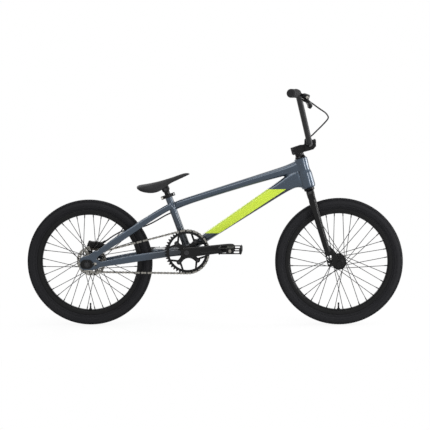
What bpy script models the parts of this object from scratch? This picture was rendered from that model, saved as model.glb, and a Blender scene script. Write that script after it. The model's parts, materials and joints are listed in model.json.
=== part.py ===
"""A BMX race bike, built from its separate pieces.

Metres, +Z up. +X points to the front wheel and the chain side faces -Y. The origin is the
centre of the bottom bracket, which a work stand's cradle holds.
"""

import math

import bmesh
import bpy
from mathutils import Matrix, Vector

# Gaps between neighbouring pieces
GAP = 0.0003
RUNNING = 0.0004

# How far a cutter runs past what it cuts
PAST = 0.03
FAR_PAST = 0.15

# Layout of the whole bike
REAR_CENTRE_X = 0.3919
AXLE_DROP = 0.0453
HEAD_ANGLE = math.radians(74.5)
HEAD_X = 0.4605
HEAD_Z = 0.3032
HEAD_LENGTH = 0.120
FORK_RAKE = 0.0336
SEAT_ANGLE = math.radians(70.75)

# Wheels
TYRE_RADIUS = 0.2498
TYRE_HEIGHT = 0.0413
TYRE_WIDTH = 0.048
TYRE_WALL = 0.0045
# Share of the half width and of the height above the rim, from the bead over the tread
TYRE_LINE = ((0.94, 0.30), (0.98, 0.62), (0.40, 1.00))
BEAD_DEPTH = 0.0040
BEAD_SLOPE = 0.0010
BEAD_THICK = 0.0030
CROWN_HALF = 0.008
RIM_OUTER = TYRE_RADIUS - TYRE_HEIGHT
RIM_DEPTH = 0.0192
RIM_INNER = RIM_OUTER - RIM_DEPTH
RIM_WIDTH = 0.030
RIM_WALL = 0.0020
RIM_WELL = 0.0090
RIM_BED_HALF = 0.0070
RIM_SHOULDER = 0.0065
WHEEL_SIDES = 44
SPOKES_PER_SIDE = 18
SPOKE_RADIUS = 0.0012
SPOKE_CROSS = math.radians(60)
SPOKE_TURN = math.radians(-85)
SPOKE_OFFSET = 0.0014
SPOKE_SPREAD = 0.002
SPOKE_IN_FLANGE = 0.002
FLANGE_HOLES = 0.0255
FLANGE_RADIUS = 0.0285
FLANGE_THICK = 0.003
FLANGE_FILLET = 0.004
HUB_BARREL = 0.016
HUB_WAIST = 0.002
HUB_END_STEP = 0.003
FRONT_WIDTH = 0.100
REAR_WIDTH = 0.110
DROPOUT_TO_CHAIN = 0.0110
DROPOUT_TO_ROTOR = 0.0150
CHAIN_LINE = REAR_WIDTH / 2 - DROPOUT_TO_CHAIN
ROTOR_Y = REAR_WIDTH / 2 - DROPOUT_TO_ROTOR
FRONT_FLANGE = 0.031
REAR_FLANGE_RIGHT = 0.025
REAR_FLANGE_LEFT = 0.026
HUB_END_ROOM = 0.0060
AXLE_RADIUS = 0.005
AXLE_END_STEP = 0.0008
FRONT_AXLE_REACH = 0.0080
REAR_AXLE_REACH = 0.0135
LOCKNUT_RADIUS = 0.0085
LOCKNUT_THICK = 0.0040
NUT_FLATS = 0.0098
NUT_THICK = 0.0085
FRONT_NUT_THICK = 0.0070
WASHER_RADIUS = 0.0115
WASHER_THICK = 0.0020

# Drive
CHAIN_PITCH = 0.0127
RING_TEETH = 42
COG_TEETH = 16
RING_THICK = 0.0026
TOOTH_HEIGHT = 0.0036
ROOT_DEPTH = 0.0042
CHAIN_HEIGHT = 0.0082
CHAIN_WIDTH = 0.0078
CHAIN_WAIST = 0.0014
RING_BOLTS = 4
RING_BOLT_RADIUS = 0.052
RING_BOLT_HOLE = 0.0042
RING_TAB = 0.0085
RING_WINDOW = 0.072
CRESCENT_RIM = 0.0012
CRESCENT_INNER = 0.0640
CRESCENT_TIP = 0.0620
COG_BORE = 0.0145
COG_BODY_RADIUS = 0.0150
COG_BODY_OUT = 0.0055
COG_BODY_IN = 0.0070
CRANK_LENGTH = 0.175
CRANK_TILT = math.radians(6.2)
ARM_INNER = 0.0600
ARM_THICK = 0.0150
# Share of the crank's length, distance past that, height and width of each station of an arm
ARM = (
    (0, -0.0205, 0.018, 0.0140),
    (0, -0.0080, 0.040, 0.0160),
    (0, 0.0120, 0.043, 0.0160),
    (0.25, 0.00125, 0.0370, 0.0155),
    (0.5, 0.0125, 0.0355, 0.0150),
    (1, -0.0120, 0.0345, 0.0145),
    (1, 0.0080, 0.0300, 0.0140),
    (1, 0.0150, 0.0160, 0.0120),
)
SPIDER_THICK = 0.0062
SPIDER_ROOT = 0.0235
BOSS_RADIUS_RIGHT = 0.0200
BOSS_RADIUS_LEFT = 0.0185
BOSS_IN_ARM = 0.006
SPINDLE_RADIUS = 0.012
SPINDLE_END = 0.004
SHELL_HALF = 0.034
SHELL_RADIUS = 0.0225
CUP_RADIUS = 0.0205
CUP_REACH = 0.0062
CUP_WALL = 0.003
CUP_DEPTH = 0.012
CUP_EDGE = 0.0015
ARM_TO_CUP = 0.0010

# Pedals
PEDAL_LENGTH = 0.090
PEDAL_DEPTH = 0.096
PEDAL_THICK = 0.0235
PEDAL_START = 0.0860
PEDAL_AXLE = 0.0070
PEDAL_COLLAR = 0.0020
PEDAL_CORNER = 0.006
PEDAL_RAIL = 0.0085
PEDAL_SIDE = 0.009
PEDAL_BARREL = 0.0125
PEDAL_SLOT = 0.0042
PEDAL_SLOT_RISE = 0.0040
PEDAL_SLOT_END = 0.003
PEDAL_CAP = 0.008
PEDAL_MOUTH = 0.0025
PEDAL_MOUTH_DEPTH = 0.010

# Frame
HEAD_TOP_RADIUS = 0.0255
HEAD_LOW_RADIUS = 0.0276
HEAD_BORE = 0.0175
BEARING_OUTER = 0.0205
BEARING_HEIGHT = 0.0070
BEARING_SINK = 0.001
BEARING_ROOM = 0.0005
SEAT_TUBE_RADIUS = 0.0148
SEAT_TUBE_LENGTH = 0.2355
SEAT_TUBE_LOW = 0.015
POST_RADIUS = 0.0111
POST_IN_TUBE = 0.120
# How far below the seat tube's top the top tube and the seat stays meet it
JOINT_BELOW = 0.0455
RING_TO_STAY = 0.0205
STAY_START_LOW = CHAIN_LINE - RING_TO_STAY
STAY_START_HIGH = 0.0120
DROPOUT_THICK = 0.0066
STAY_IN_DROPOUT = 0.0003
STAY_CUT = 0.030
# Each station is its share of the way between the tube's two ends, the low edge and the high edge
# from that point, the shift across the bike and the width
TOP_TUBE = (
    (0, (0.00764, -0.02188), (-0.00336, 0.00962), 0, 0.032),
    (0.05, (0.00348, -0.01857), (-0.00452, 0.01343), 0, 0.032),
    (0.14, (0.0014, -0.01171), (-0.0076, 0.01619), 0, 0.033),
    (0.35, (0.00454, -0.00321), (-0.00446, 0.02569), 0, 0.035),
    (0.6, (-0.00124, 0.00283), (-0.01124, 0.03363), 0, 0.038),
    (0.83, (-0.00157, 0.00605), (-0.01357, 0.04215), 0, 0.04),
    (1, (-0.0555, -0.0067), (-0.0655, 0.0336), 0, 0.041),
    (1, (-0.0205, 0.0008), (-0.0375, 0.0478), 0, 0.041),
)
TOP_TUBE_FRONT = 4
DOWN_TUBE = (
    (0, (0.0147, -0.0045), (-0.0047, 0.0208), 0, 0.05),
    (0.16, (0.00432, -0.01211), (-0.01468, 0.01799), 0, 0.05),
    (0.33, (0.00803, -0.01306), (-0.01397, 0.02044), 0, 0.047),
    (0.52, (0.01054, -0.01506), (-0.01446, 0.02294), 0, 0.045),
    (0.7, (0.01265, -0.01714), (-0.01435, 0.02566), 0, 0.043),
    (1, (-0.0775, -0.0785), (-0.1055, -0.0329), 0, 0.042),
    (1, (-0.0475, -0.0632), (-0.0755, -0.0112), 0, 0.042),
    (1, (-0.0275, -0.056), (-0.0585, 0.0018), 0, 0.042),
    (1, (-0.0085, -0.0602), (-0.0405, 0.0118), 0, 0.042),
    (1, (0.0115, -0.0632), (-0.0185, 0.0218), 0, 0.042),
)
CHAINSTAY = (
    (0, (-0.014, -0.018), (-0.014, 0.015), 0, 0.018),
    (0.14, (-0.00113, -0.01366), (0.00087, 0.01784), 0.00059, 0.016),
    (0.25, (-0.00353, -0.01448), (-0.00052, 0.01682), 0.00223, 0.0135),
    (0.38, (-0.00258, -0.01599), (0.00042, 0.01661), 0.00366, 0.0135),
    (0.52, (-0.00321, -0.01724), (-0.00021, 0.01616), 0.00525, 0.0125),
    (0.67, (-0.00043, -0.01825), (0.00357, 0.01255), 0.00648, 0.011),
    (1, (0.0599, -0.0117), (0.0629, 0.0133), 0, 0.007),
    (1, (0.0379, -0.0162), (0.0419, 0.0083), 0, 0.0066),
)
SEATSTAY = (
    (0, (0.00264, -0.01438), (-0.00736, 0.01062), 0, 0.015),
    (0.12, (0.00245, -0.00842), (-0.00985, 0.01498), 0.00291, 0.015),
    (0.27, (0.00354, -0.00471), (-0.01146, 0.01779), 0.00842, 0.0135),
    (0.44, (0.00452, -0.00302), (-0.01648, 0.01748), 0.01, 0.013),
    (0.57, (0.00332, -0.00351), (-0.01468, 0.02019), 0.00994, 0.012),
    (0.69, (0.00183, -0.00235), (-0.01617, 0.02025), 0.00935, 0.0105),
    (0.8, (0.00405, 0.00236), (-0.01595, 0.01786), 0.00932, 0.007),
    (1, (0.0479, 0.0328), (0.0279, 0.0478), 0, 0.0066),
)
BRIDGE_ROOM = 0.0041
BRIDGE_DEPTH = 0.046
BRIDGE_LOW = -0.006
BRIDGE_HIGH = 0.0095
BRIDGE_REACH = 0.034
BRIDGE_EDGE = 0.003
BRIDGE_WAIST = 0.017
BRIDGE_WAIST_BACK = 0.006
# The fork end's outline round the axle's centre
DROPOUT_REAR = -0.0306
DROPOUT_TOP = ((DROPOUT_REAR, 0.0163), (-0.0286, 0.0243), (-0.0201, 0.0293), (0.0019, 0.0343))
DROPOUT_FRONT = ((0.0179, 0.0448), (0.0319, 0.0548), (0.0399, 0.0483), (0.0489, 0.0353), (0.0389, 0.0263),
                 (0.0359, 0.0203), (0.0429, 0.0148), (0.0499, 0.0118), (0.0499, -0.0127))
DROPOUT_LOW = ((0.0349, -0.0202), (0.0189, -0.0247), (-0.0141, -0.0247), (-0.0266, -0.0192),
               (DROPOUT_REAR, -0.0117))
DROPOUT_MIDDLE = (0.0069, 0.0133)
SLOT_AHEAD = 0.012
TENSIONER_THICK = 0.0060
TENSIONER_HALF = 0.0155
TENSIONER_ENDS = 0.0098
TENSIONER_BACK = 0.0030

# Fork and stem
STEERER_RADIUS = 0.0143
BEARING_INNER = STEERER_RADIUS + RUNNING
STEERER_END = 0.0063
CROWN_GAP = 0.0067
CROWN_HEIGHT = 0.0393
TYRE_ROOM = 0.0154
CROWN_TOP = HEAD_LENGTH / 2 + CROWN_GAP
CROWN_LOW = CROWN_TOP + CROWN_HEIGHT
FORK_LENGTH = CROWN_LOW + TYRE_ROOM + TYRE_RADIUS
CROWN_SEAT = 0.0205
CROWN_SEAT_SINK = 0.002
STEERER_SINK = 0.004
CROWN_POWER = 5.0
# Place across the fork, depth, and the shares of its height that its top drops and its underside rises
CROWN = (
    (-0.0535, 0.0240, 0.28, 0),
    (-0.0490, 0.0295, 0.102, 0),
    (-0.0360, 0.0310, 0, 0),
    (0, 0.0330, 0, 0.305),
    (0.0360, 0.0310, 0, 0),
    (0.0490, 0.0295, 0.102, 0),
    (0.0535, 0.0240, 0.28, 0),
)
LEG_TOP = CROWN_LOW + GAP
LEG_ABOVE_AXLE = 0.0432
LEG_LOW = FORK_LENGTH - LEG_ABOVE_AXLE
LEG_TOP_Y = 0.0430
LEG_LOW_OUT = 0.0060
LEG_LOW_Y = FRONT_WIDTH / 2 + LEG_LOW_OUT
# Share of the leg's length, depth, width across the bike and lead ahead of the steering axis
LEG = (
    (0, 0.0305, 0.0200, 0),
    (0.25, 0.0290, 0.0195, 0.0002),
    (0.50, 0.0262, 0.0180, 0.0004),
    (0.85, 0.0245, 0.0135, 0.0017),
    (1, 0.0240, 0.0110, 0.0026),
)
FORK_END_THICK = 0.0060
FORK_EYE = 0.0145
# The fork end's outline and windows: ahead of the steering axis, and above the axle
FORK_END_BACK = ((-0.0096, 0.0532), (-0.0091, 0.0262), (-0.0103, 0.0032), (-0.0040, -0.0033),
                 (0.0070, -0.0008))
FORK_END_FRONT = ((0.0291, 0.0382), (0.0151, 0.0632), (-0.0079, 0.0632))
FORK_WINDOW_REAR = ((-0.0057, 0.0352), (-0.0075, 0.0137), (-0.0021, 0.0122), (0.0009, 0.0352))
FORK_WINDOW_FRONT = ((0.0096, 0.0352), (0.0046, 0.0112), (0.0111, 0.0132), (0.0156, 0.0322))
COVER_HEIGHT = 0.0100
COVER_TOP_RADIUS = 0.0175
COVER_RADIUS = 0.0210
COVER_LIP = 0.0005
COVER_LIP_HEIGHT = 0.003
SPACER_HEIGHT = 0.0090
SPACER_RADIUS = 0.0172
COVER_LOW = HEAD_LENGTH / 2 + GAP
SPACER_LOW = COVER_LOW + COVER_HEIGHT + GAP
STEM_LOW = SPACER_LOW + SPACER_HEIGHT + GAP
STEM_HEIGHT = 0.0300
STEM_WIDTH = 0.0500
# The stem's side behind and ahead of the steerer, and above the stem's low face
STEM_REAR = ((-0.0270, 0.0040), (-0.0230, 0))
STEM_CHIN = ((0.0580, 0), (0.0690, 0.0080))
STEM_TOP = ((0.0120, 0), (-0.0270, -0.0020))
STEM_NOSE_DROP = 0.012
STEM_NECK_BACK = 0.003
STEM_NECK_RISE = 0.001
STEM_SLOT = (0.04, 0.0022, 0.08)
STEM_RELIEF = (0.030, 0.020, 0.10)
STEM_RELIEF_DEPTH = 0.0080
STEM_MIDDLE = 0.015
CAP_ROOM = 0.0004
CAP_SINK = 0.0005
CAP_THICK = 0.0040

# Bar, grips and lever
BAR_AHEAD = 0.04959
BAR_ABOVE_STEM = 0.02444
BAR_RADIUS = 0.0111
BAR_SPLIT = 0.0012
CLAMP_BACK = 0.0205
CLAMP_FRONT = 0.0245
# The clamp plate's top, ahead of the bar's centre and above the split
CLAMP_LINE = ((0.0135, 0.0135), (0.0090, 0.0160), (-0.0080, 0.0160), (-0.0125, 0.0135))
CLAMP_EDGE = 0.0125
CLAMP_BOLT_RADIUS = 0.0043
CLAMP_BOLT_TOP = 0.0165
CLAMP_BOLT_LOW = 0.010
CLAMP_BOLT_Y = 0.0165
CLAMP_BOLT_BACK = 0.0048
CLAMP_BOLT_FRONT = 0.0055
BAR_LEAN = math.radians(12.75)
BAR_RISE = 0.200
BAR_HALF = 0.365
BAR_BACKSWEEP = math.radians(7.8)
BAR_UPSWEEP = math.radians(2.0)
BAR_BEND_LOW = 0.062
BAR_BEND_RADIUS = 0.040
CROSSBAR_HEIGHT = 0.112
CROSSBAR_RADIUS = 0.0080
GRIP_RADIUS = 0.0160
GRIP_LENGTH = 0.132
GRIP_CAP = 0.0040
GRIP_CAP_EDGE = 0.0030
GRIP_LIP = 0.0012
GRIP_LIP_LENGTH = 0.004
GRIP_BAND = 0.006
GRIP_TO_LEVER = 0.024
LEVER_AT = BAR_HALF - GRIP_LENGTH - GRIP_TO_LEVER
LEVER_CLAMP_HALF = 0.008
LEVER_CLAMP_WALL = 0.0042
LEVER_DROP = math.radians(36)
BODY_DROP = math.radians(20)
LEVER_NECK = (0.014, 0.014, 0.014)
LEVER_NECK_AHEAD = 0.0190
BODY_INBOARD = 0.032
BODY_OUTBOARD = 0.024
BODY_DEPTH = 0.024
BODY_HEIGHT = 0.021
BODY_AHEAD = 0.0335
BODY_EDGE = 0.005
PORT_AHEAD = 0.0345
PORT_STEP = 0.006
# The blade's pivot, outboard along the bar and ahead of it
LEVER_PIVOT = (0.012, 0.036)
LEVER_FORK = (0.018, 0.016, 0.017)
LEVER_SLOT = (0.030, 0.024)
LEVER_SLOT_OUT = 0.008
LEVER_SLOT_AHEAD = 0.004
LEVER_BLADE = 0.0090
# Outboard of the pivot, ahead of it and the blade's width there
BLADE = (
    (-0.002, 0.0000, 0.0095),
    (0.012, 0.0150, 0.0095),
    (0.032, 0.0300, 0.0085),
    (0.062, 0.0350, 0.0080),
    (0.090, 0.0370, 0.0080),
    (0.106, 0.0400, 0.0080),
    (0.113, 0.0435, 0.0060),
)

# Brake
ROTOR_RADIUS = 0.060
ROTOR_THICK = 0.0018
ROTOR_WAVES = 16
ROTOR_WAVE = 0.0022
ROTOR_BORE = 0.0175
ROTOR_ARMS = 6
ROTOR_TRACK = 0.0165
ROTOR_SEAT = 0.0070
CALIPER_ANGLE = math.radians(84)
CALIPER_ABOVE = 0.0075
CALIPER_REACH = ROTOR_RADIUS + CALIPER_ABOVE
CALIPER_SHIFT = 0.0149
CALIPER_LENGTH = 0.070
CALIPER_WIDTH = 0.0260
CALIPER_HEIGHT = 0.030
CALIPER_SINK = 0.002
CALIPER_EDGE = 0.005
CALIPER_SLOT_SINK = 0.0110
CALIPER_WINDOW = 0.020
CALIPER_BOLTS = (-0.0240, 0.0170)
CALIPER_BOLT_RADIUS = 0.0062
CALIPER_BOLT_TOP = 0.0185
CALIPER_BOLT_Y = 0.006
PORT_RADIUS = 0.0046
PORT_REACH = 0.0100
PORT_SINK = 0.0060
PORT_PLACE = (0.0065, 0.0110, 0.0250)
PORT_DIRECTION = (0.86, 0.14, 0.47)
PAD_TRAVEL = 0.0003
PAD_BACK = 0.0030
PAD_LENGTH = 0.024
PAD_HEIGHT = 0.014
PAD_BELOW_EDGE = 0.0095
PAD_SHIFT = 0.004
PAD_CLEARANCE = 0.00005
PAD_ROOM = 0.00035
CALIPER_SLOT = ROTOR_THICK + 2 * (PAD_TRAVEL + PAD_CLEARANCE + PAD_BACK + PAD_ROOM)
HOSE_RADIUS = 0.0025
HOSE_TURN = 0.018
REAR_HOSE = (
    (-0.0680, 0.0040, 0.1485),
    (-0.0890, 0.0130, 0.1385),
    (-0.1130, 0.0270, 0.1245),
    (-0.1390, 0.0410, 0.1095),
    (-0.1680, 0.0520, 0.0955),
    (-0.2000, 0.0580, 0.0850),
    (-0.2340, 0.0620, 0.0790),
    (-0.2680, 0.0640, 0.0715),
    (-0.2930, 0.0620, 0.0600),
    (-0.3130, 0.0560, 0.0480),
)
FRONT_HOSE = (
    (0.4760, -0.1670, 0.5845),
    (0.4930, -0.1620, 0.5712),
    (0.5150, -0.1540, 0.5548),
    (0.5380, -0.1380, 0.5388),
    (0.5485, -0.1250, 0.5252),
    (0.5490, -0.1150, 0.5172),
    (0.5425, -0.1000, 0.5065),
    (0.5240, -0.0830, 0.4862),
    (0.5045, -0.0620, 0.4664),
    (0.4890, -0.0400, 0.4505),
    (0.4785, -0.0120, 0.4435),
    (0.4710, 0.0140, 0.4420),
    (0.4655, 0.0340, 0.4330),
    (0.4610, 0.0400, 0.4100),
    (0.4520, 0.0390, 0.3850),
    (0.4430, 0.0350, 0.3600),
    (0.4310, 0.0300, 0.3400),
    (0.4150, 0.0260, 0.3280),
    (0.4030, 0.0240, 0.3230),
)

# Seat
CLAMP_LIFT = 0.0005
CLAMP_TOP = SEAT_TUBE_LENGTH + CLAMP_LIFT
CLAMP_HEIGHT = 0.013
CLAMP_WALL = 0.0040
CLAMP_OUTER = SEAT_TUBE_RADIUS + CLAMP_WALL
CLAMP_EARS = (0.013, 0.017)
CLAMP_EARS_BACK = 0.004
CLAMP_LOBE = (0.011, 0.010)
CLAMP_LOBE_AHEAD = 0.0035
CLAMP_SLOT = (0.022, 0.0016, 0.03)
CLAMP_SLOT_BACK = 0.005
CLAMP_SCREW = 0.0027
CLAMP_SCREW_BACK = 0.0055
CLAMP_EYE_AHEAD = 0.0045
CLAMP_EYE = 0.0026
POST_SHOWN = 0.0230
PIVOT = SEAT_TUBE_LENGTH + POST_SHOWN
PIVOT_RADIUS = 0.0145
PIVOT_HALF = 0.015
PIVOT_ROOM = 0.0005
POST_BELOW_PIVOT = 0.004
SADDLE_SCREW = 0.0039
SADDLE_SCREW_HEAD = 0.0060
SADDLE_SCREW_HALF = 0.0215
SADDLE_LENGTH = 0.2149
SADDLE_WIDTH = 0.116
SADDLE_TILT = math.radians(13.37)
# The saddle's nose from its pivot
NOSE_AHEAD = 0.095825
NOSE_ABOVE = 0.057653
SADDLE_BRIDGE = (0.026, 0.035, 0.030)
SADDLE_BRIDGE_RISE = 0.014
SADDLE_LUG = 0.0095
SADDLE_LUG_HALF = 0.0175
POST_ROOM_DEPTH = 0.05
# Share of the length from the nose, half width share, top above the base line, side edge, belly
SADDLE_ROWS = (
    (0.000, 0.12, 0.0020, 0.0000, -0.0005),
    (0.025, 0.22, 0.0068, -0.0008, -0.0012),
    (0.100, 0.28, 0.0096, -0.0044, -0.0048),
    (0.200, 0.31, 0.0078, -0.0084, -0.0088),
    (0.300, 0.35, 0.0053, -0.0126, -0.0128),
    (0.400, 0.43, 0.0040, -0.0175, -0.0150),
    (0.500, 0.60, 0.0025, -0.0290, -0.0140),
    (0.600, 0.80, 0.0022, -0.0370, -0.0120),
    (0.700, 0.95, 0.0025, -0.0370, -0.0110),
    (0.800, 1.00, 0.0033, -0.0315, -0.0100),
    (0.900, 0.92, 0.0046, -0.0220, -0.0090),
    (0.960, 0.76, 0.0044, -0.0130, -0.0070),
    (1.000, 0.52, 0.0010, -0.0030, -0.0035),
)

FORWARD = Vector((1, 0, 0))
SIDE = Vector((0, 1, 0))
UP = Vector((0, 0, 1))

STEER = Vector((-math.cos(HEAD_ANGLE), 0, math.sin(HEAD_ANGLE)))
AHEAD = Vector((math.sin(HEAD_ANGLE), 0, math.cos(HEAD_ANGLE)))
HEAD = Vector((HEAD_X, 0, HEAD_Z))
SEAT_DIR = Vector((-math.cos(SEAT_ANGLE), 0, math.sin(SEAT_ANGLE)))
SEAT_BACK = Vector((-math.sin(SEAT_ANGLE), 0, -math.cos(SEAT_ANGLE)))
REAR_AXLE = Vector((-REAR_CENTRE_X, 0, -AXLE_DROP))
BOTTOM_BRACKET = Vector((0, 0, 0))
SEAT_JOINT = SEAT_DIR * (SEAT_TUBE_LENGTH - JOINT_BELOW)
STAY_END = REAR_WIDTH / 2 + DROPOUT_THICK / 2 + STAY_IN_DROPOUT


def head_point(ahead, along, side=0.0):
    """A point given from the head tube's centre, ahead of and along the steering axis."""
    return HEAD + AHEAD * ahead + STEER * along + SIDE * side


FRONT_AXLE = head_point(FORK_RAKE, -FORK_LENGTH)
BAR = head_point(BAR_AHEAD, STEM_LOW + BAR_ABOVE_STEM)


def pitch_radius(teeth):
    return CHAIN_PITCH / (2 * math.sin(math.pi / teeth))


RING_PITCH = pitch_radius(RING_TEETH)
COG_PITCH = pitch_radius(COG_TEETH)


def material(name, colour, metallic, roughness):
    made = bpy.data.materials.get(name)
    if made:
        return made
    made = bpy.data.materials.new(name)
    made.use_nodes = True
    shader = made.node_tree.nodes["Principled BSDF"]
    shader.inputs["Base Color"].default_value = (*colour, 1)
    shader.inputs["Metallic"].default_value = metallic
    shader.inputs["Roughness"].default_value = roughness
    made.diffuse_color = (*colour, 1)
    return made


def slate():
    return material("slate paint", (0.066, 0.090, 0.126), 0.35, 0.38)


def lime():
    return material("lime paint", (0.58, 0.76, 0.045), 0.0, 0.40)


def black_alloy():
    return material("black alloy", (0.018, 0.018, 0.019), 0.4, 0.42)


def gloss_black():
    return material("gloss black paint", (0.012, 0.012, 0.013), 0.1, 0.18)


def steel():
    return material("bright steel", (0.55, 0.54, 0.50), 1.0, 0.32)


def dark_steel():
    return material("dark steel", (0.05, 0.05, 0.052), 0.9, 0.40)


def rubber():
    return material("tyre rubber", (0.020, 0.020, 0.022), 0.0, 0.75)


def soft_rubber():
    return material("grip rubber", (0.030, 0.031, 0.032), 0.0, 0.80)


def plastic():
    return material("matte plastic", (0.035, 0.036, 0.037), 0.0, 0.60)


def hose_plastic():
    return material("hose plastic", (0.055, 0.057, 0.060), 0.0, 0.45)


def collection(name, hidden=False):
    found = bpy.data.collections.get(name)
    if not found:
        found = bpy.data.collections.new(name)
        bpy.context.scene.collection.children.link(found)
        found.hide_render = hidden
    return found


def placed(obj, finish):
    """Puts a finished piece in the bike's collection with its material."""
    for holder in list(obj.users_collection):
        holder.objects.unlink(obj)
    collection("bmx_race_bike").objects.link(obj)
    obj.data.materials.clear()
    obj.data.materials.append(finish)
    return obj


def turned_frame(origin, axis, across=None):
    """A matrix whose Z runs along the axis."""
    z = Vector(axis).normalized()
    hint = Vector(across) if across else (FORWARD if abs(z.x) < 0.9 else UP)
    x = (hint - z * hint.dot(z)).normalized()
    y = z.cross(x)
    frame = Matrix((x, y, z)).transposed().to_4x4()
    frame.translation = Vector(origin)
    return frame


def mesh_object(name, built):
    data = bpy.data.meshes.new(name)
    built.to_mesh(data)
    built.free()
    obj = bpy.data.objects.new(name, data)
    bpy.context.scene.collection.objects.link(obj)
    return obj


def smooth(obj, degrees=35):
    obj.data.shade_smooth()
    obj.data.set_sharp_from_angle(angle=math.radians(degrees))
    return obj


def turned(name, profile, frame, sides=24, ring=False):
    """A turned piece. The profile is (radius, height) from top to bottom on its outer side."""
    built = bmesh.new()
    points = [built.verts.new((radius, 0, height)) for radius, height in profile]
    for first, second in zip(points, points[1:]):
        built.edges.new((first, second))
    if ring:
        built.edges.new((points[-1], points[0]))
    obj = mesh_object(name, built)
    screw = obj.modifiers.new("turn", "SCREW")
    screw.steps = sides
    screw.render_steps = sides
    screw.use_merge_vertices = True
    screw.merge_threshold = 0.00001
    obj.matrix_world = frame
    return obj


def ring(name, outer, inner, top, bottom, frame, sides=24):
    profile = [(outer, top), (outer, bottom), (inner, bottom), (inner, top)]
    return turned(name, profile, frame, sides, ring=True)


def rod(name, radius, top, bottom, frame, sides=24):
    profile = [(0, top), (radius, top), (radius, bottom), (0, bottom)]
    return turned(name, profile, frame, sides)


def box(name, size, frame):
    built = bmesh.new()
    bmesh.ops.create_cube(built, size=1, matrix=Matrix.Diagonal((*size, 1)))
    obj = mesh_object(name, built)
    obj.matrix_world = frame
    return obj


def at(x, y, z):
    return Matrix.Translation((x, y, z))


def plate(name, outlines, thickness, frame):
    """A flat outline with its holes, as thick as given, centred on its own plane."""
    data = bpy.data.curves.new(name, "CURVE")
    data.dimensions = "2D"
    data.fill_mode = "BOTH"
    data.extrude = thickness / 2
    for outline in outlines:
        spline = data.splines.new("POLY")
        spline.points.add(len(outline) - 1)
        for point, (x, y) in zip(spline.points, outline):
            point.co = (x, y, 0, 1)
        spline.use_cyclic_u = True
    obj = bpy.data.objects.new(name, data)
    bpy.context.scene.collection.objects.link(obj)
    obj.matrix_world = frame
    return as_mesh(obj)


def tube(name, points, radius, resolution=2, cyclic=False):
    """A round wire or tube through the points."""
    data = bpy.data.curves.new(name, "CURVE")
    data.dimensions = "3D"
    data.bevel_depth = radius
    data.bevel_resolution = resolution
    data.use_fill_caps = True
    spline = data.splines.new("POLY")
    spline.points.add(len(points) - 1)
    for point, place in zip(spline.points, points):
        point.co = (*place, 1)
    spline.use_cyclic_u = cyclic
    obj = bpy.data.objects.new(name, data)
    bpy.context.scene.collection.objects.link(obj)
    return obj


def as_mesh(obj):
    """The curve's evaluated shape as a welded mesh object under the same name."""
    bpy.context.view_layer.update()
    graph = bpy.context.evaluated_depsgraph_get()
    name = obj.name
    data = bpy.data.meshes.new_from_object(obj.evaluated_get(graph))
    built = bmesh.new()
    built.from_mesh(data)
    bmesh.ops.remove_doubles(built, verts=built.verts, dist=0.00001)
    bmesh.ops.recalc_face_normals(built, faces=built.faces)
    built.to_mesh(data)
    built.free()
    frame = obj.matrix_world.copy()
    bpy.data.objects.remove(obj)
    data.name = name
    made = bpy.data.objects.new(name, data)
    bpy.context.scene.collection.objects.link(made)
    made.matrix_world = frame
    return made


def applied(obj):
    """The object with its modifiers applied."""
    bpy.context.view_layer.update()
    graph = bpy.context.evaluated_depsgraph_get()
    data = bpy.data.meshes.new_from_object(obj.evaluated_get(graph))
    obj.modifiers.clear()
    obj.data = data
    return obj


def boolean(obj, other, operation):
    if other.type == "CURVE":
        other = as_mesh(other)
    step = obj.modifiers.new(operation.lower(), "BOOLEAN")
    step.operation = operation
    step.solver = "EXACT"
    step.object = other
    applied(obj)
    bpy.data.objects.remove(other)
    return obj


def cut(obj, *others):
    for other in others:
        boolean(obj, other, "DIFFERENCE")
    return obj


def join(obj, *others):
    for other in others:
        boolean(obj, other, "UNION")
    return obj


def bevelled(obj, width, segments=2, angle=40):
    step = obj.modifiers.new("bevel", "BEVEL")
    step.width = width
    step.segments = segments
    step.limit_method = "ANGLE"
    step.angle_limit = math.radians(angle)
    return obj


def arc(centre, radius, start, end, count):
    """Points of an arc in a plane, from start to end in radians."""
    steps = [start + (end - start) * i / (count - 1) for i in range(count)]
    return [(centre[0] + radius * math.cos(a), centre[1] + radius * math.sin(a)) for a in steps]


def circle(centre, radius, count):
    return arc(centre, radius, 0, 2 * math.pi * (count - 1) / count, count)


def side_frame(y, origin=(0, 0)):
    """A plate's frame that lies in the side view: its x is +X, its y is +Z and it faces -Y."""
    frame = Matrix(((1, 0, 0), (0, 0, -1), (0, 1, 0))).to_4x4()
    frame.translation = (origin[0], y, origin[1])
    return frame


def y_frame(origin, y=0.0):
    """A turned piece's frame whose axis runs along +Y."""
    return turned_frame((origin[0], y, origin[2]), SIDE, FORWARD)


def section(centre, across, upright, width, height, power, count):
    """One closed section of a tube, a rounded rectangle set by its power."""
    points = []
    for i in range(count):
        angle = 2 * math.pi * i / count
        c = math.cos(angle)
        s = math.sin(angle)
        u = math.copysign(abs(c) ** (2 / power), c) * width / 2
        v = math.copysign(abs(s) ** (2 / power), s) * height / 2
        points.append(centre + across * u + upright * v)
    return points


def loft(name, sections):
    """A closed skin over sections of equal count."""
    built = bmesh.new()
    rows = [[built.verts.new(point) for point in points] for points in sections]
    count = len(rows[0])
    for low, high in zip(rows, rows[1:]):
        for i in range(count):
            j = (i + 1) % count
            built.faces.new((low[i], low[j], high[j], high[i]))
    built.faces.new(list(reversed(rows[0])))
    built.faces.new(rows[-1])
    bmesh.ops.recalc_face_normals(built, faces=built.faces)
    bmesh.ops.triangulate(built, faces=built.faces)
    return mesh_object(name, built)


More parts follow.
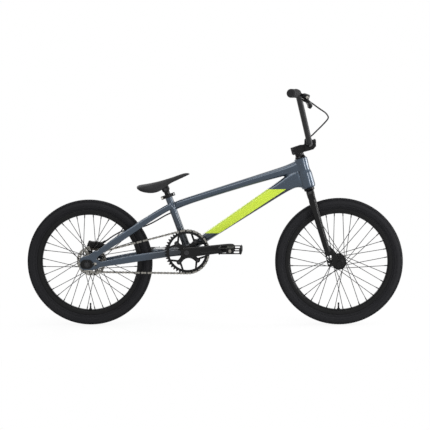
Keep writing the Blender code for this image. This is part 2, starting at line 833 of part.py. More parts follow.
def between(stations, first, last, hand=1):
    """The stations' low edge, high edge and width, placed between a tube's two ends."""
    rows = []
    for share, low, high, shift, width in stations:
        place = first.lerp(last, share)
        side = hand * (place.y + shift)
        bottom = Vector((place.x + low[0], side, place.z + low[1]))
        top = Vector((place.x + high[0], side, place.z + high[1]))
        rows.append((bottom, top, width))
    return rows


def frame_tube(name, rows, power=3.0, count=14):
    """A tube lofted through its stations."""
    sections = []
    for bottom, top, width in rows:
        upright = (top - bottom).normalized()
        height = (top - bottom).length
        sections.append(section((bottom + top) / 2, SIDE, upright, width, height, power, count))
    return loft(name, sections)


def empty(name, place):
    obj = bpy.data.objects.new(name, None)
    obj.location = place
    obj.empty_display_size = 0.03
    collection("bmx_race_bike").objects.link(obj)
    return obj


def parent(obj, holder):
    bpy.context.view_layer.update()
    obj.parent = holder
    obj.matrix_parent_inverse = holder.matrix_world.inverted()
    return obj


def head_frame(along=0.0, ahead=0.0, side=0.0):
    """A frame on the steering axis whose Z runs up the steerer."""
    return turned_frame(head_point(ahead, along, side), STEER, AHEAD)


def hand_frame(place, hand):
    """A frame whose Z runs outwards on the chain side or on the brake side."""
    return turned_frame((place[0], 0, place[2]), SIDE * hand, FORWARD)


def hand_of(side):
    """-1 on the chain side, +1 on the brake side."""
    return -1 if side == "right" else 1


def seat_point(along, back=0.0):
    """A point along the seat tube's axis, and behind it."""
    return SEAT_DIR * along + SEAT_BACK * back


# Frame


def head_profile(grow=0.0):
    """The head tube's outer line from its top down: waisted, with a collar that steps out at half height."""
    half = HEAD_LENGTH / 2
    top = HEAD_TOP_RADIUS + grow
    low = HEAD_LOW_RADIUS + grow
    return [
        (top - 0.0022, half),
        (top, half - 0.003),
        (top, half - 0.023),
        (top - 0.0014, 0.022),
        (top - 0.0012, 0.009),
        (low - 0.0012, 0.003),
        (low, -0.018),
        (low + 0.0005, -half + 0.014),
        (low - 0.0006, -half + 0.007),
        (low - 0.0026, -half),
    ]


def head_tube():
    half = HEAD_LENGTH / 2
    seat = BEARING_OUTER + GAP
    deep = BEARING_HEIGHT + BEARING_SINK + BEARING_ROOM
    inside = [(seat, -half), (seat, -half + deep), (HEAD_BORE, -half + deep)]
    inside += [(HEAD_BORE, half - deep), (seat, half - deep), (seat, half)]
    obj = turned("head_tube", head_profile() + inside, head_frame(0), 20, ring=True)
    return placed(smooth(applied(obj)), slate())


def top_tube_rows():
    return between(TOP_TUBE, SEAT_JOINT, HEAD)


def chainstay_rows(hand):
    return between(CHAINSTAY, SIDE * STAY_START_LOW, REAR_AXLE + SIDE * STAY_END, hand)


def seatstay_rows(hand):
    return between(SEATSTAY, SEAT_JOINT + SIDE * STAY_START_HIGH, REAR_AXLE + SIDE * STAY_END, hand)


def head_cutter():
    half = HEAD_LENGTH / 2
    grow = 2 * GAP
    line = head_profile(grow)
    profile = [(0, half + PAST), (line[0][0], half + PAST)] + line[1:-2]
    profile += [(line[-3][0], -half - PAST), (0, -half - PAST)]
    return applied(turned("head_cutter", profile, head_frame(0), 20))


def shell_cutter():
    reach = SHELL_HALF + PAST
    return applied(rod("shell_cutter", SHELL_RADIUS + 2 * GAP, reach, -reach, y_frame(BOTTOM_BRACKET)))


def seat_frame(along=0.0, back=0.0):
    """A frame on the seat tube's axis whose Z runs up the tube."""
    return turned_frame(seat_point(along, back), SEAT_DIR, FORWARD)


def seat_cutter():
    reach = SEAT_TUBE_LENGTH + FAR_PAST
    return applied(rod("seat_cutter", SEAT_TUBE_RADIUS + 2 * GAP, reach, 0, seat_frame(), 20))


def top_tube():
    obj = frame_tube("top_tube", top_tube_rows(), count=16)
    cut(obj, head_cutter(), seat_cutter())
    return placed(smooth(obj), slate())


def down_tube():
    obj = frame_tube("down_tube", between(DOWN_TUBE, BOTTOM_BRACKET, HEAD), power=3.4, count=16)
    cut(obj, head_cutter(), shell_cutter(), seat_cutter(), above_down_tube())
    return placed(smooth(obj), slate())


def above_down_tube():
    """What lies above the top tube's lower edge, where the two tubes meet behind the head tube."""
    line = [(bottom.x, bottom.z - 2 * GAP) for bottom, top, width in top_tube_rows()[TOP_TUBE_FRONT:]]
    (x0, z0), (x1, z1) = line[-2:]
    line.append((x1 + PAST, z1 + PAST * (z1 - z0) / (x1 - x0)))
    outline = line + [(line[-1][0], line[-1][1] + FAR_PAST), (line[0][0], line[0][1] + FAR_PAST)]
    return plate("above_down_tube", [outline], FAR_PAST, side_frame(0))


def seat_tube():
    bore = POST_RADIUS + GAP
    obj = ring("seat_tube", SEAT_TUBE_RADIUS, bore, SEAT_TUBE_LENGTH, SEAT_TUBE_LOW, seat_frame(), 20)
    applied(obj)
    cut(obj, shell_cutter())
    return placed(smooth(obj), slate())


def bottom_bracket_shell():
    profile = [
        (SHELL_RADIUS, SHELL_HALF),
        (SHELL_RADIUS, -SHELL_HALF),
        (CUP_RADIUS - CUP_WALL, -SHELL_HALF),
        (CUP_RADIUS - CUP_WALL, SHELL_HALF),
    ]
    obj = applied(turned("bottom_bracket_shell", profile, y_frame((0, 0, 0)), 24, ring=True))
    return placed(smooth(obj), slate())


def bottom_bracket_cup(name, hand):
    inner = SPINDLE_RADIUS + RUNNING
    lip = SHELL_HALF + GAP
    profile = [
        (CUP_RADIUS - CUP_EDGE, lip + CUP_REACH),
        (CUP_RADIUS, lip + CUP_REACH - CUP_EDGE),
        (CUP_RADIUS, lip),
        (CUP_RADIUS - CUP_WALL - GAP, lip),
        (CUP_RADIUS - CUP_WALL - GAP, lip - CUP_DEPTH),
        (inner, lip - CUP_DEPTH),
        (inner, lip + CUP_REACH),
    ]
    obj = applied(turned(name, profile, hand_frame(BOTTOM_BRACKET, hand), 20, ring=True))
    return placed(smooth(obj), black_alloy())


def chainstay(side):
    hand = hand_of(side)
    obj = frame_tube("chainstay_" + side, chainstay_rows(hand), count=12)
    if hand > 0:
        join(obj, stay_bridge())
    cut(obj, dropout_clearance(hand), shell_cutter())
    return placed(smooth(obj), slate())


def stay_bridge():
    """The bridge between the chainstays, ahead of the tyre; it is one piece with the left stay."""
    rear = REAR_AXLE.x + TYRE_RADIUS + BRIDGE_ROOM
    size = (BRIDGE_DEPTH, 2 * BRIDGE_REACH, BRIDGE_HIGH - BRIDGE_LOW)
    obj = box("bridge", size, at(rear + BRIDGE_DEPTH / 2, 0, (BRIDGE_HIGH + BRIDGE_LOW) / 2))
    bevelled(obj, BRIDGE_EDGE, 1)
    applied(obj)
    waist = applied(rod("waist", BRIDGE_WAIST, PAST, -PAST, at(rear - BRIDGE_WAIST_BACK, 0, 0), 16))
    grown = []
    for bottom, top, width in chainstay_rows(-1):
        grown.append((bottom - UP * 2 * GAP, top + UP * 2 * GAP, width + 4 * GAP))
    return cut(obj, waist, frame_tube("stay_room", grown, count=12))


def seatstay(side):
    """One seat stay, cut off at the bike's middle, behind the seat tube and round the dropout."""
    hand = hand_of(side)
    obj = frame_tube("seatstay_" + side, seatstay_rows(hand), count=12)
    size = (2 * FAR_PAST, PAST, 2 * FAR_PAST)
    other = box("other_side", size, at(SEAT_JOINT.x, -hand * (PAST - GAP) / 2, SEAT_JOINT.z))
    ahead = box("ahead", (2 * PAST, 4 * PAST, FAR_PAST), seat_frame(SEAT_JOINT.length, GAP - PAST))
    cut(obj, seat_cutter(), other, ahead, dropout_clearance(hand))
    return placed(smooth(obj), slate())


def dropout_outline(grow=0.0):
    """The fork end's outline round the axle, with a slot for the axle that is open to the rear."""
    half = AXLE_RADIUS + GAP
    outline = [*DROPOUT_TOP, *DROPOUT_FRONT, *DROPOUT_LOW]
    if grow:
        middle = Vector(DROPOUT_MIDDLE)
        return [tuple(Vector(p) + (Vector(p) - middle).normalized() * grow) for p in outline]
    slot = [(DROPOUT_REAR, -half)]
    slot += arc((SLOT_AHEAD, 0), half, -math.pi / 2, math.pi / 2, 7)
    slot += [(DROPOUT_REAR, half)]
    return outline + slot


def dropout_clearance(hand):
    frame = side_frame(hand * STAY_END, (REAR_AXLE.x, REAR_AXLE.z))
    return plate("dropout_clearance", [dropout_outline(2 * GAP)], STAY_CUT, frame)


def dropout(side):
    hand = hand_of(side)
    place = hand * (REAR_WIDTH / 2 + DROPOUT_THICK / 2)
    frame = side_frame(place, (REAR_AXLE.x, REAR_AXLE.z))
    obj = plate("dropout_" + side, [dropout_outline()], DROPOUT_THICK, frame)
    return placed(obj, slate())


# Seat


def seat_clamp():
    middle = CLAMP_TOP - CLAMP_HEIGHT / 2
    inner = SEAT_TUBE_RADIUS + GAP
    obj = ring("seat_clamp", CLAMP_OUTER, inner, CLAMP_TOP, CLAMP_TOP - CLAMP_HEIGHT, seat_frame(), 20)
    applied(obj)
    ears = box("ears", (*CLAMP_EARS, CLAMP_HEIGHT), seat_frame(middle, CLAMP_OUTER + CLAMP_EARS_BACK))
    lobe = box("lobe", (*CLAMP_LOBE, CLAMP_HEIGHT), seat_frame(middle, -CLAMP_OUTER - CLAMP_LOBE_AHEAD))
    slot = box("slot", CLAMP_SLOT, seat_frame(middle, CLAMP_OUTER + CLAMP_SLOT_BACK))
    screw = seat_point(middle, CLAMP_OUTER + CLAMP_SCREW_BACK)
    screw_hole = applied(rod("hole", CLAMP_SCREW + RUNNING, PAST, -PAST, y_frame(screw), 12))
    eye_place = seat_point(middle, -CLAMP_OUTER - CLAMP_EYE_AHEAD)
    eye = applied(rod("eye", CLAMP_EYE, PAST, -PAST, y_frame(eye_place), 12))
    join(obj, ears, lobe)
    cut(obj, slot, screw_hole, eye)
    return placed(obj, black_alloy())


def seat_clamp_bolt():
    """The clamp's bolt: its head on one side of the ears, its shank through both."""
    ears = CLAMP_EARS[1] / 2
    head = ears + GAP
    profile = [
        (0, head + 0.0047),
        (0.0042, head + 0.0047),
        (0.0046, head + 0.0040),
        (0.0046, head),
        (CLAMP_SCREW, head),
        (CLAMP_SCREW, -ears - 0.0025),
        (0, -ears - 0.0025),
    ]
    place = seat_point(CLAMP_TOP - CLAMP_HEIGHT / 2, CLAMP_OUTER + CLAMP_SCREW_BACK)
    return placed(smooth(applied(turned("seat_clamp_bolt", profile, hand_frame(place, -1), 12))), steel())


def seat_post():
    top = PIVOT - POST_BELOW_PIVOT
    obj = applied(rod("seat_post", POST_RADIUS, top, SEAT_TUBE_LENGTH - POST_IN_TUBE, seat_frame(), 20))
    pivot = y_frame(seat_point(PIVOT))
    head = applied(rod("head", PIVOT_RADIUS, PIVOT_HALF, -PIVOT_HALF, pivot, 20))
    join(obj, head)
    cut(obj, applied(rod("hole", SADDLE_SCREW + GAP, PAST, -PAST, pivot, 12)))
    return placed(smooth(obj), black_alloy())


def saddle_bolt():
    head = SADDLE_LUG_HALF + GAP
    profile = [
        (0, SADDLE_SCREW_HALF),
        (SADDLE_SCREW_HEAD, SADDLE_SCREW_HALF),
        (SADDLE_SCREW_HEAD, head),
        (SADDLE_SCREW, head),
        (SADDLE_SCREW, -head),
        (SADDLE_SCREW_HEAD, -head),
        (SADDLE_SCREW_HEAD, -SADDLE_SCREW_HALF),
        (0, -SADDLE_SCREW_HALF),
    ]
    return placed(smooth(applied(turned("saddle_bolt", profile, y_frame(seat_point(PIVOT)), 12))), steel())


def saddle():
    """A race saddle: crowned top, deep side skirts and a hollow underside."""
    along = Vector((-math.cos(SADDLE_TILT), 0, -math.sin(SADDLE_TILT)))
    normal = Vector((-math.sin(SADDLE_TILT), 0, math.cos(SADDLE_TILT)))
    nose = seat_point(PIVOT) + FORWARD * NOSE_AHEAD + UP * NOSE_ABOVE
    rows = []
    for share, wide, top, edge, belly in SADDLE_ROWS:
        centre = nose + along * (share * SADDLE_LENGTH)
        half = wide * SADDLE_WIDTH / 2
        shoulder = top - min(0.0035, 0.3 * (top - edge)) - 0.10 * (top - edge)
        flank = top + 0.55 * (edge - top)
        shape = [(0, top), (0.50, top - 0.0008), (0.84, shoulder), (1.0, flank), (0.97, edge + 0.0004)]
        shape += [(0.86, edge), (0.62, min(belly, belly + 0.4 * (edge - belly)))]
        shape = shape + [(0, belly)] + [(-u, v) for u, v in reversed(shape[1:])]
        rows.append([centre + SIDE * (u * half) + normal * v for u, v in shape])
    obj = loft("saddle", rows)
    pivot = y_frame(seat_point(PIVOT))
    room = PIVOT_HALF + PIVOT_ROOM
    clearance = applied(rod("pivot_room", PIVOT_RADIUS + 3 * GAP, room, -room, pivot, 20))
    lugs = applied(rod("lugs", SADDLE_LUG, SADDLE_LUG_HALF, -SADDLE_LUG_HALF, pivot, 16))
    post_room = rod("post_room", POST_RADIUS + 3 * GAP, PIVOT, PIVOT - POST_ROOM_DEPTH, seat_frame(), 20)
    bridge = box("bridge", SADDLE_BRIDGE, seat_frame(PIVOT + SADDLE_BRIDGE_RISE))
    join(obj, bridge, lugs)
    hole = applied(rod("hole", SADDLE_SCREW + GAP, PAST, -PAST, pivot, 12))
    cut(obj, clearance, applied(post_room), hole)
    return placed(smooth(obj, 40), plastic())


# Wheels


def tyre(name, centre):
    """A tyre with a hollow carcass, its beads inside the rim."""
    half = TYRE_WIDTH / 2
    tall = TYRE_RADIUS - RIM_OUTER
    bead = RIM_WIDTH / 2 - RIM_WALL - GAP
    toe = RIM_OUTER - BEAD_DEPTH
    side = [(toe, bead - BEAD_SLOPE), (RIM_OUTER + GAP, bead)]
    side += [(RIM_OUTER + tall * up, half * wide) for wide, up in TYRE_LINE]
    inside = [(toe, bead - BEAD_SLOPE - BEAD_THICK), (RIM_OUTER + tall / 2, half - TYRE_WALL)]
    inside += [(TYRE_RADIUS - TYRE_WALL, CROWN_HALF)]
    points = side + [(r, -h) for r, h in reversed(side)]
    points += [(r, -h) for r, h in inside] + [(r, h) for r, h in reversed(inside)]
    obj = applied(turned(name, fixed_turn(points), y_frame(centre), WHEEL_SIDES, ring=True))
    return placed(smooth(obj), rubber())


def fixed_turn(points):
    """The closed profile in the order that makes its faces point out."""
    area = 0
    for (r0, h0), (r1, h1) in zip(points, points[1:] + points[:1]):
        area += r0 * h1 - r1 * h0
    return points if area < 0 else list(reversed(points))


def rim(name, centre):
    half = RIM_WIDTH / 2
    well = RIM_OUTER - RIM_WELL
    side = [(RIM_INNER, RIM_BED_HALF), (RIM_INNER + RIM_SHOULDER, half - 0.0008), (RIM_OUTER, half)]
    side += [(RIM_OUTER, half - RIM_WALL), (well, half - RIM_WALL - 0.0010)]
    points = side + [(r, -h) for r, h in reversed(side)]
    obj = applied(turned(name, fixed_turn(points), y_frame(centre), WHEEL_SIDES, ring=True))
    return placed(smooth(obj), black_alloy())


def spokes(centre, right, left):
    """Crossed spokes, alternate heads inside and outside of each flange."""
    made = []
    reach = RIM_INNER * math.cos(math.pi / WHEEL_SIDES) - GAP
    for hand, flange in ((-1, right), (1, left)):
        for k in range(SPOKES_PER_SIDE):
            rim_turn = SPOKE_TURN + 2 * math.pi * (k + (0.5 if hand > 0 else 0)) / SPOKES_PER_SIDE
            hub_turn = rim_turn + (SPOKE_CROSS if k % 2 else -SPOKE_CROSS)
            low_y = hand * (flange + (SPOKE_OFFSET if k % 2 else -SPOKE_OFFSET))
            low = Vector((FLANGE_HOLES * math.cos(hub_turn), low_y, FLANGE_HOLES * math.sin(hub_turn)))
            high = Vector((reach * math.cos(rim_turn), hand * SPOKE_SPREAD, reach * math.sin(rim_turn)))
            start = low - (high - low).normalized() * SPOKE_IN_FLANGE
            made.append((centre + start, centre + high))
    return made


def spoke_mesh(name, lines):
    """All spokes as three sided bars in one mesh."""
    built = bmesh.new()
    sides = 3
    for low, high in lines:
        run = (high - low).normalized()
        across = run.cross(SIDE).normalized()
        upright = run.cross(across).normalized()
        ends = []
        for place in (low, high):
            turns = [2 * math.pi * i / sides for i in range(sides)]
            corners = [place + (across * math.cos(t) + upright * math.sin(t)) * SPOKE_RADIUS for t in turns]
            ends.append([built.verts.new(corner) for corner in corners])
        first, last = ends
        for i in range(sides):
            j = (i + 1) % sides
            built.faces.new((first[i], first[j], last[j], last[i]))
        built.faces.new(list(reversed(first)))
        built.faces.new(last)
    bmesh.ops.recalc_face_normals(built, faces=built.faces)
    return mesh_object(name, built)


def hub(name, centre, flanges, ends):
    """A hub shell with its flanges, its laced spokes and a bore for the axle."""
    right, left = flanges
    right_end, left_end = ends
    bore = AXLE_RADIUS + RUNNING
    flange = FLANGE_THICK / 2
    profile = [
        (HUB_BARREL - HUB_END_STEP, left_end),
        (HUB_BARREL, left_end - 0.004),
        (HUB_BARREL, left + flange + 0.002),
        (FLANGE_RADIUS, left + flange),
        (FLANGE_RADIUS, left - flange),
        (HUB_BARREL, left - flange - FLANGE_FILLET),
        (HUB_BARREL - HUB_WAIST, 0),
        (HUB_BARREL, -right + flange + FLANGE_FILLET),
        (FLANGE_RADIUS, -right + flange),
        (FLANGE_RADIUS, -right - flange),
        (HUB_BARREL, -right - flange - 0.002),
        (HUB_BARREL, -right_end + 0.004),
        (HUB_BARREL - HUB_END_STEP, -right_end),
        (bore, -right_end),
        (bore, left_end),
    ]
    obj = applied(turned(name, profile, y_frame(centre), 18, ring=True))
    bars = spoke_mesh("spokes", spokes(centre, right, left))
    step = obj.modifiers.new("lace", "BOOLEAN")
    step.operation = "UNION"
    step.solver = "EXACT"
    step.use_self = True
    step.object = bars
    applied(obj)
    bpy.data.objects.remove(bars)
    return placed(smooth(obj), dark_steel())


def axle(name, centre, width, grip, reach):
    """An axle with its locknuts and the ends that stand out of the fork ends."""
    seat = width / 2 - GAP
    shoulder = seat - LOCKNUT_THICK
    end = width / 2 + grip + reach
    profile = [
        (0, end),
        (AXLE_RADIUS - AXLE_END_STEP, end),
        (AXLE_RADIUS, end - 0.001),
        (AXLE_RADIUS, seat),
        (LOCKNUT_RADIUS, seat),
        (LOCKNUT_RADIUS, shoulder),
        (AXLE_RADIUS, shoulder),
        (AXLE_RADIUS, -shoulder),
        (LOCKNUT_RADIUS, -shoulder),
        (LOCKNUT_RADIUS, -seat),
        (AXLE_RADIUS, -seat),
        (AXLE_RADIUS, -end + 0.001),
        (AXLE_RADIUS - AXLE_END_STEP, -end),
        (0, -end),
    ]
    return applied(turned(name, profile, y_frame(centre), 12))


def hexagon(radius):
    return circle((0, 0), radius, 6)


def axle_nut(name, centre, hand, start):
    """A flanged hexagon nut on an axle's end."""
    outlines = [hexagon(NUT_FLATS), circle((0, 0), AXLE_RADIUS + GAP, 12)]
    face = start + GAP
    place = hand * (face + WASHER_THICK + NUT_THICK / 2 - 0.0002)
    obj = plate(name, outlines, NUT_THICK, side_frame(place, (centre.x, centre.z)))
    turn = hand_frame(centre, hand)
    washer = ring("washer", WASHER_RADIUS, AXLE_RADIUS + GAP, face + WASHER_THICK, face, turn, 12)
    join(obj, applied(washer))
    return placed(obj, black_alloy())


def chain_tensioner(side):
    """The oval block that holds the axle in its slot."""
    hand = hand_of(side)
    ahead = TENSIONER_ENDS - TENSIONER_BACK
    behind = -TENSIONER_ENDS - TENSIONER_BACK
    outline = arc((ahead, 0), TENSIONER_HALF, -math.pi / 2, math.pi / 2, 9)
    outline += arc((behind, 0), TENSIONER_HALF, math.pi / 2, 3 * math.pi / 2, 9)
    hole = circle((0, 0), AXLE_RADIUS + GAP, 12)
    place = hand * (REAR_WIDTH / 2 + DROPOUT_THICK + GAP + TENSIONER_THICK / 2)
    frame = side_frame(place, (REAR_AXLE.x, REAR_AXLE.z))
    return placed(plate("chain_tensioner_" + side, [outline, hole], TENSIONER_THICK, frame), black_alloy())


# Brake


def rotor():
    """A wavy disc with swept openings and a bore that sits on the hub's end."""
    outline = []
    for i in range(ROTOR_WAVES * 3):
        turn = 2 * math.pi * i / (ROTOR_WAVES * 3)
        radius = ROTOR_RADIUS - (0 if i % 3 else ROTOR_WAVE)
        outline.append((radius * math.cos(turn), radius * math.sin(turn)))
    outlines = [outline, circle((0, 0), ROTOR_BORE, 18)]
    for i in range(ROTOR_ARMS):
        start = 2 * math.pi * i / ROTOR_ARMS
        window = arc((0, 0), ROTOR_RADIUS - ROTOR_TRACK, start + 0.12, start + 0.88, 4)
        window += arc((0, 0), ROTOR_BORE + ROTOR_SEAT, start + 0.72, start + 0.28, 2)
        outlines.append(window)
    obj = plate("brake_rotor", outlines, ROTOR_THICK, side_frame(ROTOR_Y, (REAR_AXLE.x, REAR_AXLE.z)))
    return placed(obj, steel())


def caliper_frame(y, reach=CALIPER_REACH, shift=CALIPER_SHIFT):
    """A frame at the caliper: x along its length to the front, y across the bike, z out from the axle."""
    out = Vector((math.cos(CALIPER_ANGLE), 0, math.sin(CALIPER_ANGLE)))
    along = Vector((math.sin(CALIPER_ANGLE), 0, -math.cos(CALIPER_ANGLE)))
    frame = Matrix((along, SIDE, along.cross(SIDE))).transposed().to_4x4()
    frame.translation = REAR_AXLE + out * reach + along * shift + SIDE * y
    return frame


def brake_caliper():
    size = (CALIPER_LENGTH, CALIPER_WIDTH, CALIPER_HEIGHT)
    body = box("brake_caliper", size, caliper_frame(ROTOR_Y, CALIPER_REACH - CALIPER_SINK))
    bevelled(body, CALIPER_EDGE, 1)
    applied(body)
    slot_size = (CALIPER_LENGTH + PAST, CALIPER_SLOT, CALIPER_HEIGHT)
    slot = box("slot", slot_size, caliper_frame(ROTOR_Y, CALIPER_REACH - CALIPER_SLOT_SINK))
    window_size = (CALIPER_WINDOW, CALIPER_SLOT - 0.001, 2 * CALIPER_HEIGHT)
    window = box("window", window_size, caliper_frame(ROTOR_Y, CALIPER_REACH + 0.01))
    inlet = applied(rod("inlet", PORT_RADIUS, PORT_REACH, -PORT_SINK, caliper_port_frame(), 12))
    cut(body, slot, window)
    bolts = []
    for shift in CALIPER_BOLTS:
        frame = caliper_frame(ROTOR_Y + CALIPER_BOLT_Y, CALIPER_REACH, CALIPER_SHIFT + shift)
        bolts.append(applied(rod("bolt", CALIPER_BOLT_RADIUS, CALIPER_BOLT_TOP, 0, frame, 10)))
    join(body, inlet, *bolts)
    return placed(smooth(body), black_alloy())


def caliper_port_frame():
    """The hose's inlet at the caliper's front end."""
    y, reach, shift = PORT_PLACE
    frame = caliper_frame(ROTOR_Y + y, CALIPER_REACH + reach, CALIPER_SHIFT + shift)
    return turned_frame(frame.translation, Vector(PORT_DIRECTION), UP)


def brake_pad(name, hand):
    """A friction pad on its backing plate, between the caliper and the rotor."""
    near = ROTOR_THICK / 2 + PAD_TRAVEL + PAD_CLEARANCE
    place = ROTOR_Y + hand * (near + PAD_BACK / 2)
    frame = caliper_frame(place, ROTOR_RADIUS - PAD_BELOW_EDGE, PAD_SHIFT)
    return placed(box(name, (PAD_LENGTH, PAD_BACK, PAD_HEIGHT), frame), dark_steel())


def smooth_route(points, steps):
    """Points along a smooth curve through the route's own points."""
    count = len(points)
    rows = []
    for i in range(count - 1):
        p0 = points[max(i - 1, 0)]
        p1 = points[i]
        p2 = points[i + 1]
        p3 = points[min(i + 2, count - 1)]
        for step in range(steps):
            t = step / steps
            a = p1 * 2
            b = p2 - p0
            c = p0 * 2 - p1 * 5 + p2 * 4 - p3
            d = p1 * 3 - p0 - p2 * 3 + p3
            rows.append((a + b * t + c * t * t + d * t ** 3) * 0.5)
    rows.append(points[-1])
    return rows


def brake_hose_rear():
    port = caliper_port_frame()
    points = [Vector(point) for point in REAR_HOSE]
    points += [port @ Vector((0, 0, HOSE_TURN)), port @ Vector((0, 0, PORT_REACH + GAP))]
    obj = as_mesh(tube("brake_hose_rear", smooth_route(points, 2), HOSE_RADIUS, 1))
    return placed(smooth(obj), hose_plastic())


def brake_hose_front():
    points = [lever_port(4 * GAP), lever_port(PORT_STEP)] + [Vector(point) for point in FRONT_HOSE]
    obj = as_mesh(tube("brake_hose_front", points, HOSE_RADIUS, 1))
    return placed(smooth(obj), hose_plastic())


# Chain and cranks


def toothed(teeth):
    """A sprocket's outline."""
    pitch = pitch_radius(teeth)
    tip = pitch + TOOTH_HEIGHT
    root = pitch - ROOT_DEPTH
    step = 2 * math.pi / teeth
    outline = []
    for i in range(teeth):
        for share, radius in ((-0.5, root), (-0.12, tip), (0.12, tip)):
            angle = (i + share) * step
            outline.append((radius * math.cos(angle), radius * math.sin(angle)))
    return outline


def bolt_turns():
    """The direction of each chainring bolt from the spindle."""
    return [CRANK_TILT + math.pi / 4 + 2 * math.pi * i / RING_BOLTS for i in range(RING_BOLTS)]


def on_circle(radius, turn):
    return (radius * math.cos(turn), radius * math.sin(turn))


def ring_hole():
    """The chainring's inner edge, with tabs that reach in to the bolts."""
    shoulder = math.radians(17)
    outline = []
    for bolt in bolt_turns():
        tab = on_circle(RING_BOLT_RADIUS, bolt)
        outline += arc(tab, RING_TAB, bolt - math.radians(128), bolt - math.radians(232), 5)
        outline += arc((0, 0), RING_WINDOW, bolt + shoulder, bolt + 2 * math.pi / RING_BOLTS - shoulder, 7)
    return outline


def ring_windows():
    """The crescent behind each bolt, and the bolt holes."""
    found = []
    for bolt in bolt_turns():
        outer = arc((0, 0), RING_WINDOW - CRESCENT_RIM, bolt - math.radians(14), bolt + math.radians(14), 5)
        inner = arc((0, 0), CRESCENT_INNER, bolt + math.radians(7), bolt - math.radians(7), 3)
        inner[1] = on_circle(CRESCENT_TIP, bolt)
        found.append(outer + inner)
        found.append(circle(on_circle(RING_BOLT_RADIUS, bolt), RING_BOLT_HOLE, 8))
    return found


def chainring():
    outlines = [toothed(RING_TEETH), ring_hole()] + ring_windows()
    obj = plate("chainring", outlines, RING_THICK, side_frame(-CHAIN_LINE))
    return placed(obj, black_alloy())


def cog():
    """The rear cog on its freewheel body."""
    outlines = [toothed(COG_TEETH), circle((0, 0), COG_BORE, 16)]
    obj = plate("cog", outlines, RING_THICK, side_frame(-CHAIN_LINE, (REAR_AXLE.x, REAR_AXLE.z)))
    outer = CHAIN_LINE + COG_BODY_OUT
    inner = CHAIN_LINE - COG_BODY_IN
    body = ring("body", COG_BODY_RADIUS, AXLE_RADIUS + RUNNING, outer, inner, hand_frame(REAR_AXLE, -1), 16)
    join(obj, applied(body))
    return placed(obj, steel())


def belt(ring_radius, cog_radius):
    """The open line of a chain round both sprockets, as (angle, centre) arcs and its four corners."""
    ring_at = Vector((0, 0))
    cog_at = Vector((REAR_AXLE.x, REAR_AXLE.z))
    span = cog_at - ring_at
    lean = math.acos((ring_radius - cog_radius) / span.length)
    middle = math.atan2(span.y, span.x)
    return ring_at, cog_at, middle, lean


def chain_line():
    """Points at each pin of the chain, evenly spaced along the loop, with the direction there."""
    ring_at, cog_at, middle, lean = belt(RING_PITCH, COG_PITCH)
    top = middle - lean
    low = middle + lean
    round_ring = 2 * math.pi - 2 * lean
    round_cog = 2 * lean
    straight = math.sqrt((cog_at - ring_at).length ** 2 - (RING_PITCH - COG_PITCH) ** 2)
    total = RING_PITCH * round_ring + COG_PITCH * round_cog + 2 * straight
    links = 2 * round(total / CHAIN_PITCH / 2)
    places = []
    for i in range(2 * links):
        run = total * i / (2 * links)
        places.append(along_loop(run, ring_at, cog_at, top, low, round_ring, round_cog, straight))
    return places


def along_loop(run, ring_at, cog_at, top, low, round_ring, round_cog, straight):
    """The point and outward direction at a distance along the loop, from the ring's low corner."""
    on_ring = RING_PITCH * round_ring
    if run < on_ring:
        angle = low + run / RING_PITCH
        out = Vector((math.cos(angle), math.sin(angle)))
        return ring_at + out * RING_PITCH, out
    run -= on_ring
    out = Vector((math.cos(top), math.sin(top)))
    if run < straight:
        start = ring_at + out * RING_PITCH
        end = cog_at + out * COG_PITCH
        return start.lerp(end, run / straight), out
    run -= straight
    if run < COG_PITCH * round_cog:
        angle = top + run / COG_PITCH
        out = Vector((math.cos(angle), math.sin(angle)))
        return cog_at + out * COG_PITCH, out
    run -= COG_PITCH * round_cog
    out = Vector((math.cos(low), math.sin(low)))
    start = cog_at + out * COG_PITCH
    end = ring_at + out * RING_PITCH
    return start.lerp(end, min(run / straight, 1)), out


def chain():
    """One closed loop of links, waisted between its pins, open inside where the teeth reach in."""
    outer = []
    inner = []
    for i, (place, out) in enumerate(chain_line()):
        half = CHAIN_HEIGHT / 2 if i % 2 == 0 else CHAIN_HEIGHT / 2 - CHAIN_WAIST
        outer.append(tuple(place + out * half))
        if i % 2 == 0:
            inner.append(tuple(place - out * half))
    obj = plate("chain", [outer, inner], CHAIN_WIDTH, side_frame(-CHAIN_LINE))
    slot = RING_THICK + 4 * GAP
    for pitch, centre in ((RING_PITCH, (0, 0)), (COG_PITCH, (REAR_AXLE.x, REAR_AXLE.z))):
        frame = side_frame(-CHAIN_LINE, centre)
        reach = pitch + TOOTH_HEIGHT + 2 * GAP
        teeth_room = plate("teeth_room", [circle((0, 0), reach, 48)], slot, frame)
        cut(obj, teeth_room)
    return placed(obj, steel())


def crank_dir(hand):
    """The crank's direction: forward on the chain side, back on the other."""
    turn = 1 if hand < 0 else -1
    return Vector((math.cos(CRANK_TILT), 0, math.sin(CRANK_TILT))) * turn


def arm_blank(name, hand):
    """One crank arm's own shape, from the spindle's boss to the pedal's eye."""
    run = crank_dir(hand)
    upright = Vector((-run.z, 0, run.x))
    middle = hand * (ARM_INNER + ARM_THICK / 2)
    rows = []
    for share, past, height, width in ARM:
        centre = run * (share * CRANK_LENGTH + past) + SIDE * middle
        rows.append(section(centre, SIDE, upright, width, height, 3.4, 12))
    return loft(name, rows)


def pedal_place(hand):
    return crank_dir(hand) * CRANK_LENGTH


def pedal_hole(hand):
    outer = ARM_INNER + ARM_THICK + PAST
    frame = hand_frame(pedal_place(hand), hand)
    return applied(rod("pedal_hole", PEDAL_AXLE + GAP, outer, ARM_INNER - PAST, frame, 16))


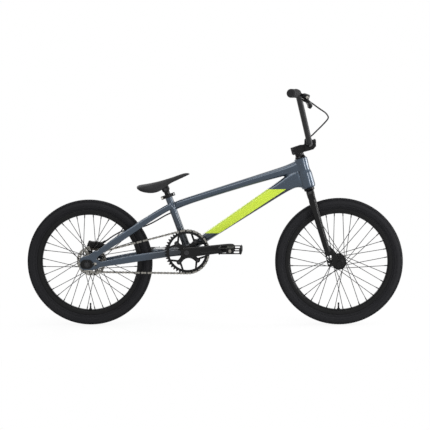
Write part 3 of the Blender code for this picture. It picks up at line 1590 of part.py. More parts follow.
def crank_arm_right():
    """The chain side arm with its spider and the spindle fixed to it."""
    obj = arm_blank("crank_arm_right", -1)
    outline = []
    for bolt in bolt_turns():
        place = on_circle(RING_BOLT_RADIUS, bolt)
        outline += arc(place, RING_TAB, bolt - math.pi / 2, bolt + math.pi / 2, 5)
        outline.append(on_circle(SPIDER_ROOT, bolt + math.pi / RING_BOLTS))
    face = CHAIN_LINE + RING_THICK / 2 + GAP
    star = plate("spider", [outline], SPIDER_THICK, side_frame(-face - SPIDER_THICK / 2))
    frame = hand_frame(BOTTOM_BRACKET, -1)
    boss = rod("boss", BOSS_RADIUS_RIGHT, ARM_INNER + BOSS_IN_ARM, face, frame)
    far_end = -ARM_INNER - ARM_THICK + SPINDLE_END
    spindle = rod("spindle", SPINDLE_RADIUS, ARM_INNER + SPINDLE_END, far_end, frame, 20)
    join(obj, star, applied(boss), applied(spindle))
    cut(obj, pedal_hole(-1))
    return placed(smooth(obj), black_alloy())


def crank_arm_left():
    obj = arm_blank("crank_arm_left", 1)
    frame = hand_frame(BOTTOM_BRACKET, 1)
    start = SHELL_HALF + GAP + CUP_REACH + ARM_TO_CUP
    join(obj, applied(rod("boss", BOSS_RADIUS_LEFT, ARM_INNER + BOSS_IN_ARM, start, frame)))
    bore = rod("bore", SPINDLE_RADIUS + GAP, ARM_INNER + ARM_THICK + PAST, 0, frame, 20)
    cut(obj, applied(bore), pedal_hole(1))
    return placed(smooth(obj), black_alloy())


def pedal_axle(side):
    """The axle that is screwed into the crank arm and carries the pedal."""
    hand = hand_of(side)
    end = PEDAL_START + PEDAL_DEPTH - PEDAL_CAP - 0.002
    collar = ARM_INNER + ARM_THICK + 0.0010
    profile = [
        (0, end),
        (PEDAL_AXLE - 0.0030, end),
        (PEDAL_AXLE - 0.0020, end - 0.001),
        (PEDAL_AXLE - 0.0010, PEDAL_START + 0.012),
        (PEDAL_AXLE, PEDAL_START + 0.008),
        (PEDAL_AXLE + PEDAL_COLLAR, PEDAL_START - 0.0015),
        (PEDAL_AXLE + PEDAL_COLLAR, collar),
        (PEDAL_AXLE, collar),
        (PEDAL_AXLE, ARM_INNER),
        (0, ARM_INNER),
    ]
    obj = applied(turned("pedal_axle_" + side, profile, hand_frame(pedal_place(hand), hand), 12))
    return placed(smooth(obj), steel())


def pedal_body(side):
    """A caged platform: rails on four sides, a barrel on the axle and open windows."""
    hand = hand_of(side)
    place = pedal_place(hand)
    middle = hand * (PEDAL_START + PEDAL_DEPTH / 2)
    long_half = PEDAL_LENGTH / 2 - PEDAL_CORNER
    thick_half = PEDAL_THICK / 2 - PEDAL_CORNER
    outline = []
    for u, v in ((1, 1), (-1, 1), (-1, -1), (1, -1)):
        start = math.atan2(v, u) - math.pi / 4
        outline += arc((u * long_half, v * thick_half), PEDAL_CORNER, start, start + math.pi / 2, 3)
    obj = plate("pedal_body_" + side, [outline], PEDAL_DEPTH, side_frame(middle, (place.x, place.z)))
    window = PEDAL_LENGTH / 2 - PEDAL_RAIL - PEDAL_BARREL
    window_size = (window, PEDAL_DEPTH - 2 * PEDAL_SIDE, 2 * PEDAL_THICK)
    slot_size = (window - 2 * PEDAL_SLOT_END, 2 * PEDAL_DEPTH, PEDAL_SLOT)
    for u in (1, -1):
        x = place.x + u * (PEDAL_BARREL + window / 2)
        cut(obj, box("window", window_size, at(x, middle, place.z)))
        for v in (1, -1):
            cut(obj, box("slot", slot_size, at(x, middle, place.z + v * PEDAL_SLOT_RISE)))
    frame = hand_frame(place, hand)
    hole = rod("bore", PEDAL_AXLE + RUNNING, PEDAL_START + PEDAL_DEPTH - PEDAL_CAP, 0, frame, 16)
    mouth = rod("mouth", PEDAL_AXLE + PEDAL_MOUTH, PEDAL_START + PEDAL_MOUTH_DEPTH, 0, frame, 16)
    cut(obj, applied(hole), applied(mouth))
    return placed(obj, black_alloy())


# Fork and steering


def fork_crown():
    """The crown with the steerer that turns in the head tube."""
    obj = loft("fork_crown", crown_rows())
    top = STEM_LOW + STEM_HEIGHT - STEERER_END
    steerer = applied(rod("steerer", STEERER_RADIUS, top, -CROWN_TOP - STEERER_SINK, head_frame(), 20))
    seat = rod("seat", CROWN_SEAT, -HEAD_LENGTH / 2 - GAP, -CROWN_TOP - CROWN_SEAT_SINK, head_frame())
    join(obj, applied(seat), steerer)
    return placed(smooth(obj), gloss_black())


def crown_rows():
    """Sections of the crown across the bike; its ends are as deep as the legs."""
    height = CROWN_LOW - CROWN_TOP
    rows = []
    for y, depth, drop, rise in CROWN:
        top = -CROWN_TOP - drop * height
        low = -CROWN_LOW + rise * height
        centre = head_point(0, (top + low) / 2, y)
        rows.append(section(centre, AHEAD, STEER, depth, top - low, CROWN_POWER, 16))
    return rows


def fork_leg(side):
    """A tapered leg with the fork end that carries the axle ahead of it."""
    hand = hand_of(side)
    rows = []
    for share, depth, width, lead in LEG:
        along = -(LEG_TOP + (LEG_LOW - LEG_TOP) * share)
        y = hand * (LEG_TOP_Y + (LEG_LOW_Y - LEG_TOP_Y) * share)
        rows.append(section(head_point(lead, along, y), AHEAD, SIDE, depth, width, 3.0, 14))
    obj = loft("fork_leg_" + side, rows)
    join(obj, fork_end(hand))
    return placed(smooth(obj), gloss_black())


def fork_end(hand):
    """The plate below the leg, with two windows and the axle's hole."""
    eye = (FORK_RAKE, 0)
    outline = [*FORK_END_BACK, *arc(eye, FORK_EYE, math.radians(205), math.radians(440), 9), *FORK_END_FRONT]
    hole = circle(eye, AXLE_RADIUS + GAP, 12)
    frame = Matrix((AHEAD, STEER, -SIDE)).transposed().to_4x4()
    frame.translation = head_point(0, -FORK_LENGTH, hand * (FRONT_WIDTH / 2 + FORK_END_THICK / 2))
    return plate("fork_end", [outline, FORK_WINDOW_REAR, FORK_WINDOW_FRONT, hole], FORK_END_THICK, frame)


def headset_bearing(name, along):
    half = BEARING_HEIGHT / 2
    obj = applied(ring(name, BEARING_OUTER, BEARING_INNER, half, -half, head_frame(along), 20))
    return placed(smooth(obj), steel())


def headset_cover():
    inner = STEERER_RADIUS + GAP
    profile = [
        (COVER_TOP_RADIUS, COVER_LOW + COVER_HEIGHT),
        (COVER_RADIUS - COVER_LIP, COVER_LOW + COVER_LIP_HEIGHT),
        (COVER_RADIUS, COVER_LOW),
        (inner, COVER_LOW),
        (inner, COVER_LOW + COVER_HEIGHT),
    ]
    return placed(smooth(applied(turned("headset_cover", profile, head_frame(), ring=True))), black_alloy())


def headset_spacer():
    top = SPACER_LOW + SPACER_HEIGHT
    obj = ring("headset_spacer", SPACER_RADIUS, STEERER_RADIUS + GAP, top, SPACER_LOW, head_frame(), 20)
    return placed(smooth(applied(obj)), black_alloy())


def stem_outline():
    """The stem's side: its clamp on the steerer at the rear, and a half cradle for the bar in front."""
    split = BAR.z - BAR_SPLIT / 2
    points = [head_point(ahead, STEM_LOW + up) for ahead, up in (*STEM_REAR, *STEM_CHIN)]
    outline = [(point.x, point.z) for point in points]
    outline += [(BAR.x + CLAMP_FRONT, BAR.z - STEM_NOSE_DROP), (BAR.x + CLAMP_FRONT, split)]
    cradle = arc((BAR.x, BAR.z), BAR_RADIUS + GAP, 0, -math.pi, 10)
    outline += [(x, min(z, split)) for x, z in cradle]
    top, rear_top = [head_point(ahead, STEM_LOW + STEM_HEIGHT + up) for ahead, up in STEM_TOP]
    outline += [(BAR.x - CLAMP_BACK, split), (BAR.x - CLAMP_BACK - STEM_NECK_BACK, top.z + STEM_NECK_RISE)]
    outline += [(top.x, top.z), (rear_top.x, rear_top.z)]
    return outline


def stem():
    """A top loading stem, slotted behind the steerer and relieved on both flanks."""
    obj = plate("stem", [stem_outline()], STEM_WIDTH, side_frame(0))
    middle = STEM_LOW + STEM_MIDDLE
    bore = rod("bore", STEERER_RADIUS + GAP, STEM_LOW + STEM_HEIGHT + PAST, 0, head_frame())
    slot = box("slot", STEM_SLOT, head_frame(middle, -PAST))
    cut(obj, applied(bore), slot)
    for hand in (-1, 1):
        y = hand * (STEM_WIDTH / 2 - STEM_RELIEF_DEPTH + STEM_RELIEF[1] / 2)
        cut(obj, box("relief", STEM_RELIEF, head_frame(middle, STEM_TOP[0][0], y)))
    return placed(obj, black_alloy())


def stem_clamp_plate():
    """The plate that holds the bar down in the stem, with its four bolt heads."""
    low = BAR.z + BAR_SPLIT / 2
    back = BAR.x - CLAMP_BACK
    front = BAR.x + CLAMP_FRONT
    outline = [(back, low)]
    outline += [(x, max(z, low)) for x, z in arc((BAR.x, BAR.z), BAR_RADIUS + GAP, math.pi, 0, 10)]
    outline += [(front, low), (front, low + CLAMP_EDGE)]
    outline += [(BAR.x + ahead, low + up) for ahead, up in CLAMP_LINE]
    outline += [(back, low + CLAMP_EDGE)]
    obj = plate("stem_clamp_plate", [outline], STEM_WIDTH, side_frame(0))
    for x in (back + CLAMP_BOLT_BACK, front - CLAMP_BOLT_FRONT):
        for y in (-CLAMP_BOLT_Y, CLAMP_BOLT_Y):
            head = rod("head", CLAMP_BOLT_RADIUS, low + CLAMP_BOLT_TOP, low + CLAMP_BOLT_LOW, at(x, y, 0), 10)
            join(obj, applied(head))
    return placed(obj, black_alloy())


def steerer_cap():
    top = STEM_LOW + STEM_HEIGHT - CAP_SINK
    obj = rod("steerer_cap", STEERER_RADIUS - CAP_ROOM, top, top - CAP_THICK, head_frame())
    return placed(smooth(applied(obj)), black_alloy())


def bar_frame():
    """The bar's own plane: x across the bike, y up the rise and z to the front."""
    up = Vector((-math.sin(BAR_LEAN), 0, math.cos(BAR_LEAN)))
    front = Vector((math.cos(BAR_LEAN), 0, math.sin(BAR_LEAN)))
    frame = Matrix((SIDE, up, front)).transposed().to_4x4()
    frame.translation = BAR
    return frame


def bar_grip_dir():
    """The direction of the right grip, outwards, in the bar's plane."""
    sweep = Vector((-math.cos(BAR_BACKSWEEP), math.sin(BAR_UPSWEEP), -math.sin(BAR_BACKSWEEP)))
    return sweep.normalized()


def bend_high():
    """How far out the upper bend's corner is, for the bend to end beside the lever's clamp."""
    limit = LEVER_AT - LEVER_CLAMP_HALF
    found = limit
    for step in range(12):
        found = limit - BAR_BEND_RADIUS * math.tan(math.atan2(BAR_RISE, found - BAR_BEND_LOW) / 2)
    return found


BAR_BEND_HIGH = bend_high()


def bar_corners():
    """The right half's corners from the clamp's centre to the bar's end."""
    high = Vector((-BAR_BEND_HIGH, BAR_RISE, 0))
    run = bar_grip_dir()
    end = high + run * ((BAR_HALF - BAR_BEND_HIGH) / -run.x)
    return [Vector((0, 0, 0)), Vector((-BAR_BEND_LOW, 0, 0)), high, end]


def rounded(points, radius, count):
    """The line with each inner corner made an arc."""
    made = [points[0]]
    for before, corner, after in zip(points, points[1:], points[2:]):
        first = (before - corner).normalized()
        last = (after - corner).normalized()
        angle = first.angle(last) / 2
        away = radius / math.tan(angle)
        centre = corner + (first + last).normalized() * (radius / math.sin(angle))
        start = corner + first * away - centre
        end = corner + last * away - centre
        for i in range(count):
            made.append(centre + start.slerp(end, i / (count - 1)) * radius)
    made.append(points[-1])
    return made


def handlebar():
    frame = bar_frame()
    right = rounded(bar_corners(), BAR_BEND_RADIUS, 5)
    left = [Vector((-p.x, p.y, p.z)) for p in reversed(right[1:])]
    points = [frame @ p for p in left + right]
    obj = as_mesh(tube("handlebar", points, BAR_RADIUS, 3))
    cross = CROSSBAR_HEIGHT / BAR_RISE
    half = BAR_BEND_LOW + (BAR_BEND_HIGH - BAR_BEND_LOW) * cross
    ends = [frame @ Vector((u * half, CROSSBAR_HEIGHT, 0)) for u in (-1, 1)]
    crossbar = as_mesh(tube("crossbar", ends, CROSSBAR_RADIUS, 2))
    join(obj, crossbar)
    return placed(smooth(obj), black_alloy())


def grip_frame(hand, outwards):
    """A frame at a distance from the bar's end, its Z outwards along the grip."""
    frame = bar_frame()
    run = bar_grip_dir()
    end = bar_corners()[-1]
    place = end + run * outwards
    if hand > 0:
        run = Vector((-run.x, run.y, run.z))
        place = Vector((-place.x, place.y, place.z))
    return turned_frame(frame @ place, frame.to_3x3() @ run, UP)


def grip(side):
    sides = 12
    inner = (BAR_RADIUS + GAP) / math.cos(math.pi / sides)
    profile = [(0, GRIP_CAP), (GRIP_RADIUS - GRIP_CAP_EDGE, GRIP_CAP), (GRIP_RADIUS, GRIP_CAP - 0.0025)]
    for i in range(1, 3):
        low = -GRIP_LENGTH * i / 3
        profile += [(GRIP_RADIUS, low + GRIP_BAND), (GRIP_RADIUS - GRIP_LIP, low)]
        profile += [(GRIP_RADIUS, low - GRIP_BAND)]
    lip = GRIP_RADIUS + GRIP_LIP
    profile += [(GRIP_RADIUS, -GRIP_LENGTH + GRIP_BAND), (lip, -GRIP_LENGTH + GRIP_LIP_LENGTH)]
    profile += [(lip, -GRIP_LENGTH), (inner, -GRIP_LENGTH), (inner, GAP), (0, GAP)]
    obj = applied(turned("grip_" + side, profile, grip_frame(hand_of(side), 0), sides))
    return placed(smooth(obj), soft_rubber())


def lever_frame(drop, along=0.0, ahead=0.0):
    """The lever's frame: x outwards along the bar, y ahead of it and down by the angle, z square to both."""
    frame = bar_frame()
    run = bar_grip_dir()
    start = bar_corners()[2]
    place = frame @ (start + run * ((LEVER_AT - BAR_BEND_HIGH) / -run.x))
    out = (frame.to_3x3() @ run).normalized()
    forward = Vector((math.cos(drop), 0, -math.sin(drop)))
    forward = (forward - out * forward.dot(out)).normalized()
    made = Matrix((out, forward, out.cross(forward).normalized())).transposed().to_4x4()
    made.translation = place + out * along + forward * ahead
    return made


def lever_port(distance):
    """A point on the hose's line out of the inboard end of the lever's body."""
    return lever_frame(BODY_DROP, -BODY_INBOARD - distance, PORT_AHEAD).translation


def brake_lever_body():
    """The clamp round the bar, the cylinder ahead of it and the fork for the blade."""
    frame = lever_frame(BODY_DROP)
    band = turned_frame(frame.translation, frame.to_3x3() @ FORWARD, frame.to_3x3() @ SIDE)
    outer = BAR_RADIUS + LEVER_CLAMP_WALL
    obj = ring("brake_lever_body", outer, BAR_RADIUS + GAP, LEVER_CLAMP_HALF, -LEVER_CLAMP_HALF, band, 20)
    applied(obj)
    neck = box("neck", LEVER_NECK, lever_frame(BODY_DROP, 0, LEVER_NECK_AHEAD))
    size = (BODY_INBOARD + BODY_OUTBOARD, BODY_DEPTH, BODY_HEIGHT)
    body = box("body", size, lever_frame(BODY_DROP, (BODY_OUTBOARD - BODY_INBOARD) / 2, BODY_AHEAD))
    bevelled(body, BODY_EDGE, 1)
    applied(body)
    out, ahead = LEVER_PIVOT
    fork = box("fork", LEVER_FORK, lever_frame(LEVER_DROP, out, ahead + 0.0005))
    join(obj, neck, body, fork)
    slot_frame = lever_frame(LEVER_DROP, out + LEVER_SLOT_OUT, ahead + LEVER_SLOT_AHEAD)
    cut(obj, box("slot", (*LEVER_SLOT, LEVER_BLADE + 2 * GAP), slot_frame))
    return placed(smooth(obj), black_alloy())


def brake_lever_blade():
    """The blade that the fingers pull, hooked at its tip."""
    x0, y0 = LEVER_PIVOT
    front = [(x0 + x, y0 + y + width / 2) for x, y, width in BLADE]
    back = [(x0 + x, y0 + y - width / 2) for x, y, width in reversed(BLADE)]
    obj = plate("brake_lever_blade", [front + back], LEVER_BLADE, lever_frame(LEVER_DROP))
    return placed(obj, black_alloy())


def front_axle():
    """The front axle with the nuts that hold the fork ends."""
    obj = axle("front_axle", FRONT_AXLE, FRONT_WIDTH, FORK_END_THICK, FRONT_AXLE_REACH)
    for hand in (-1, 1):
        place = hand * (FRONT_WIDTH / 2 + FORK_END_THICK + GAP + FRONT_NUT_THICK / 2)
        frame = side_frame(place, (FRONT_AXLE.x, FRONT_AXLE.z))
        join(obj, plate("nut", [hexagon(NUT_FLATS)], FRONT_NUT_THICK, frame))
    return placed(obj, black_alloy())


def rear_axle():
    grip_depth = DROPOUT_THICK + TENSIONER_THICK + GAP
    obj = axle("rear_axle", REAR_AXLE, REAR_WIDTH, grip_depth, REAR_AXLE_REACH)
    return placed(smooth(obj), steel())


def clear_scene():
    for obj in list(bpy.data.objects):
        bpy.data.objects.remove(obj)


def build_frame():
    head_tube()
    top_tube()
    down_tube()
    seat_tube()
    bottom_bracket_shell()
    bottom_bracket_cup("bottom_bracket_cup_right", -1)
    bottom_bracket_cup("bottom_bracket_cup_left", 1)
    for side in ("right", "left"):
        chainstay(side)
        seatstay(side)
        dropout(side)
        chain_tensioner(side)
    bearing_at = HEAD_LENGTH / 2 - BEARING_SINK - BEARING_HEIGHT / 2
    headset_bearing("headset_bearing_upper", bearing_at)
    headset_bearing("headset_bearing_lower", -bearing_at)
    rear_axle()
    start = REAR_WIDTH / 2 + DROPOUT_THICK + TENSIONER_THICK + GAP
    axle_nut("axle_nut_right", REAR_AXLE, -1, start)
    axle_nut("axle_nut_left", REAR_AXLE, 1, start)
    brake_caliper()
    brake_hose_rear()
    chain()


def build_seat():
    seat_clamp()
    seat_clamp_bolt()
    slide = empty("seat_height_axis", seat_point(SEAT_TUBE_LENGTH))
    tilt = empty("saddle_tilt_axis", seat_point(PIVOT))
    parent(tilt, slide)
    parent(seat_post(), slide)
    parent(saddle(), tilt)
    parent(saddle_bolt(), tilt)


def build_wheels():
    front = empty("front_wheel_axis", FRONT_AXLE)
    rear = empty("rear_wheel_axis", REAR_AXLE)
    end = FRONT_WIDTH / 2 - HUB_END_ROOM
    pieces = [tyre("tyre_front", FRONT_AXLE), rim("rim_front", FRONT_AXLE)]
    pieces.append(hub("hub_front", FRONT_AXLE, (FRONT_FLANGE, FRONT_FLANGE), (end, end)))
    for piece in pieces:
        parent(piece, front)
    ends = (CHAIN_LINE - COG_BODY_IN - 2 * GAP, ROTOR_Y - ROTOR_THICK / 2 - GAP)
    pieces = [tyre("tyre_rear", REAR_AXLE), rim("rim_rear", REAR_AXLE)]
    pieces += [hub("hub_rear", REAR_AXLE, (REAR_FLANGE_RIGHT, REAR_FLANGE_LEFT), ends), rotor()]
    for piece in pieces:
        parent(piece, rear)
    parent(cog(), empty("cog_axis", REAR_AXLE))
    brake_pad("brake_pad_inner", -1)
    brake_pad("brake_pad_outer", 1)


def build_drive():
    crank = empty("crank_axis", (0, 0, 0))
    for piece in (crank_arm_right(), crank_arm_left(), chainring()):
        parent(piece, crank)
    for side in ("right", "left"):
        parent(pedal_axle(side), crank)
        turn = empty("pedal_axis_" + side, pedal_place(hand_of(side)))
        parent(turn, crank)
        parent(pedal_body(side), turn)


def build_steering():
    steering = empty("steering_axis", HEAD)
    pieces = [fork_crown(), fork_leg("right"), fork_leg("left"), headset_cover(), headset_spacer()]
    pieces += [stem(), stem_clamp_plate(), steerer_cap(), handlebar(), grip("right"), grip("left")]
    pieces += [brake_lever_body(), front_axle(), brake_hose_front()]
    for piece in pieces:
        parent(piece, steering)
    pivot = lever_frame(LEVER_DROP, LEVER_PIVOT[0], LEVER_PIVOT[1]).translation
    lever = parent(empty("lever_axis", pivot), steering)
    parent(brake_lever_blade(), lever)


def main():
    clear_scene()
    build_frame()
    build_seat()
    build_wheels()
    build_drive()
    build_steering()


if __name__ == "__main__":
    main()
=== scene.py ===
"""The finished look of a BMX race bike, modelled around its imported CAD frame.

Metres, +Z up, the bottom bracket at the origin, +X to the front wheel, the chain side to -Y.
"""

import json
import math

import bmesh
import bpy
from mathutils import Matrix, Vector


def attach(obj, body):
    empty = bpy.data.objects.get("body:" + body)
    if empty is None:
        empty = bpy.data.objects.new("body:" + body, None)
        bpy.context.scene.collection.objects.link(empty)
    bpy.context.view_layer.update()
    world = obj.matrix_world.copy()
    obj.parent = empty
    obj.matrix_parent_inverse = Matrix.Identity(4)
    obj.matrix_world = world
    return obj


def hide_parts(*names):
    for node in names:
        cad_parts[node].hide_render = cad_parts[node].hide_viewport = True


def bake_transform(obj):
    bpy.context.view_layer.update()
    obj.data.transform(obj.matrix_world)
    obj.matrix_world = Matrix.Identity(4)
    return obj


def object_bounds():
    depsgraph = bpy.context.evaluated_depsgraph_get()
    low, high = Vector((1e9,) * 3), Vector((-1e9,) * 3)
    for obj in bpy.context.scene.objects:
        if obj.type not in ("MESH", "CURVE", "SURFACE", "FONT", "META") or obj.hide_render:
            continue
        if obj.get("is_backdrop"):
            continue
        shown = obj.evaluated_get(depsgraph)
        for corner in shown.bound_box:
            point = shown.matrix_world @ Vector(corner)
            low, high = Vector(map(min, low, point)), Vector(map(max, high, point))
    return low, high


bl_info = {
    "name": "BMX race bike",
    "version": (1, 0, 0),
    "blender": (4, 5, 0),
    "location": "View3D > Sidebar > Bike",
    "description": "Models and paints the visible pieces of a BMX race bike",
    "category": "Object",
}

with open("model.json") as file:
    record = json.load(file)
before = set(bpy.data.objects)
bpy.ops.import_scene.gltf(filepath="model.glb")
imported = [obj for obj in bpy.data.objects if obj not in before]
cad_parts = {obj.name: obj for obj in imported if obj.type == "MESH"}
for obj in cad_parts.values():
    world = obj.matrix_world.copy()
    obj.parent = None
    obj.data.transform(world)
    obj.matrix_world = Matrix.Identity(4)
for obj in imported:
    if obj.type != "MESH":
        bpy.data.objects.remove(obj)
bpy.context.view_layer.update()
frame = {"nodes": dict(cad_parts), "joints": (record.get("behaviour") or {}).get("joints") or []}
JOINT = {joint["name"]: joint for joint in frame["joints"]}


def joint_point(name):
    return Vector(JOINT[name]["pos_m"])


def joint_axis(name):
    return Vector(JOINT[name]["axis"]).normalized()


# Places and directions that the frame's joints give
ACROSS = Vector((0, 1, 0))
FORWARD = Vector((1, 0, 0))
UP = Vector((0, 0, 1))
HEAD = joint_point("steering")
STEER = joint_axis("steering")
AHEAD = Vector((STEER.z, 0, -STEER.x))
FRONT_AXLE = joint_point("front_wheel_spin")
REAR_AXLE = joint_point("rear_wheel_spin")
SEAT_DIR = joint_axis("seat_height")
SEAT_BACK = Vector((-SEAT_DIR.z, 0, SEAT_DIR.x))
SADDLE_PIVOT = joint_point("saddle_tilt")
PEDAL = {"right": joint_point("pedal_right_spin"), "left": joint_point("pedal_left_spin")}
HAND = {"right": -1, "left": 1}
GAP = 0.0003

# Frame tubes
HEAD_HALF = 0.060
HEAD_BORE = 0.0178
HEAD_SEAT = 0.0208
HEAD_SEAT_DEPTH = 0.0086
SHELL_HALF = 0.034
SHELL_RADIUS = 0.0225
SHELL_BORE = 0.0175
SEAT_TUBE_RADIUS = 0.0148
SEAT_TUBE_LENGTH = 0.2355
POST_RADIUS = 0.0111
POST_IN_TUBE = 0.120
DROPOUT_THICK = 0.0066
SLOT_AHEAD = 0.030
REAR_WIDTH = 0.110
SLOT_END = 0.0072

# Each station is the tube's low edge, its high edge, its place across the bike and its width
TOP_TUBE = (
    ((-0.0450, 0.1615), (-0.0550, 0.1935), 0, 0.028),
    ((-0.0330, 0.1670), (-0.0410, 0.1990), 0, 0.032),
    ((0.0120, 0.1850), (0.0030, 0.2129), 0, 0.033),
    ((0.1250, 0.2195), (0.1160, 0.2484), 0, 0.035),
    ((0.2500, 0.2565), (0.2400, 0.2873), 0, 0.038),
    ((0.3700, 0.2882), (0.3580, 0.3243), 0, 0.040),
    ((0.4050, 0.2965), (0.3950, 0.3368), 0, 0.041),
    ((0.4400, 0.3040), (0.4230, 0.3510), 0, 0.041),
    ((0.4560, 0.3060), (0.4400, 0.3560), 0, 0.036),
)
DOWN_TUBE = (
    ((0.0060, -0.0100), (-0.0130, 0.0150), 0, 0.044),
    ((0.0147, -0.0045), (-0.0047, 0.0208), 0, 0.048),
    ((0.0780, 0.0364), (0.0590, 0.0665), 0, 0.050),
    ((0.1600, 0.0870), (0.1380, 0.1205), 0, 0.047),
    ((0.2500, 0.1426), (0.2250, 0.1806), 0, 0.045),
    ((0.3350, 0.1951), (0.3080, 0.2379), 0, 0.043),
    ((0.3830, 0.2247), (0.3550, 0.2703), 0, 0.042),
    ((0.4130, 0.2400), (0.3850, 0.2920), 0, 0.042),
    ((0.4330, 0.2472), (0.4020, 0.3050), 0, 0.042),
    ((0.4520, 0.2430), (0.4200, 0.3150), 0, 0.042),
    ((0.4620, 0.2440), (0.4340, 0.3200), 0, 0.038),
)
CHAINSTAY = (
    ((-0.0060, -0.0160), (-0.0060, 0.0140), 0.0225, 0.018),
    ((-0.0140, -0.0180), (-0.0140, 0.0150), 0.0235, 0.018),
    ((-0.0560, -0.0200), (-0.0540, 0.0115), 0.0290, 0.016),
    ((-0.1015, -0.0258), (-0.0985, 0.0055), 0.0345, 0.0135),
    ((-0.1515, -0.0332), (-0.1485, -0.0006), 0.0405, 0.0135),
    ((-0.2070, -0.0408), (-0.2040, -0.0074), 0.0470, 0.0125),
    ((-0.2630, -0.0486), (-0.2590, -0.0178), 0.0535, 0.0110),
    ((-0.3320, -0.0570), (-0.3290, -0.0320), 0.0583, 0.0072),
    ((-0.3620, -0.0615), (-0.3580, -0.0370), 0.0583, 0.0066),
)
SEATSTAY = (
    ((-0.0500, 0.1690), (-0.0590, 0.1940), 0.0090, 0.0150),
    ((-0.0600, 0.1650), (-0.0700, 0.1900), 0.0120, 0.0150),
    ((-0.0997, 0.1440), (-0.1120, 0.1674), 0.0205, 0.0150),
    ((-0.1480, 0.1140), (-0.1630, 0.1365), 0.0330, 0.0135),
    ((-0.2030, 0.0775), (-0.2240, 0.0980), 0.0425, 0.0130),
    ((-0.2470, 0.0478), (-0.2650, 0.0715), 0.0485, 0.0120),
    ((-0.2880, 0.0220), (-0.3060, 0.0446), 0.0535, 0.0105),
    ((-0.3220, 0.0020), (-0.3420, 0.0175), 0.0583, 0.0072),
    ((-0.3500, -0.0165), (-0.3700, -0.0015), 0.0583, 0.0066),
)
DROPOUT_REAR = -0.4225
DROPOUT_OUTLINE = (
    (DROPOUT_REAR, -0.0290), (-0.4205, -0.0210), (-0.4120, -0.0160), (-0.3900, -0.0110),
    (-0.3740, -0.0005), (-0.3600, 0.0095), (-0.3520, 0.0030), (-0.3430, -0.0100),
    (-0.3530, -0.0190), (-0.3560, -0.0250), (-0.3490, -0.0305), (-0.3420, -0.0335),
    (-0.3420, -0.0580), (-0.3570, -0.0655), (-0.3730, -0.0700), (-0.4060, -0.0700),
    (-0.4185, -0.0645), (DROPOUT_REAR, -0.0570),
)
BRIDGE_BOX = ((-0.138, -0.034, -0.006), (-0.092, 0.034, 0.0095))

# Paint panel on the down tube, in the side view
PANEL_LOW = 0.0703
PANEL_HIGH = 0.2412
PANEL_REAR = 0.0300
PANEL_LINE_START = Vector((0.0950, 0, PANEL_LOW))
PANEL_LINE_END = Vector((0.3585, 0, PANEL_HIGH))
PANEL_EDGE = 0.0165
PANEL_TOP = 0.0400

# Frame paint: its flakes, and painted shade that darkens it towards the bottom bracket, where the chainring
# shades the tubes
FLAKE_SCALE = 2600.0
PAINTED_SHADE_SLOPE = 7.5
PAINTED_SHADE_START = -0.35
PAINTED_SHADE_DEPTH = 0.30

# Wheels
TYRE_RADIUS = 0.2498
TYRE_HALF = 0.0240
TYRE_WALL = 0.0038
TYRE_BEAD = 0.0122
TREAD_REACH = math.radians(58)
RIM_OUTER = 0.2085
RIM_INNER = 0.1893
RIM_HALF = 0.0150
RIM_WALL = 0.0020
WHEEL_STEPS = 144
SPOKES_PER_SIDE = 18
SPOKE_HEAD_OUT = 0.0026
SPOKE_CROSS = math.radians(60)
SPOKE_TURN = math.radians(-85)
NIPPLE_RADIUS = 0.0021
NIPPLE_LENGTH = 0.0120
FLANGE_HOLES = 0.0255
FLANGE_RADIUS = 0.0285
FLANGE_THICK = 0.003
HUB_BARREL = 0.016
FRONT_WIDTH = 0.100
FRONT_FLANGE = 0.031
REAR_FLANGE_RIGHT = 0.025
REAR_FLANGE_LEFT = 0.026
AXLE_RADIUS = 0.005
VALVE_LENGTH = 0.030

# Drive
CHAIN_LINE = 0.044
CHAIN_PITCH = 0.0127
CHAIN_HALF_WIDTH = 0.0039
RING_TEETH = 42
COG_TEETH = 16
RING_THICK = 0.0026
TOOTH_HEIGHT = 0.0036
ROOT_DEPTH = 0.0042
RING_BOLT_RADIUS = 0.052
RING_WINDOW = 0.0715
RING_TAB = 0.0085
RING_SHOULDER = math.radians(27)
SPIDER_HALF = 0.0082
SPIDER_FILLET = 0.0300
SPIDER_THICK = 0.0062
CRANK_TILT = math.atan2(PEDAL["right"].z, PEDAL["right"].x)
ARM_INNER = 0.0600
ARM_THICK = 0.0150
SPINDLE_RADIUS = 0.012
CUP_REACH = 0.0062
# Distance from the spindle, height and width of each station of a crank arm
ARM = (
    (-0.0205, 0.0200, 0.0140), (-0.0150, 0.0340, 0.0152), (-0.0060, 0.0420, 0.0158),
    (0.0120, 0.0435, 0.0160), (0.0450, 0.0375, 0.0155), (0.1000, 0.0357, 0.0150),
    (0.1630, 0.0350, 0.0145), (0.1810, 0.0310, 0.0142), (0.1880, 0.0220, 0.0130),
    (0.1905, 0.0120, 0.0110),
)
PEDAL_LENGTH = 0.090
PEDAL_DEPTH = 0.096
PEDAL_THICK = 0.0235
PEDAL_START = 0.0860
PEDAL_AXLE = 0.0070
PEDAL_RAIL = 0.0080
PEDAL_BARREL = 0.0125

# Fork, stem and bar
STEERER_RADIUS = 0.0143
CROWN_TOP = 0.0667
CROWN_LOW = 0.1060
CROWN_SEAT = 0.0205
LEG_TOP_Y = 0.0430
LEG_LOW_Y = 0.0560
LEG_LOW = 0.3280
FORK_END_THICK = 0.0060
FORK_GRID = 0.0013
# Share of the leg's length, depth, width across the bike and lead ahead of the steering axis
LEG = (
    (-0.05, 0.0300, 0.0200, 0), (0.05, 0.0304, 0.0200, 0), (0.25, 0.0290, 0.0195, 0.0002),
    (0.50, 0.0262, 0.0180, 0.0004), (0.85, 0.0245, 0.0135, 0.0017), (1.0, 0.0240, 0.0110, 0.0026),
)
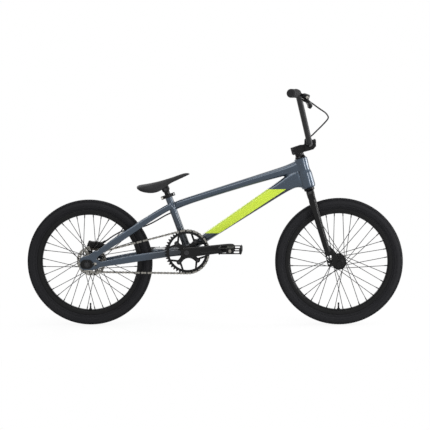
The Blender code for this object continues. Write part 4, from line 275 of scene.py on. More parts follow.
# Place across the bike, depth, drop of the top and rise of the underside, from the middle out
CROWN = (
    (0, 0.0330, -0.0010, 0.0120), (0.018, 0.0322, -0.0010, 0.0100), (0.0400, 0.0310, 0.0020, 0),
    (0.0500, 0.0290, 0.0090, 0), (0.0530, 0.0220, 0.0170, 0),
)
# Points ahead of the steering axis and along it
FORK_END_REAR = (
    (-0.0104, -0.3180), (-0.0108, -0.3450), (-0.0122, -0.3680), (-0.0070, -0.3770), (0.0070, -0.3735),
)
FORK_END_FRONT = ((0.0291, -0.3330), (0.0151, -0.3080), (-0.0079, -0.3080))
FORK_END_WINDOWS = (
    ((-0.0066, -0.3320), (-0.0080, -0.3580), (-0.0070, -0.3650), (-0.0024, -0.3660), (0.0004, -0.3320)),
    ((0.0058, -0.3320), (0.0036, -0.3560), (0.0046, -0.3690), (0.0098, -0.3590), (0.0136, -0.3340)),
)
COVER_LOW = 0.0603
SPACER_LOW = 0.0706
STEM_LOW = 0.0799
STEM_HEIGHT = 0.0300
STEM_WIDTH = 0.0500
# Points ahead of the steering axis and above the stem's lower end
STEM_UNDERSIDE = ((-0.0270, 0.004), (-0.0230, 0), (0.0580, 0), (0.0690, 0.008))
STEM_SPLIT = 0.0006
CLAMP_REAR = 0.0205
CLAMP_FRONT = 0.0245
CLAMP_HEIGHT = 0.0125
BAR = Vector((0.4804, 0, 0.4170))
BAR_RADIUS = 0.0111
BAR_LEAN = math.radians(12.75)
BAR_RISE = 0.200
BAR_HALF = 0.365
BAR_BACKSWEEP = math.radians(7.8)
BAR_UPSWEEP = math.radians(2.0)
BAR_BEND_LOW = 0.062
BAR_BEND_HIGH = 0.178
BAR_BEND_RADIUS = 0.040
CROSSBAR_HEIGHT = 0.112
CROSSBAR_RADIUS = 0.0080
# How far the bead stands out of the crossbar, and its place along it
WELD_BEAD = ((-0.001, -0.0024), (0.0018, -0.0022), (0.0016, -0.0004), (0.0006, 0.0014), (-0.001, 0.0018))
GRIP_RADIUS = 0.0160
GRIP_LENGTH = 0.132
GRIP_RIBS = 18
LEVER_AT = 0.209
LEVER_DROP = math.radians(36)
BODY_DROP = math.radians(20)
BODY_INBOARD = 0.032
LEVER_PIVOT = (0.012, 0.036)
CYLINDER_AHEAD = 0.0345
CYLINDER = (
    (0, 0.0235), (0.0070, 0.0235), (0.0090, 0.0215), (0.0098, 0.0170), (0.0100, -0.0180), (0.0090, -0.0240),
    (0.0062, -0.0262), (0.0052, -0.0310), (0, -0.0310),
)
# Place outwards and ahead of the pivot, width and thickness of each station of the blade
BLADE = (
    (-0.0040, -0.0010, 0.0060, 0.0086), (0.0020, 0.0030, 0.0110, 0.0100), (0.0120, 0.0148, 0.0116, 0.0160),
    (0.0320, 0.0290, 0.0120, 0.0205), (0.0620, 0.0345, 0.0115, 0.0215), (0.0900, 0.0375, 0.0115, 0.0215),
    (0.1040, 0.0410, 0.0112, 0.0205), (0.1110, 0.0460, 0.0100, 0.0180), (0.1155, 0.0505, 0.0064, 0.0140),
)

# Brake and the rear axle's ends
TENSIONER_THICK = 0.0060
TENSIONER_HALF = 0.0178
TENSIONER_AHEAD = 0.0045
TENSIONER_BEHIND = 0.0105
BRACKET_THICK = 0.0070
BRACKET_OUTLINE = (
    (-0.0140, 0.0230), (0.0035, 0.0230), (0.0020, 0.0460), (0.0080, 0.0520), (0.0480, 0.0480),
    (0.0500, 0.0560), (-0.0170, 0.0650), (-0.0200, 0.0600), (-0.0170, 0.0480),
)
ROTOR_Y = 0.040
ROTOR_RADIUS = 0.060
ROTOR_THICK = 0.0018
ROTOR_WAVES = 12
ROTOR_ARMS = 6
CALIPER_ANGLE = math.radians(84)
CALIPER_REACH = 0.0675
CALIPER_SHIFT = 0.0149
REAR_HOSE = (
    (-0.0680, 0.0040, 0.1485), (-0.0890, 0.0130, 0.1385), (-0.1130, 0.0270, 0.1245),
    (-0.1390, 0.0410, 0.1095), (-0.1680, 0.0520, 0.0955), (-0.2000, 0.0580, 0.0850),
    (-0.2340, 0.0620, 0.0790), (-0.2680, 0.0640, 0.0715), (-0.2930, 0.0620, 0.0600),
    (-0.3130, 0.0560, 0.0480),
)
FRONT_HOSE = (
    (0.4760, -0.1670, 0.5845), (0.4930, -0.1620, 0.5712), (0.5150, -0.1540, 0.5548),
    (0.5380, -0.1380, 0.5388), (0.5485, -0.1250, 0.5252), (0.5490, -0.1150, 0.5172),
    (0.5425, -0.1000, 0.5065), (0.5240, -0.0830, 0.4862), (0.5045, -0.0620, 0.4664),
    (0.4890, -0.0400, 0.4505), (0.4785, -0.0120, 0.4435), (0.4710, 0.0140, 0.4420),
    (0.4655, 0.0340, 0.4330), (0.4610, 0.0400, 0.4100), (0.4520, 0.0390, 0.3850),
    (0.4430, 0.0350, 0.3600), (0.4310, 0.0300, 0.3400), (0.4150, 0.0260, 0.3280),
    (0.4030, 0.0240, 0.3230),
)

# Seat
SADDLE_NOSE = Vector((0.0106, 0, 0.3017))
SADDLE_LENGTH = 0.2149
SADDLE_HALF = 0.058
SADDLE_TILT = math.radians(13.37)
SADDLE_BOLT_HOLE = 0.0042
SEAT_CLAMP_HEIGHT = 0.013
# Share of the length from the nose, half width share, top above the base line, side edge, belly
SADDLE_ROWS = (
    (0.000, 0.12, 0.0020, 0.0000, -0.0005),
    (0.025, 0.22, 0.0068, -0.0008, -0.0012),
    (0.100, 0.28, 0.0096, -0.0044, -0.0048),
    (0.200, 0.31, 0.0078, -0.0084, -0.0088),
    (0.300, 0.35, 0.0053, -0.0126, -0.0128),
    (0.400, 0.43, 0.0040, -0.0175, -0.0150),
    (0.500, 0.60, 0.0025, -0.0290, -0.0140),
    (0.600, 0.80, 0.0022, -0.0370, -0.0120),
    (0.700, 0.95, 0.0025, -0.0370, -0.0110),
    (0.800, 1.00, 0.0033, -0.0315, -0.0100),
    (0.900, 0.92, 0.0054, -0.0220, -0.0090),
    (0.960, 0.78, 0.0064, -0.0125, -0.0060),
    (1.000, 0.56, 0.0046, -0.0020, -0.0020),
)

# Camera, fitted to the photograph's wheels, bottom bracket, head tube, bar and pedals
IMAGE_SIDE = 430
CAMERA_AT = Vector((0.41663, -4.9, 0.61417))
CAMERA_YAW = math.radians(3.60567)
CAMERA_PITCH = math.radians(5.51530)
CAMERA_ROLL = math.radians(-0.69634)
CAMERA_FOCAL_PIXELS = 1254.054
SENSOR_WIDTH = 36.0

# Stage
LAMP_TARGET = Vector((0.1, 0, 0.15))
SIDE_STRIP_SHARE = 2.2
SHADOW_HALF = 0.55


# Modelling helpers


def select_only(*objects):
    bpy.ops.object.select_all(action="DESELECT")
    for obj in objects:
        obj.select_set(True)
    bpy.context.view_layer.objects.active = objects[0]


def edit(obj):
    select_only(obj)
    bpy.ops.object.mode_set(mode="EDIT")
    bpy.ops.mesh.select_all(action="SELECT")


def leave():
    bpy.ops.object.mode_set(mode="OBJECT")


def added(name):
    """The primitive that was just added, under its own name."""
    obj = bpy.context.active_object
    obj.name = name
    obj.data.name = name
    return obj


def put(obj, place):
    """Turns and moves a mesh to its place and leaves its object at the origin."""
    obj.matrix_world = place
    select_only(obj)
    bpy.ops.object.transform_apply(location=True, rotation=True, scale=True)
    return obj


def modified(obj, kind, **settings):
    """Adds a modifier and applies it."""
    step = obj.modifiers.new(kind.lower(), kind)
    for key, value in settings.items():
        setattr(step, key, value)
    select_only(obj)
    bpy.ops.object.modifier_apply(modifier=step.name)
    return obj


def bevelled(obj, width, segments=2, angle=35):
    return modified(obj, "BEVEL", width=width, segments=segments, limit_method="ANGLE",
                    angle_limit=math.radians(angle))


def subdivided(obj, levels):
    return modified(obj, "SUBSURF", levels=levels, render_levels=levels)


def combined(obj, other, operation):
    modified(obj, "BOOLEAN", operation=operation, solver="EXACT", object=other)
    bpy.data.objects.remove(other)
    return obj


def cut(obj, *others):
    for other in others:
        combined(obj, other, "DIFFERENCE")
    return obj


def united(obj, *others):
    for other in others:
        combined(obj, other, "UNION")
    return obj


def joined(name, objects):
    """Several loose solids as one piece."""
    select_only(*objects)
    if len(objects) > 1:
        bpy.ops.object.join()
    return added(name)


def scattered(name, obj, places):
    """One piece made of a copy of the mesh at each place."""
    built = bmesh.new()
    for place in places:
        part = obj.data.copy()
        part.transform(place)
        built.from_mesh(part)
        bpy.data.meshes.remove(part)
    obj.data.clear_geometry()
    built.to_mesh(obj.data)
    built.free()
    select_only(obj)
    return added(name)


def finished(obj, body, material, replaces=(), angle=35):
    """Shades a finished piece, paints it and makes it ride on its body."""
    select_only(obj)
    bpy.ops.object.shade_smooth_by_angle(angle=math.radians(angle))
    obj.data.materials.clear()
    obj.data.materials.append(material)
    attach(obj, body)
    if replaces:
        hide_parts(*replaces)
    return obj


def placed(x, y, z, origin):
    """A place with these three axes."""
    place = Matrix((x, y, z)).transposed().to_4x4()
    place.translation = origin
    return place


def axis_frame(origin, axis, across=None):
    """A place whose Z runs along the axis, and whose X leans to across."""
    z = Vector(axis).normalized()
    hint = Vector(across) if across else (FORWARD if abs(z.x) < 0.9 else UP)
    x = (hint - z * hint.dot(z)).normalized()
    return placed(x, z.cross(x), z, Vector(origin))


def side_frame(y, origin=(0, 0)):
    """A plate's place in the side view: its x is +X, its y is +Z and it faces -Y."""
    place = Matrix(((1, 0, 0), (0, 0, -1), (0, 1, 0))).to_4x4()
    place.translation = (origin[0], y, origin[1])
    return place


def y_frame(origin, hand=1):
    return axis_frame((origin[0], 0, origin[2]), ACROSS * hand, FORWARD)


def head_point(ahead, along, side=0.0):
    return HEAD + AHEAD * ahead + STEER * along + ACROSS * side


def head_frame(along=0.0, ahead=0.0, side=0.0):
    return axis_frame(head_point(ahead, along, side), STEER, AHEAD)


def seat_point(along, back=0.0):
    return SEAT_DIR * along + SEAT_BACK * back


def seat_frame(along=0.0, back=0.0):
    return axis_frame(seat_point(along, back), SEAT_DIR, FORWARD)


def on_circle(radius, turn, centre=(0, 0)):
    return centre[0] + radius * math.cos(turn), centre[1] + radius * math.sin(turn)


def around(radius, turn, y=0.0):
    """A point on a circle in the side view, at its place across the bike."""
    x, z = on_circle(radius, turn)
    return Vector((x, y, z))


def arc(centre, radius, start, end, count):
    return [on_circle(radius, start + (end - start) * i / (count - 1), centre) for i in range(count)]


def mirrored(points):
    """A half profile and its mirror image, as one line."""
    return points + [(r, -h) for r, h in reversed(points)]


def circle(centre, radius, count):
    return arc(centre, radius, 0, 2 * math.pi * (count - 1) / count, count)


def lifted(base, points):
    """A profile whose heights are counted from the base."""
    return [(r, base + h) for r, h in points]


def turned(name, profile, place, steps=40):
    """A turned piece: a ring of points laid on the profile and spun round the Z axis."""
    bpy.ops.object.select_all(action="DESELECT")
    bpy.ops.mesh.primitive_circle_add(vertices=len(profile), radius=1)
    obj = added(name)
    for vertex, (radius, height) in zip(obj.data.vertices, profile):
        vertex.co = (radius, 0, height)
    edit(obj)
    bpy.ops.mesh.spin(steps=steps, angle=2 * math.pi, center=(0, 0, 0), axis=(0, 0, 1))
    bpy.ops.mesh.select_all(action="SELECT")
    bpy.ops.mesh.remove_doubles(threshold=0.000001)
    bpy.ops.mesh.delete_loose(use_verts=True, use_edges=True, use_faces=False)
    bpy.ops.mesh.select_all(action="SELECT")
    bpy.ops.mesh.normals_make_consistent(inside=False)
    leave()
    return put(obj, place)


def rod(name, radius, top, low, place, steps=32, round_by=0.0):
    """A solid turned rod, its two rims rounded where asked."""
    r = round_by
    profile = [(0, top), (radius, top), (radius, low), (0, low)]
    if r:
        profile = [(0, top), (radius - r, top), (radius - 0.3 * r, top - 0.3 * r), (radius, top - r)]
        profile += [(radius, low + r), (radius - 0.3 * r, low + 0.3 * r), (radius - r, low), (0, low)]
    return turned(name, profile, place, steps)


def ring(name, outer, inner, top, low, place, steps=40, round_by=0.0004):
    r = round_by
    profile = [(inner + r, top), (outer - r, top), (outer, top - r), (outer, low + r), (outer - r, low)]
    profile += [(inner + r, low), (inner, low + r), (inner, top - r)]
    return turned(name, profile, place, steps)


def block(name, size, place, width=0.0, segments=3):
    """A box with rounded edges."""
    bpy.ops.object.select_all(action="DESELECT")
    bpy.ops.mesh.primitive_cube_add(size=1, scale=size)
    obj = added(name)
    select_only(obj)
    bpy.ops.object.transform_apply(location=True, rotation=True, scale=True)
    if width:
        edit(obj)
        bpy.ops.mesh.bevel(offset=width, segments=segments, affect="EDGES")
        leave()
    return put(obj, place)


def plate(name, outlines, thickness, place, edge=0.0, segments=2):
    """A flat outline with holes, as thick as given, with its edges broken."""
    data = bpy.data.curves.new(name, "CURVE")
    data.dimensions = "2D"
    data.fill_mode = "BOTH"
    data.extrude = thickness / 2
    for outline in outlines:
        spline = data.splines.new("POLY")
        spline.points.add(len(outline) - 1)
        for point, (x, y) in zip(spline.points, outline):
            point.co = (x, y, 0, 1)
        spline.use_cyclic_u = True
    obj = bpy.data.objects.new(name, data)
    bpy.context.scene.collection.objects.link(obj)
    obj = meshed(obj)
    if edge:
        edit(obj)
        bpy.ops.mesh.dissolve_limited(angle_limit=math.radians(1))
        leave()
        bevelled(obj, edge, segments)
    return put(obj, place)


def meshed(obj):
    """A curve's shape as a welded mesh."""
    name = obj.name
    select_only(obj)
    bpy.ops.object.convert(target="MESH")
    made = added(name)
    edit(made)
    bpy.ops.mesh.remove_doubles(threshold=0.000005)
    bpy.ops.mesh.normals_make_consistent(inside=False)
    leave()
    return made


def wire(name, points, radius, resolution=4):
    """A round tube through the points, with closed ends."""
    data = bpy.data.curves.new(name, "CURVE")
    data.dimensions = "3D"
    data.bevel_depth = radius
    data.bevel_resolution = resolution
    data.use_fill_caps = True
    spline = data.splines.new("POLY")
    spline.points.add(len(points) - 1)
    for point, place in zip(spline.points, points):
        point.co = (*place, 1)
    obj = bpy.data.objects.new(name, data)
    bpy.context.scene.collection.objects.link(obj)
    return meshed(obj)


def smooth_route(points, steps):
    """Points along a smooth curve through the route's own points."""
    count = len(points)
    rows = []
    for i in range(count - 1):
        p0 = points[max(i - 1, 0)]
        p1 = points[i]
        p2 = points[i + 1]
        p3 = points[min(i + 2, count - 1)]
        for step in range(steps):
            t = step / steps
            b = p2 - p0
            c = p0 * 2 - p1 * 5 + p2 * 4 - p3
            d = p1 * 3 - p0 - p2 * 3 + p3
            rows.append((p1 * 2 + b * t + c * t * t + d * t ** 3) * 0.5)
    rows.append(points[-1])
    return rows


def section(centre, across, upright, width, height, power=3.0, count=12):
    """One closed section, a rounded rectangle set by its power."""
    points = []
    for i in range(count):
        turn = 2 * math.pi * (i + 0.5) / count
        c = math.cos(turn)
        s = math.sin(turn)
        u = math.copysign(abs(c) ** (2 / power), c) * width / 2
        v = math.copysign(abs(s) ** (2 / power), s) * height / 2
        points.append(centre + across * u + upright * v)
    return points


def skinned(name, rows, levels=1):
    """A closed skin: a filled ring on the first section, extruded from section to section."""
    bpy.ops.object.select_all(action="DESELECT")
    bpy.ops.mesh.primitive_circle_add(vertices=len(rows[0]), radius=1, fill_type="NGON")
    obj = added(name)
    for vertex, point in zip(obj.data.vertices, rows[0]):
        vertex.co = point
    edit(obj)
    for before, after in zip(rows, rows[1:]):
        bpy.ops.mesh.extrude_region_move()
        built = bmesh.from_edit_mesh(obj.data)
        moved = [vertex for vertex in built.verts if vertex.select]
        for vertex in moved:
            nearest = min(range(len(before)), key=lambda i: (before[i] - vertex.co).length_squared)
            vertex.co = after[nearest]
        bmesh.update_edit_mesh(obj.data)
    bpy.ops.mesh.select_all(action="SELECT")
    bpy.ops.mesh.normals_make_consistent(inside=False)
    leave()
    if levels:
        subdivided(obj, levels)
    return obj


def station_rows(stations, hand=1, power=3.0, count=12):
    rows = []
    for low, high, side, width in stations:
        bottom = Vector((low[0], hand * side, low[1]))
        top = Vector((high[0], hand * side, high[1]))
        upright = (top - bottom).normalized()
        height = (top - bottom).length
        rows.append(section((bottom + top) / 2, ACROSS, upright, width, height, power, count))
    return rows


def melted(name, objects, grid, rounds=6, factor=0.5):
    """Overlapping solids welded into one skin, its inner corners filled as a sanded weld is."""
    obj = joined(name, objects)
    modified(obj, "REMESH", mode="VOXEL", voxel_size=grid, use_smooth_shade=True)
    modified(obj, "SMOOTH", factor=factor, iterations=rounds)
    return obj


def socket_bolt(name, radius, height, place, socket=0.45):
    """A round bolt head with a hexagon socket, its base at the place's origin."""
    head = rod(name, radius, height, 0, Matrix.Identity(4), 20, 0.0004)
    corner = radius * socket / math.cos(math.pi / 6)
    bpy.ops.object.select_all(action="DESELECT")
    at = (0, 0, height * 0.95)
    bpy.ops.mesh.primitive_cylinder_add(vertices=6, radius=corner, depth=height, location=at)
    cut(head, added("socket"))
    return put(head, place)


# Materials


def material(name):
    made = bpy.data.materials.new(name)
    made.use_nodes = True
    return made, made.node_tree, made.node_tree.nodes["Principled BSDF"]


def fed(tree, made, sockets):
    """Feeds a node's sockets, each from a number, a colour, a vector or another node's output."""
    for name, value in sockets.items():
        socket = made.inputs[name]
        if isinstance(value, (int, float)):
            socket.default_value = value
        elif isinstance(value, tuple):
            socket.default_value = value if len(value) == len(socket.default_value) else (*value, 1)
        else:
            tree.links.new(value, socket)


def node(tree, kind, sockets, **settings):
    made = tree.nodes.new("ShaderNode" + kind)
    for key, value in settings.items():
        setattr(made, key, value)
    fed(tree, made, sockets)
    return made


def maths(tree, operation, *values, clamp=False):
    return node(tree, "Math", dict(enumerate(values)), operation=operation, use_clamp=clamp).outputs[0]


def hypotenuse(tree, first, second):
    squares = [maths(tree, "MULTIPLY", side, side) for side in (first, second)]
    return maths(tree, "SQRT", maths(tree, "ADD", *squares))


def mixed(tree, share, first, second):
    """A colour between two colours or outputs."""
    return node(tree, "Mix", {"Factor": share, 6: first, 7: second}, data_type="RGBA").outputs[2]


def object_coordinates(tree):
    return node(tree, "TexCoord", {}).outputs["Object"]


def split(tree, where):
    """The X, Y and Z of a vector."""
    return node(tree, "SeparateXYZ", {0: where}).outputs


def noise(tree, where, scale, detail):
    return node(tree, "TexNoise", {"Vector": where, "Scale": scale, "Detail": detail}).outputs["Fac"]


def ranged(tree, value, low, high):
    """Spreads a pattern's middle values from low to high."""
    sockets = {"Value": value, "From Min": 0.3, "From Max": 0.7, "To Min": low, "To Max": high}
    return node(tree, "MapRange", sockets).outputs["Result"]


def bumped(tree, shader, height, strength, distance):
    made = node(tree, "Bump", {"Strength": strength, "Distance": distance, "Height": height})
    fed(tree, shader, {"Normal": made.outputs["Normal"]})


def tinted(colour, share):
    """The colour made darker or lighter."""
    return tuple(min(1.0, c * share) for c in colour)


def coated_finish(name, colour, metallic, roughness, coat=0.0, coat_roughness=0.08, spread=0.06, tint=0.12,
                  cloud_scale=35.0, grain_scale=900.0, grain=0.10, grain_depth=0.00005, specular=0.5):
    """A plain surface with cloudy roughness, slight colour variation and a fine grain."""
    made, tree, shader = material(name)
    where = object_coordinates(tree)
    cloud = noise(tree, where, cloud_scale, 4.0)
    patches = noise(tree, where, cloud_scale * 2.3, 5.0)
    fed(tree, shader, {
        "Base Color": mixed(tree, cloud, tinted(colour, 1 - tint), tinted(colour, 1 + tint)),
        "Metallic": metallic,
        "Specular IOR Level": specular,
        "Roughness": ranged(tree, patches, roughness - spread, roughness + spread),
        "Coat Weight": coat,
        "Coat Roughness": coat_roughness,
    })
    bumped(tree, shader, noise(tree, where, grain_scale, 2.0), grain, grain_depth)
    return made


def slate_and_panel(colours):
    """The frame's metallic slate, with the flat panel on the down tube and the dark line under it."""
    made, tree, shader = material("frame paint")
    where = object_coordinates(tree)
    x, _, z = split(tree, where)
    run = (PANEL_LINE_END - PANEL_LINE_START).normalized()
    beside = maths(tree, "MULTIPLY", maths(tree, "SUBTRACT", x, PANEL_LINE_START.x), -run.z)
    above = maths(tree, "MULTIPLY", maths(tree, "SUBTRACT", z, PANEL_LINE_START.z), run.x)
    height = maths(tree, "ADD", beside, above)
    level = maths(tree, "GREATER_THAN", x, PANEL_REAR)
    for side, value, edge in (("GREATER_THAN", z, PANEL_LOW), ("LESS_THAN", z, PANEL_HIGH),
                              ("LESS_THAN", height, PANEL_TOP)):
        level = maths(tree, "MULTIPLY", level, maths(tree, side, value, edge))
    over_edge = maths(tree, "GREATER_THAN", height, -PANEL_EDGE)
    panel = maths(tree, "MULTIPLY", level, over_edge)
    line = maths(tree, "SUBTRACT", level, panel)

    slate = tuple(colours.slate)
    deep = tinted(slate, 0.84)
    flakes = node(tree, "TexVoronoi", {"Vector": where, "Scale": FLAKE_SCALE}).outputs["Distance"]
    flaked = mixed(tree, ranged(tree, flakes, 0.0, 1.0), tinted(slate, 1.28), deep)
    cloudy = mixed(tree, noise(tree, where, 9.0, 3.0), deep, flaked)
    # Painted shade: the slate gets darker close to the bottom bracket, standing in for the chainring's
    # shadow on the tubes
    away = maths(tree, "MULTIPLY_ADD", hypotenuse(tree, x, z), PAINTED_SHADE_SLOPE, PAINTED_SHADE_START, clamp=True)
    base = mixed(tree, away, tinted(slate, PAINTED_SHADE_DEPTH), mixed(tree, 0.6, cloudy, flaked))
    lime = tuple(colours.lime)
    flat = mixed(tree, noise(tree, where, 12.0, 2.0), tinted(lime, 0.98), lime)
    fed(tree, shader, {
        "Base Color": mixed(tree, line, mixed(tree, panel, base, flat), tuple(colours.line)),
        "Metallic": maths(tree, "MULTIPLY_ADD", level, -0.55, 0.55, clamp=True),
        "Roughness": ranged(tree, noise(tree, where, 70.0, 5.0), 0.30, 0.38),
        "Specular IOR Level": 0.3,
        "Coat Weight": maths(tree, "MULTIPLY_ADD", level, -0.6, 0.8),
        "Coat Roughness": 0.08,
    })
    bumped(tree, shader, noise(tree, where, 420.0, 2.0), 0.01, 0.00003)
    return made


def brushed_disc(name, colour, centre, rings=9000.0):
    """Bright steel with the fine circles that a lathe or a pad leaves."""
    made, tree, shader = material(name)
    where = object_coordinates(tree)
    moved = node(tree, "Mapping", {"Vector": where, "Location": (-centre.x, 0, -centre.z)})
    x, _, z = split(tree, moved.outputs["Vector"])
    wave = maths(tree, "SINE", maths(tree, "MULTIPLY", hypotenuse(tree, x, z), rings))
    patch = noise(tree, where, 120.0, 4.0)
    fed(tree, shader, {
        "Base Color": mixed(tree, patch, tinted(colour, 0.72), colour),
        "Metallic": 1.0,
        "Roughness": ranged(tree, patch, 0.24, 0.40),
    })
    bumped(tree, shader, wave, 0.08, 0.00004)
    return made


def tyre_rubber(colour):
    """Matt rubber with a dusty bloom and a fine pitted skin."""
    made, tree, shader = material("tyre rubber")
    where = object_coordinates(tree)
    bloom = noise(tree, where, 26.0, 6.0)
    fed(tree, shader, {
        "Base Color": mixed(tree, ranged(tree, bloom, 0.0, 0.55), colour, tinted(colour, 1.5)),
        "Roughness": ranged(tree, bloom, 0.62, 0.82),
        "Specular IOR Level": 0.14,
    })
    bumped(tree, shader, noise(tree, where, 1500.0, 3.0), 0.22, 0.00010)
    return made


def grained_plastic(name, colour, roughness):
    """Moulded plastic with a leather like grain of small cells."""
    made, tree, shader = material(name)
    where = object_coordinates(tree)
    cells = node(tree, "TexVoronoi", {"Vector": where, "Scale": 620.0})
    wear = noise(tree, where, 24.0, 5.0)
    fed(tree, shader, {
        "Base Color": mixed(tree, ranged(tree, wear, 0.0, 0.5), colour, tinted(colour, 1.25)),
        "Specular IOR Level": 0.18,
        "Roughness": ranged(tree, wear, roughness - 0.06, roughness + 0.08),
    })
    bumped(tree, shader, cells.outputs["Distance"], 0.28, 0.00016)
    return made


def finishes():
    """Every material, made once from the panel's colours."""
    if FINISHES:
        return FINISHES
    colours = bpy.context.scene.bike_colours
    black = colours.black
    steel = colours.steel
    dark = colours.dark
    # Name, colour and the share of it, metallic, roughness, and what differs from a plain finish
    plain = {
        "alloy": ("black alloy", black, 1.0, 0.40, 0.42,
                  dict(spread=0.07, grain_scale=1300.0, specular=0.35)),
        "satin": ("satin black alloy", black, 0.55, 0.15, 0.40, dict(specular=0.14)),
        "rim": ("black rim alloy", black, 0.50, 0.20, 0.36, dict(spread=0.05, specular=0.14)),
        "carbon": ("gloss black lacquer", black, 0.26, 0.0, 0.34,
                   dict(coat=0.28, coat_roughness=0.05, grain=0.05, specular=0.04)),
        "crank": ("black crank alloy", black, 0.40, 0.10, 0.34,
                  dict(coat=0.18, coat_roughness=0.10, specular=0.08)),
        "matt": ("matt black alloy", black, 0.45, 0.0, 0.62, dict(specular=0.10)),
        "steel": ("bright steel", steel, 1.0, 1.0, 0.30, dict(spread=0.08, tint=0.18, cloud_scale=180.0)),
        "chain": ("nickel chain", steel, 0.44, 1.0, 0.34, dict(spread=0.10, tint=0.25, cloud_scale=260.0)),
        "inner": ("dark chain steel", dark, 0.60, 0.6, 0.40,
                  dict(spread=0.08, cloud_scale=260.0, specular=0.2)),
        "dark": ("dark steel", dark, 1.0, 0.85, 0.38, dict(spread=0.07, cloud_scale=150.0)),
        "spoke": ("black spoke steel", dark, 0.25, 0.2, 0.40, dict(spread=0.05, specular=0.12)),
        "grip": ("grip rubber", colours.grip, 1.0, 0.0, 0.78,
                 dict(spread=0.07, tint=0.25, grain_scale=1100.0, grain=0.35, grain_depth=0.00015,
                      specular=0.2)),
        "hose": ("hose plastic", colours.hose, 1.0, 0.0, 0.42, dict(tint=0.20, specular=0.2)),
        "pad": ("friction pad", (0.09, 0.075, 0.06), 1.0, 0.2, 0.80, dict(tint=0.35, cloud_scale=500.0)),
        "bearing": ("bearing steel", steel, 1.0, 1.0, 0.22, dict(spread=0.04)),
    }
    for key, (name, colour, share, metallic, roughness, rest) in plain.items():
        FINISHES[key] = coated_finish(name, tinted(colour, share), metallic, roughness, **rest)
    FINISHES["paint"] = slate_and_panel(colours)
    FINISHES["rotor"] = brushed_disc("brake rotor steel", tinted(steel, 0.62), REAR_AXLE)
    FINISHES["tyre"] = tyre_rubber(tuple(colours.rubber))
    FINISHES["saddle"] = grained_plastic("saddle plastic", tuple(colours.saddle), 0.58)
    return FINISHES


FINISHES = {}


# Frame


def head_profile():
    """The head tube from its top down: waisted, with a collar that steps out at half height."""
    top = 0.0255
    low = 0.0276
    half = HEAD_HALF
    return [
        (0, half), (top - 0.0024, half), (top - 0.0006, half - 0.0012), (top, half - 0.004),
        (top, half - 0.022), (top - 0.0008, half - 0.030), (top - 0.0014, 0.022), (top - 0.0013, 0.010),
        (low - 0.0010, 0.003), (low, -0.006), (low, -0.018), (low + 0.0004, -half + 0.016),
        (low + 0.0003, -half + 0.009), (low - 0.0012, -half + 0.0025), (low - 0.0028, -half), (0, -half),
    ]


def head_bore():
    """One tool for the head tube's bore and both bearing seats."""
    past = HEAD_HALF + 0.012
    step = HEAD_HALF - HEAD_SEAT_DEPTH
    upper = [(0, past), (HEAD_SEAT, past), (HEAD_SEAT, step), (HEAD_BORE, step)]
    return turned("bore", mirrored(upper), head_frame(), 48)


def model_frame():
    """The welded frame as one skin: its tubes, stays, bridge and dropouts, then the bores cut out."""
    shell_frame = y_frame((0, 0, 0))
    parts = [turned("head", head_profile(), head_frame(), 64)]
    parts.append(skinned("top", station_rows(TOP_TUBE, power=2.3), 2))
    parts.append(skinned("down", station_rows(DOWN_TUBE, power=3.2), 2))
    parts.append(rod("tube", SEAT_TUBE_RADIUS, SEAT_TUBE_LENGTH, 0, seat_frame(), 48))
    parts.append(rod("tube", SHELL_RADIUS, SHELL_HALF, -SHELL_HALF, shell_frame, 48))
    low, high = (Vector(corner) for corner in BRIDGE_BOX)
    bridge = block("bridge", high - low, Matrix.Translation((low + high) / 2), 0.004)
    waist = rod("waist", 0.017, 0.04, -0.04, Matrix.Translation((BRIDGE_BOX[0][0] - 0.006, 0, 0)), 32)
    parts.append(cut(bridge, waist))
    for hand in (-1, 1):
        parts.append(skinned("chainstay", station_rows(CHAINSTAY, hand, 2.15), 2))
        parts.append(skinned("seatstay", station_rows(SEATSTAY, hand, 2.15), 2))
        place = side_frame(hand * (REAR_WIDTH / 2 + DROPOUT_THICK / 2))
        parts.append(plate("dropout", [DROPOUT_OUTLINE], DROPOUT_THICK, place))
    skin = melted("frame_skin", parts, bike_sizes().weld, 9)
    half = AXLE_RADIUS + GAP
    slot = [(DROPOUT_REAR - 0.01, REAR_AXLE.z - half)]
    slot += arc((REAR_AXLE.x + SLOT_AHEAD, REAR_AXLE.z), half, -math.pi / 2, math.pi / 2, 13)
    slot += [(DROPOUT_REAR - 0.01, REAR_AXLE.z + half)]
    shell_bore = rod("bore", SHELL_BORE, 0.05, -0.05, shell_frame, 60)
    post_end = SEAT_TUBE_LENGTH - POST_IN_TUBE
    post_bore = rod("bore", POST_RADIUS + GAP, 0.30, post_end - 0.012, seat_frame(), 48)
    end_at = y_frame(REAR_AXLE + FORWARD * (SLOT_AHEAD - 0.001))
    slot_end = rod("slot_end", SLOT_END, 0.1, -0.1, end_at, 32)
    cut(skin, head_bore(), shell_bore, post_bore, plate("slot", [slot], 0.2, side_frame(0)), slot_end)
    outside = [(max(r + 0.0002, HEAD_SEAT + 0.0004), z) for r, z in head_profile()]
    sleeve = turned("sleeve", outside, head_frame(), 96)
    skin = joined("frame_skin", [skin, sleeve])
    nodes = ["head_tube", "top_tube", "down_tube", "seat_tube", "bottom_bracket_shell"]
    nodes += [part + side for part in ("chainstay_", "seatstay_", "dropout_") for side in HAND]
    finished(skin, "frame", finishes()["paint"], nodes, 40)


# Wheels


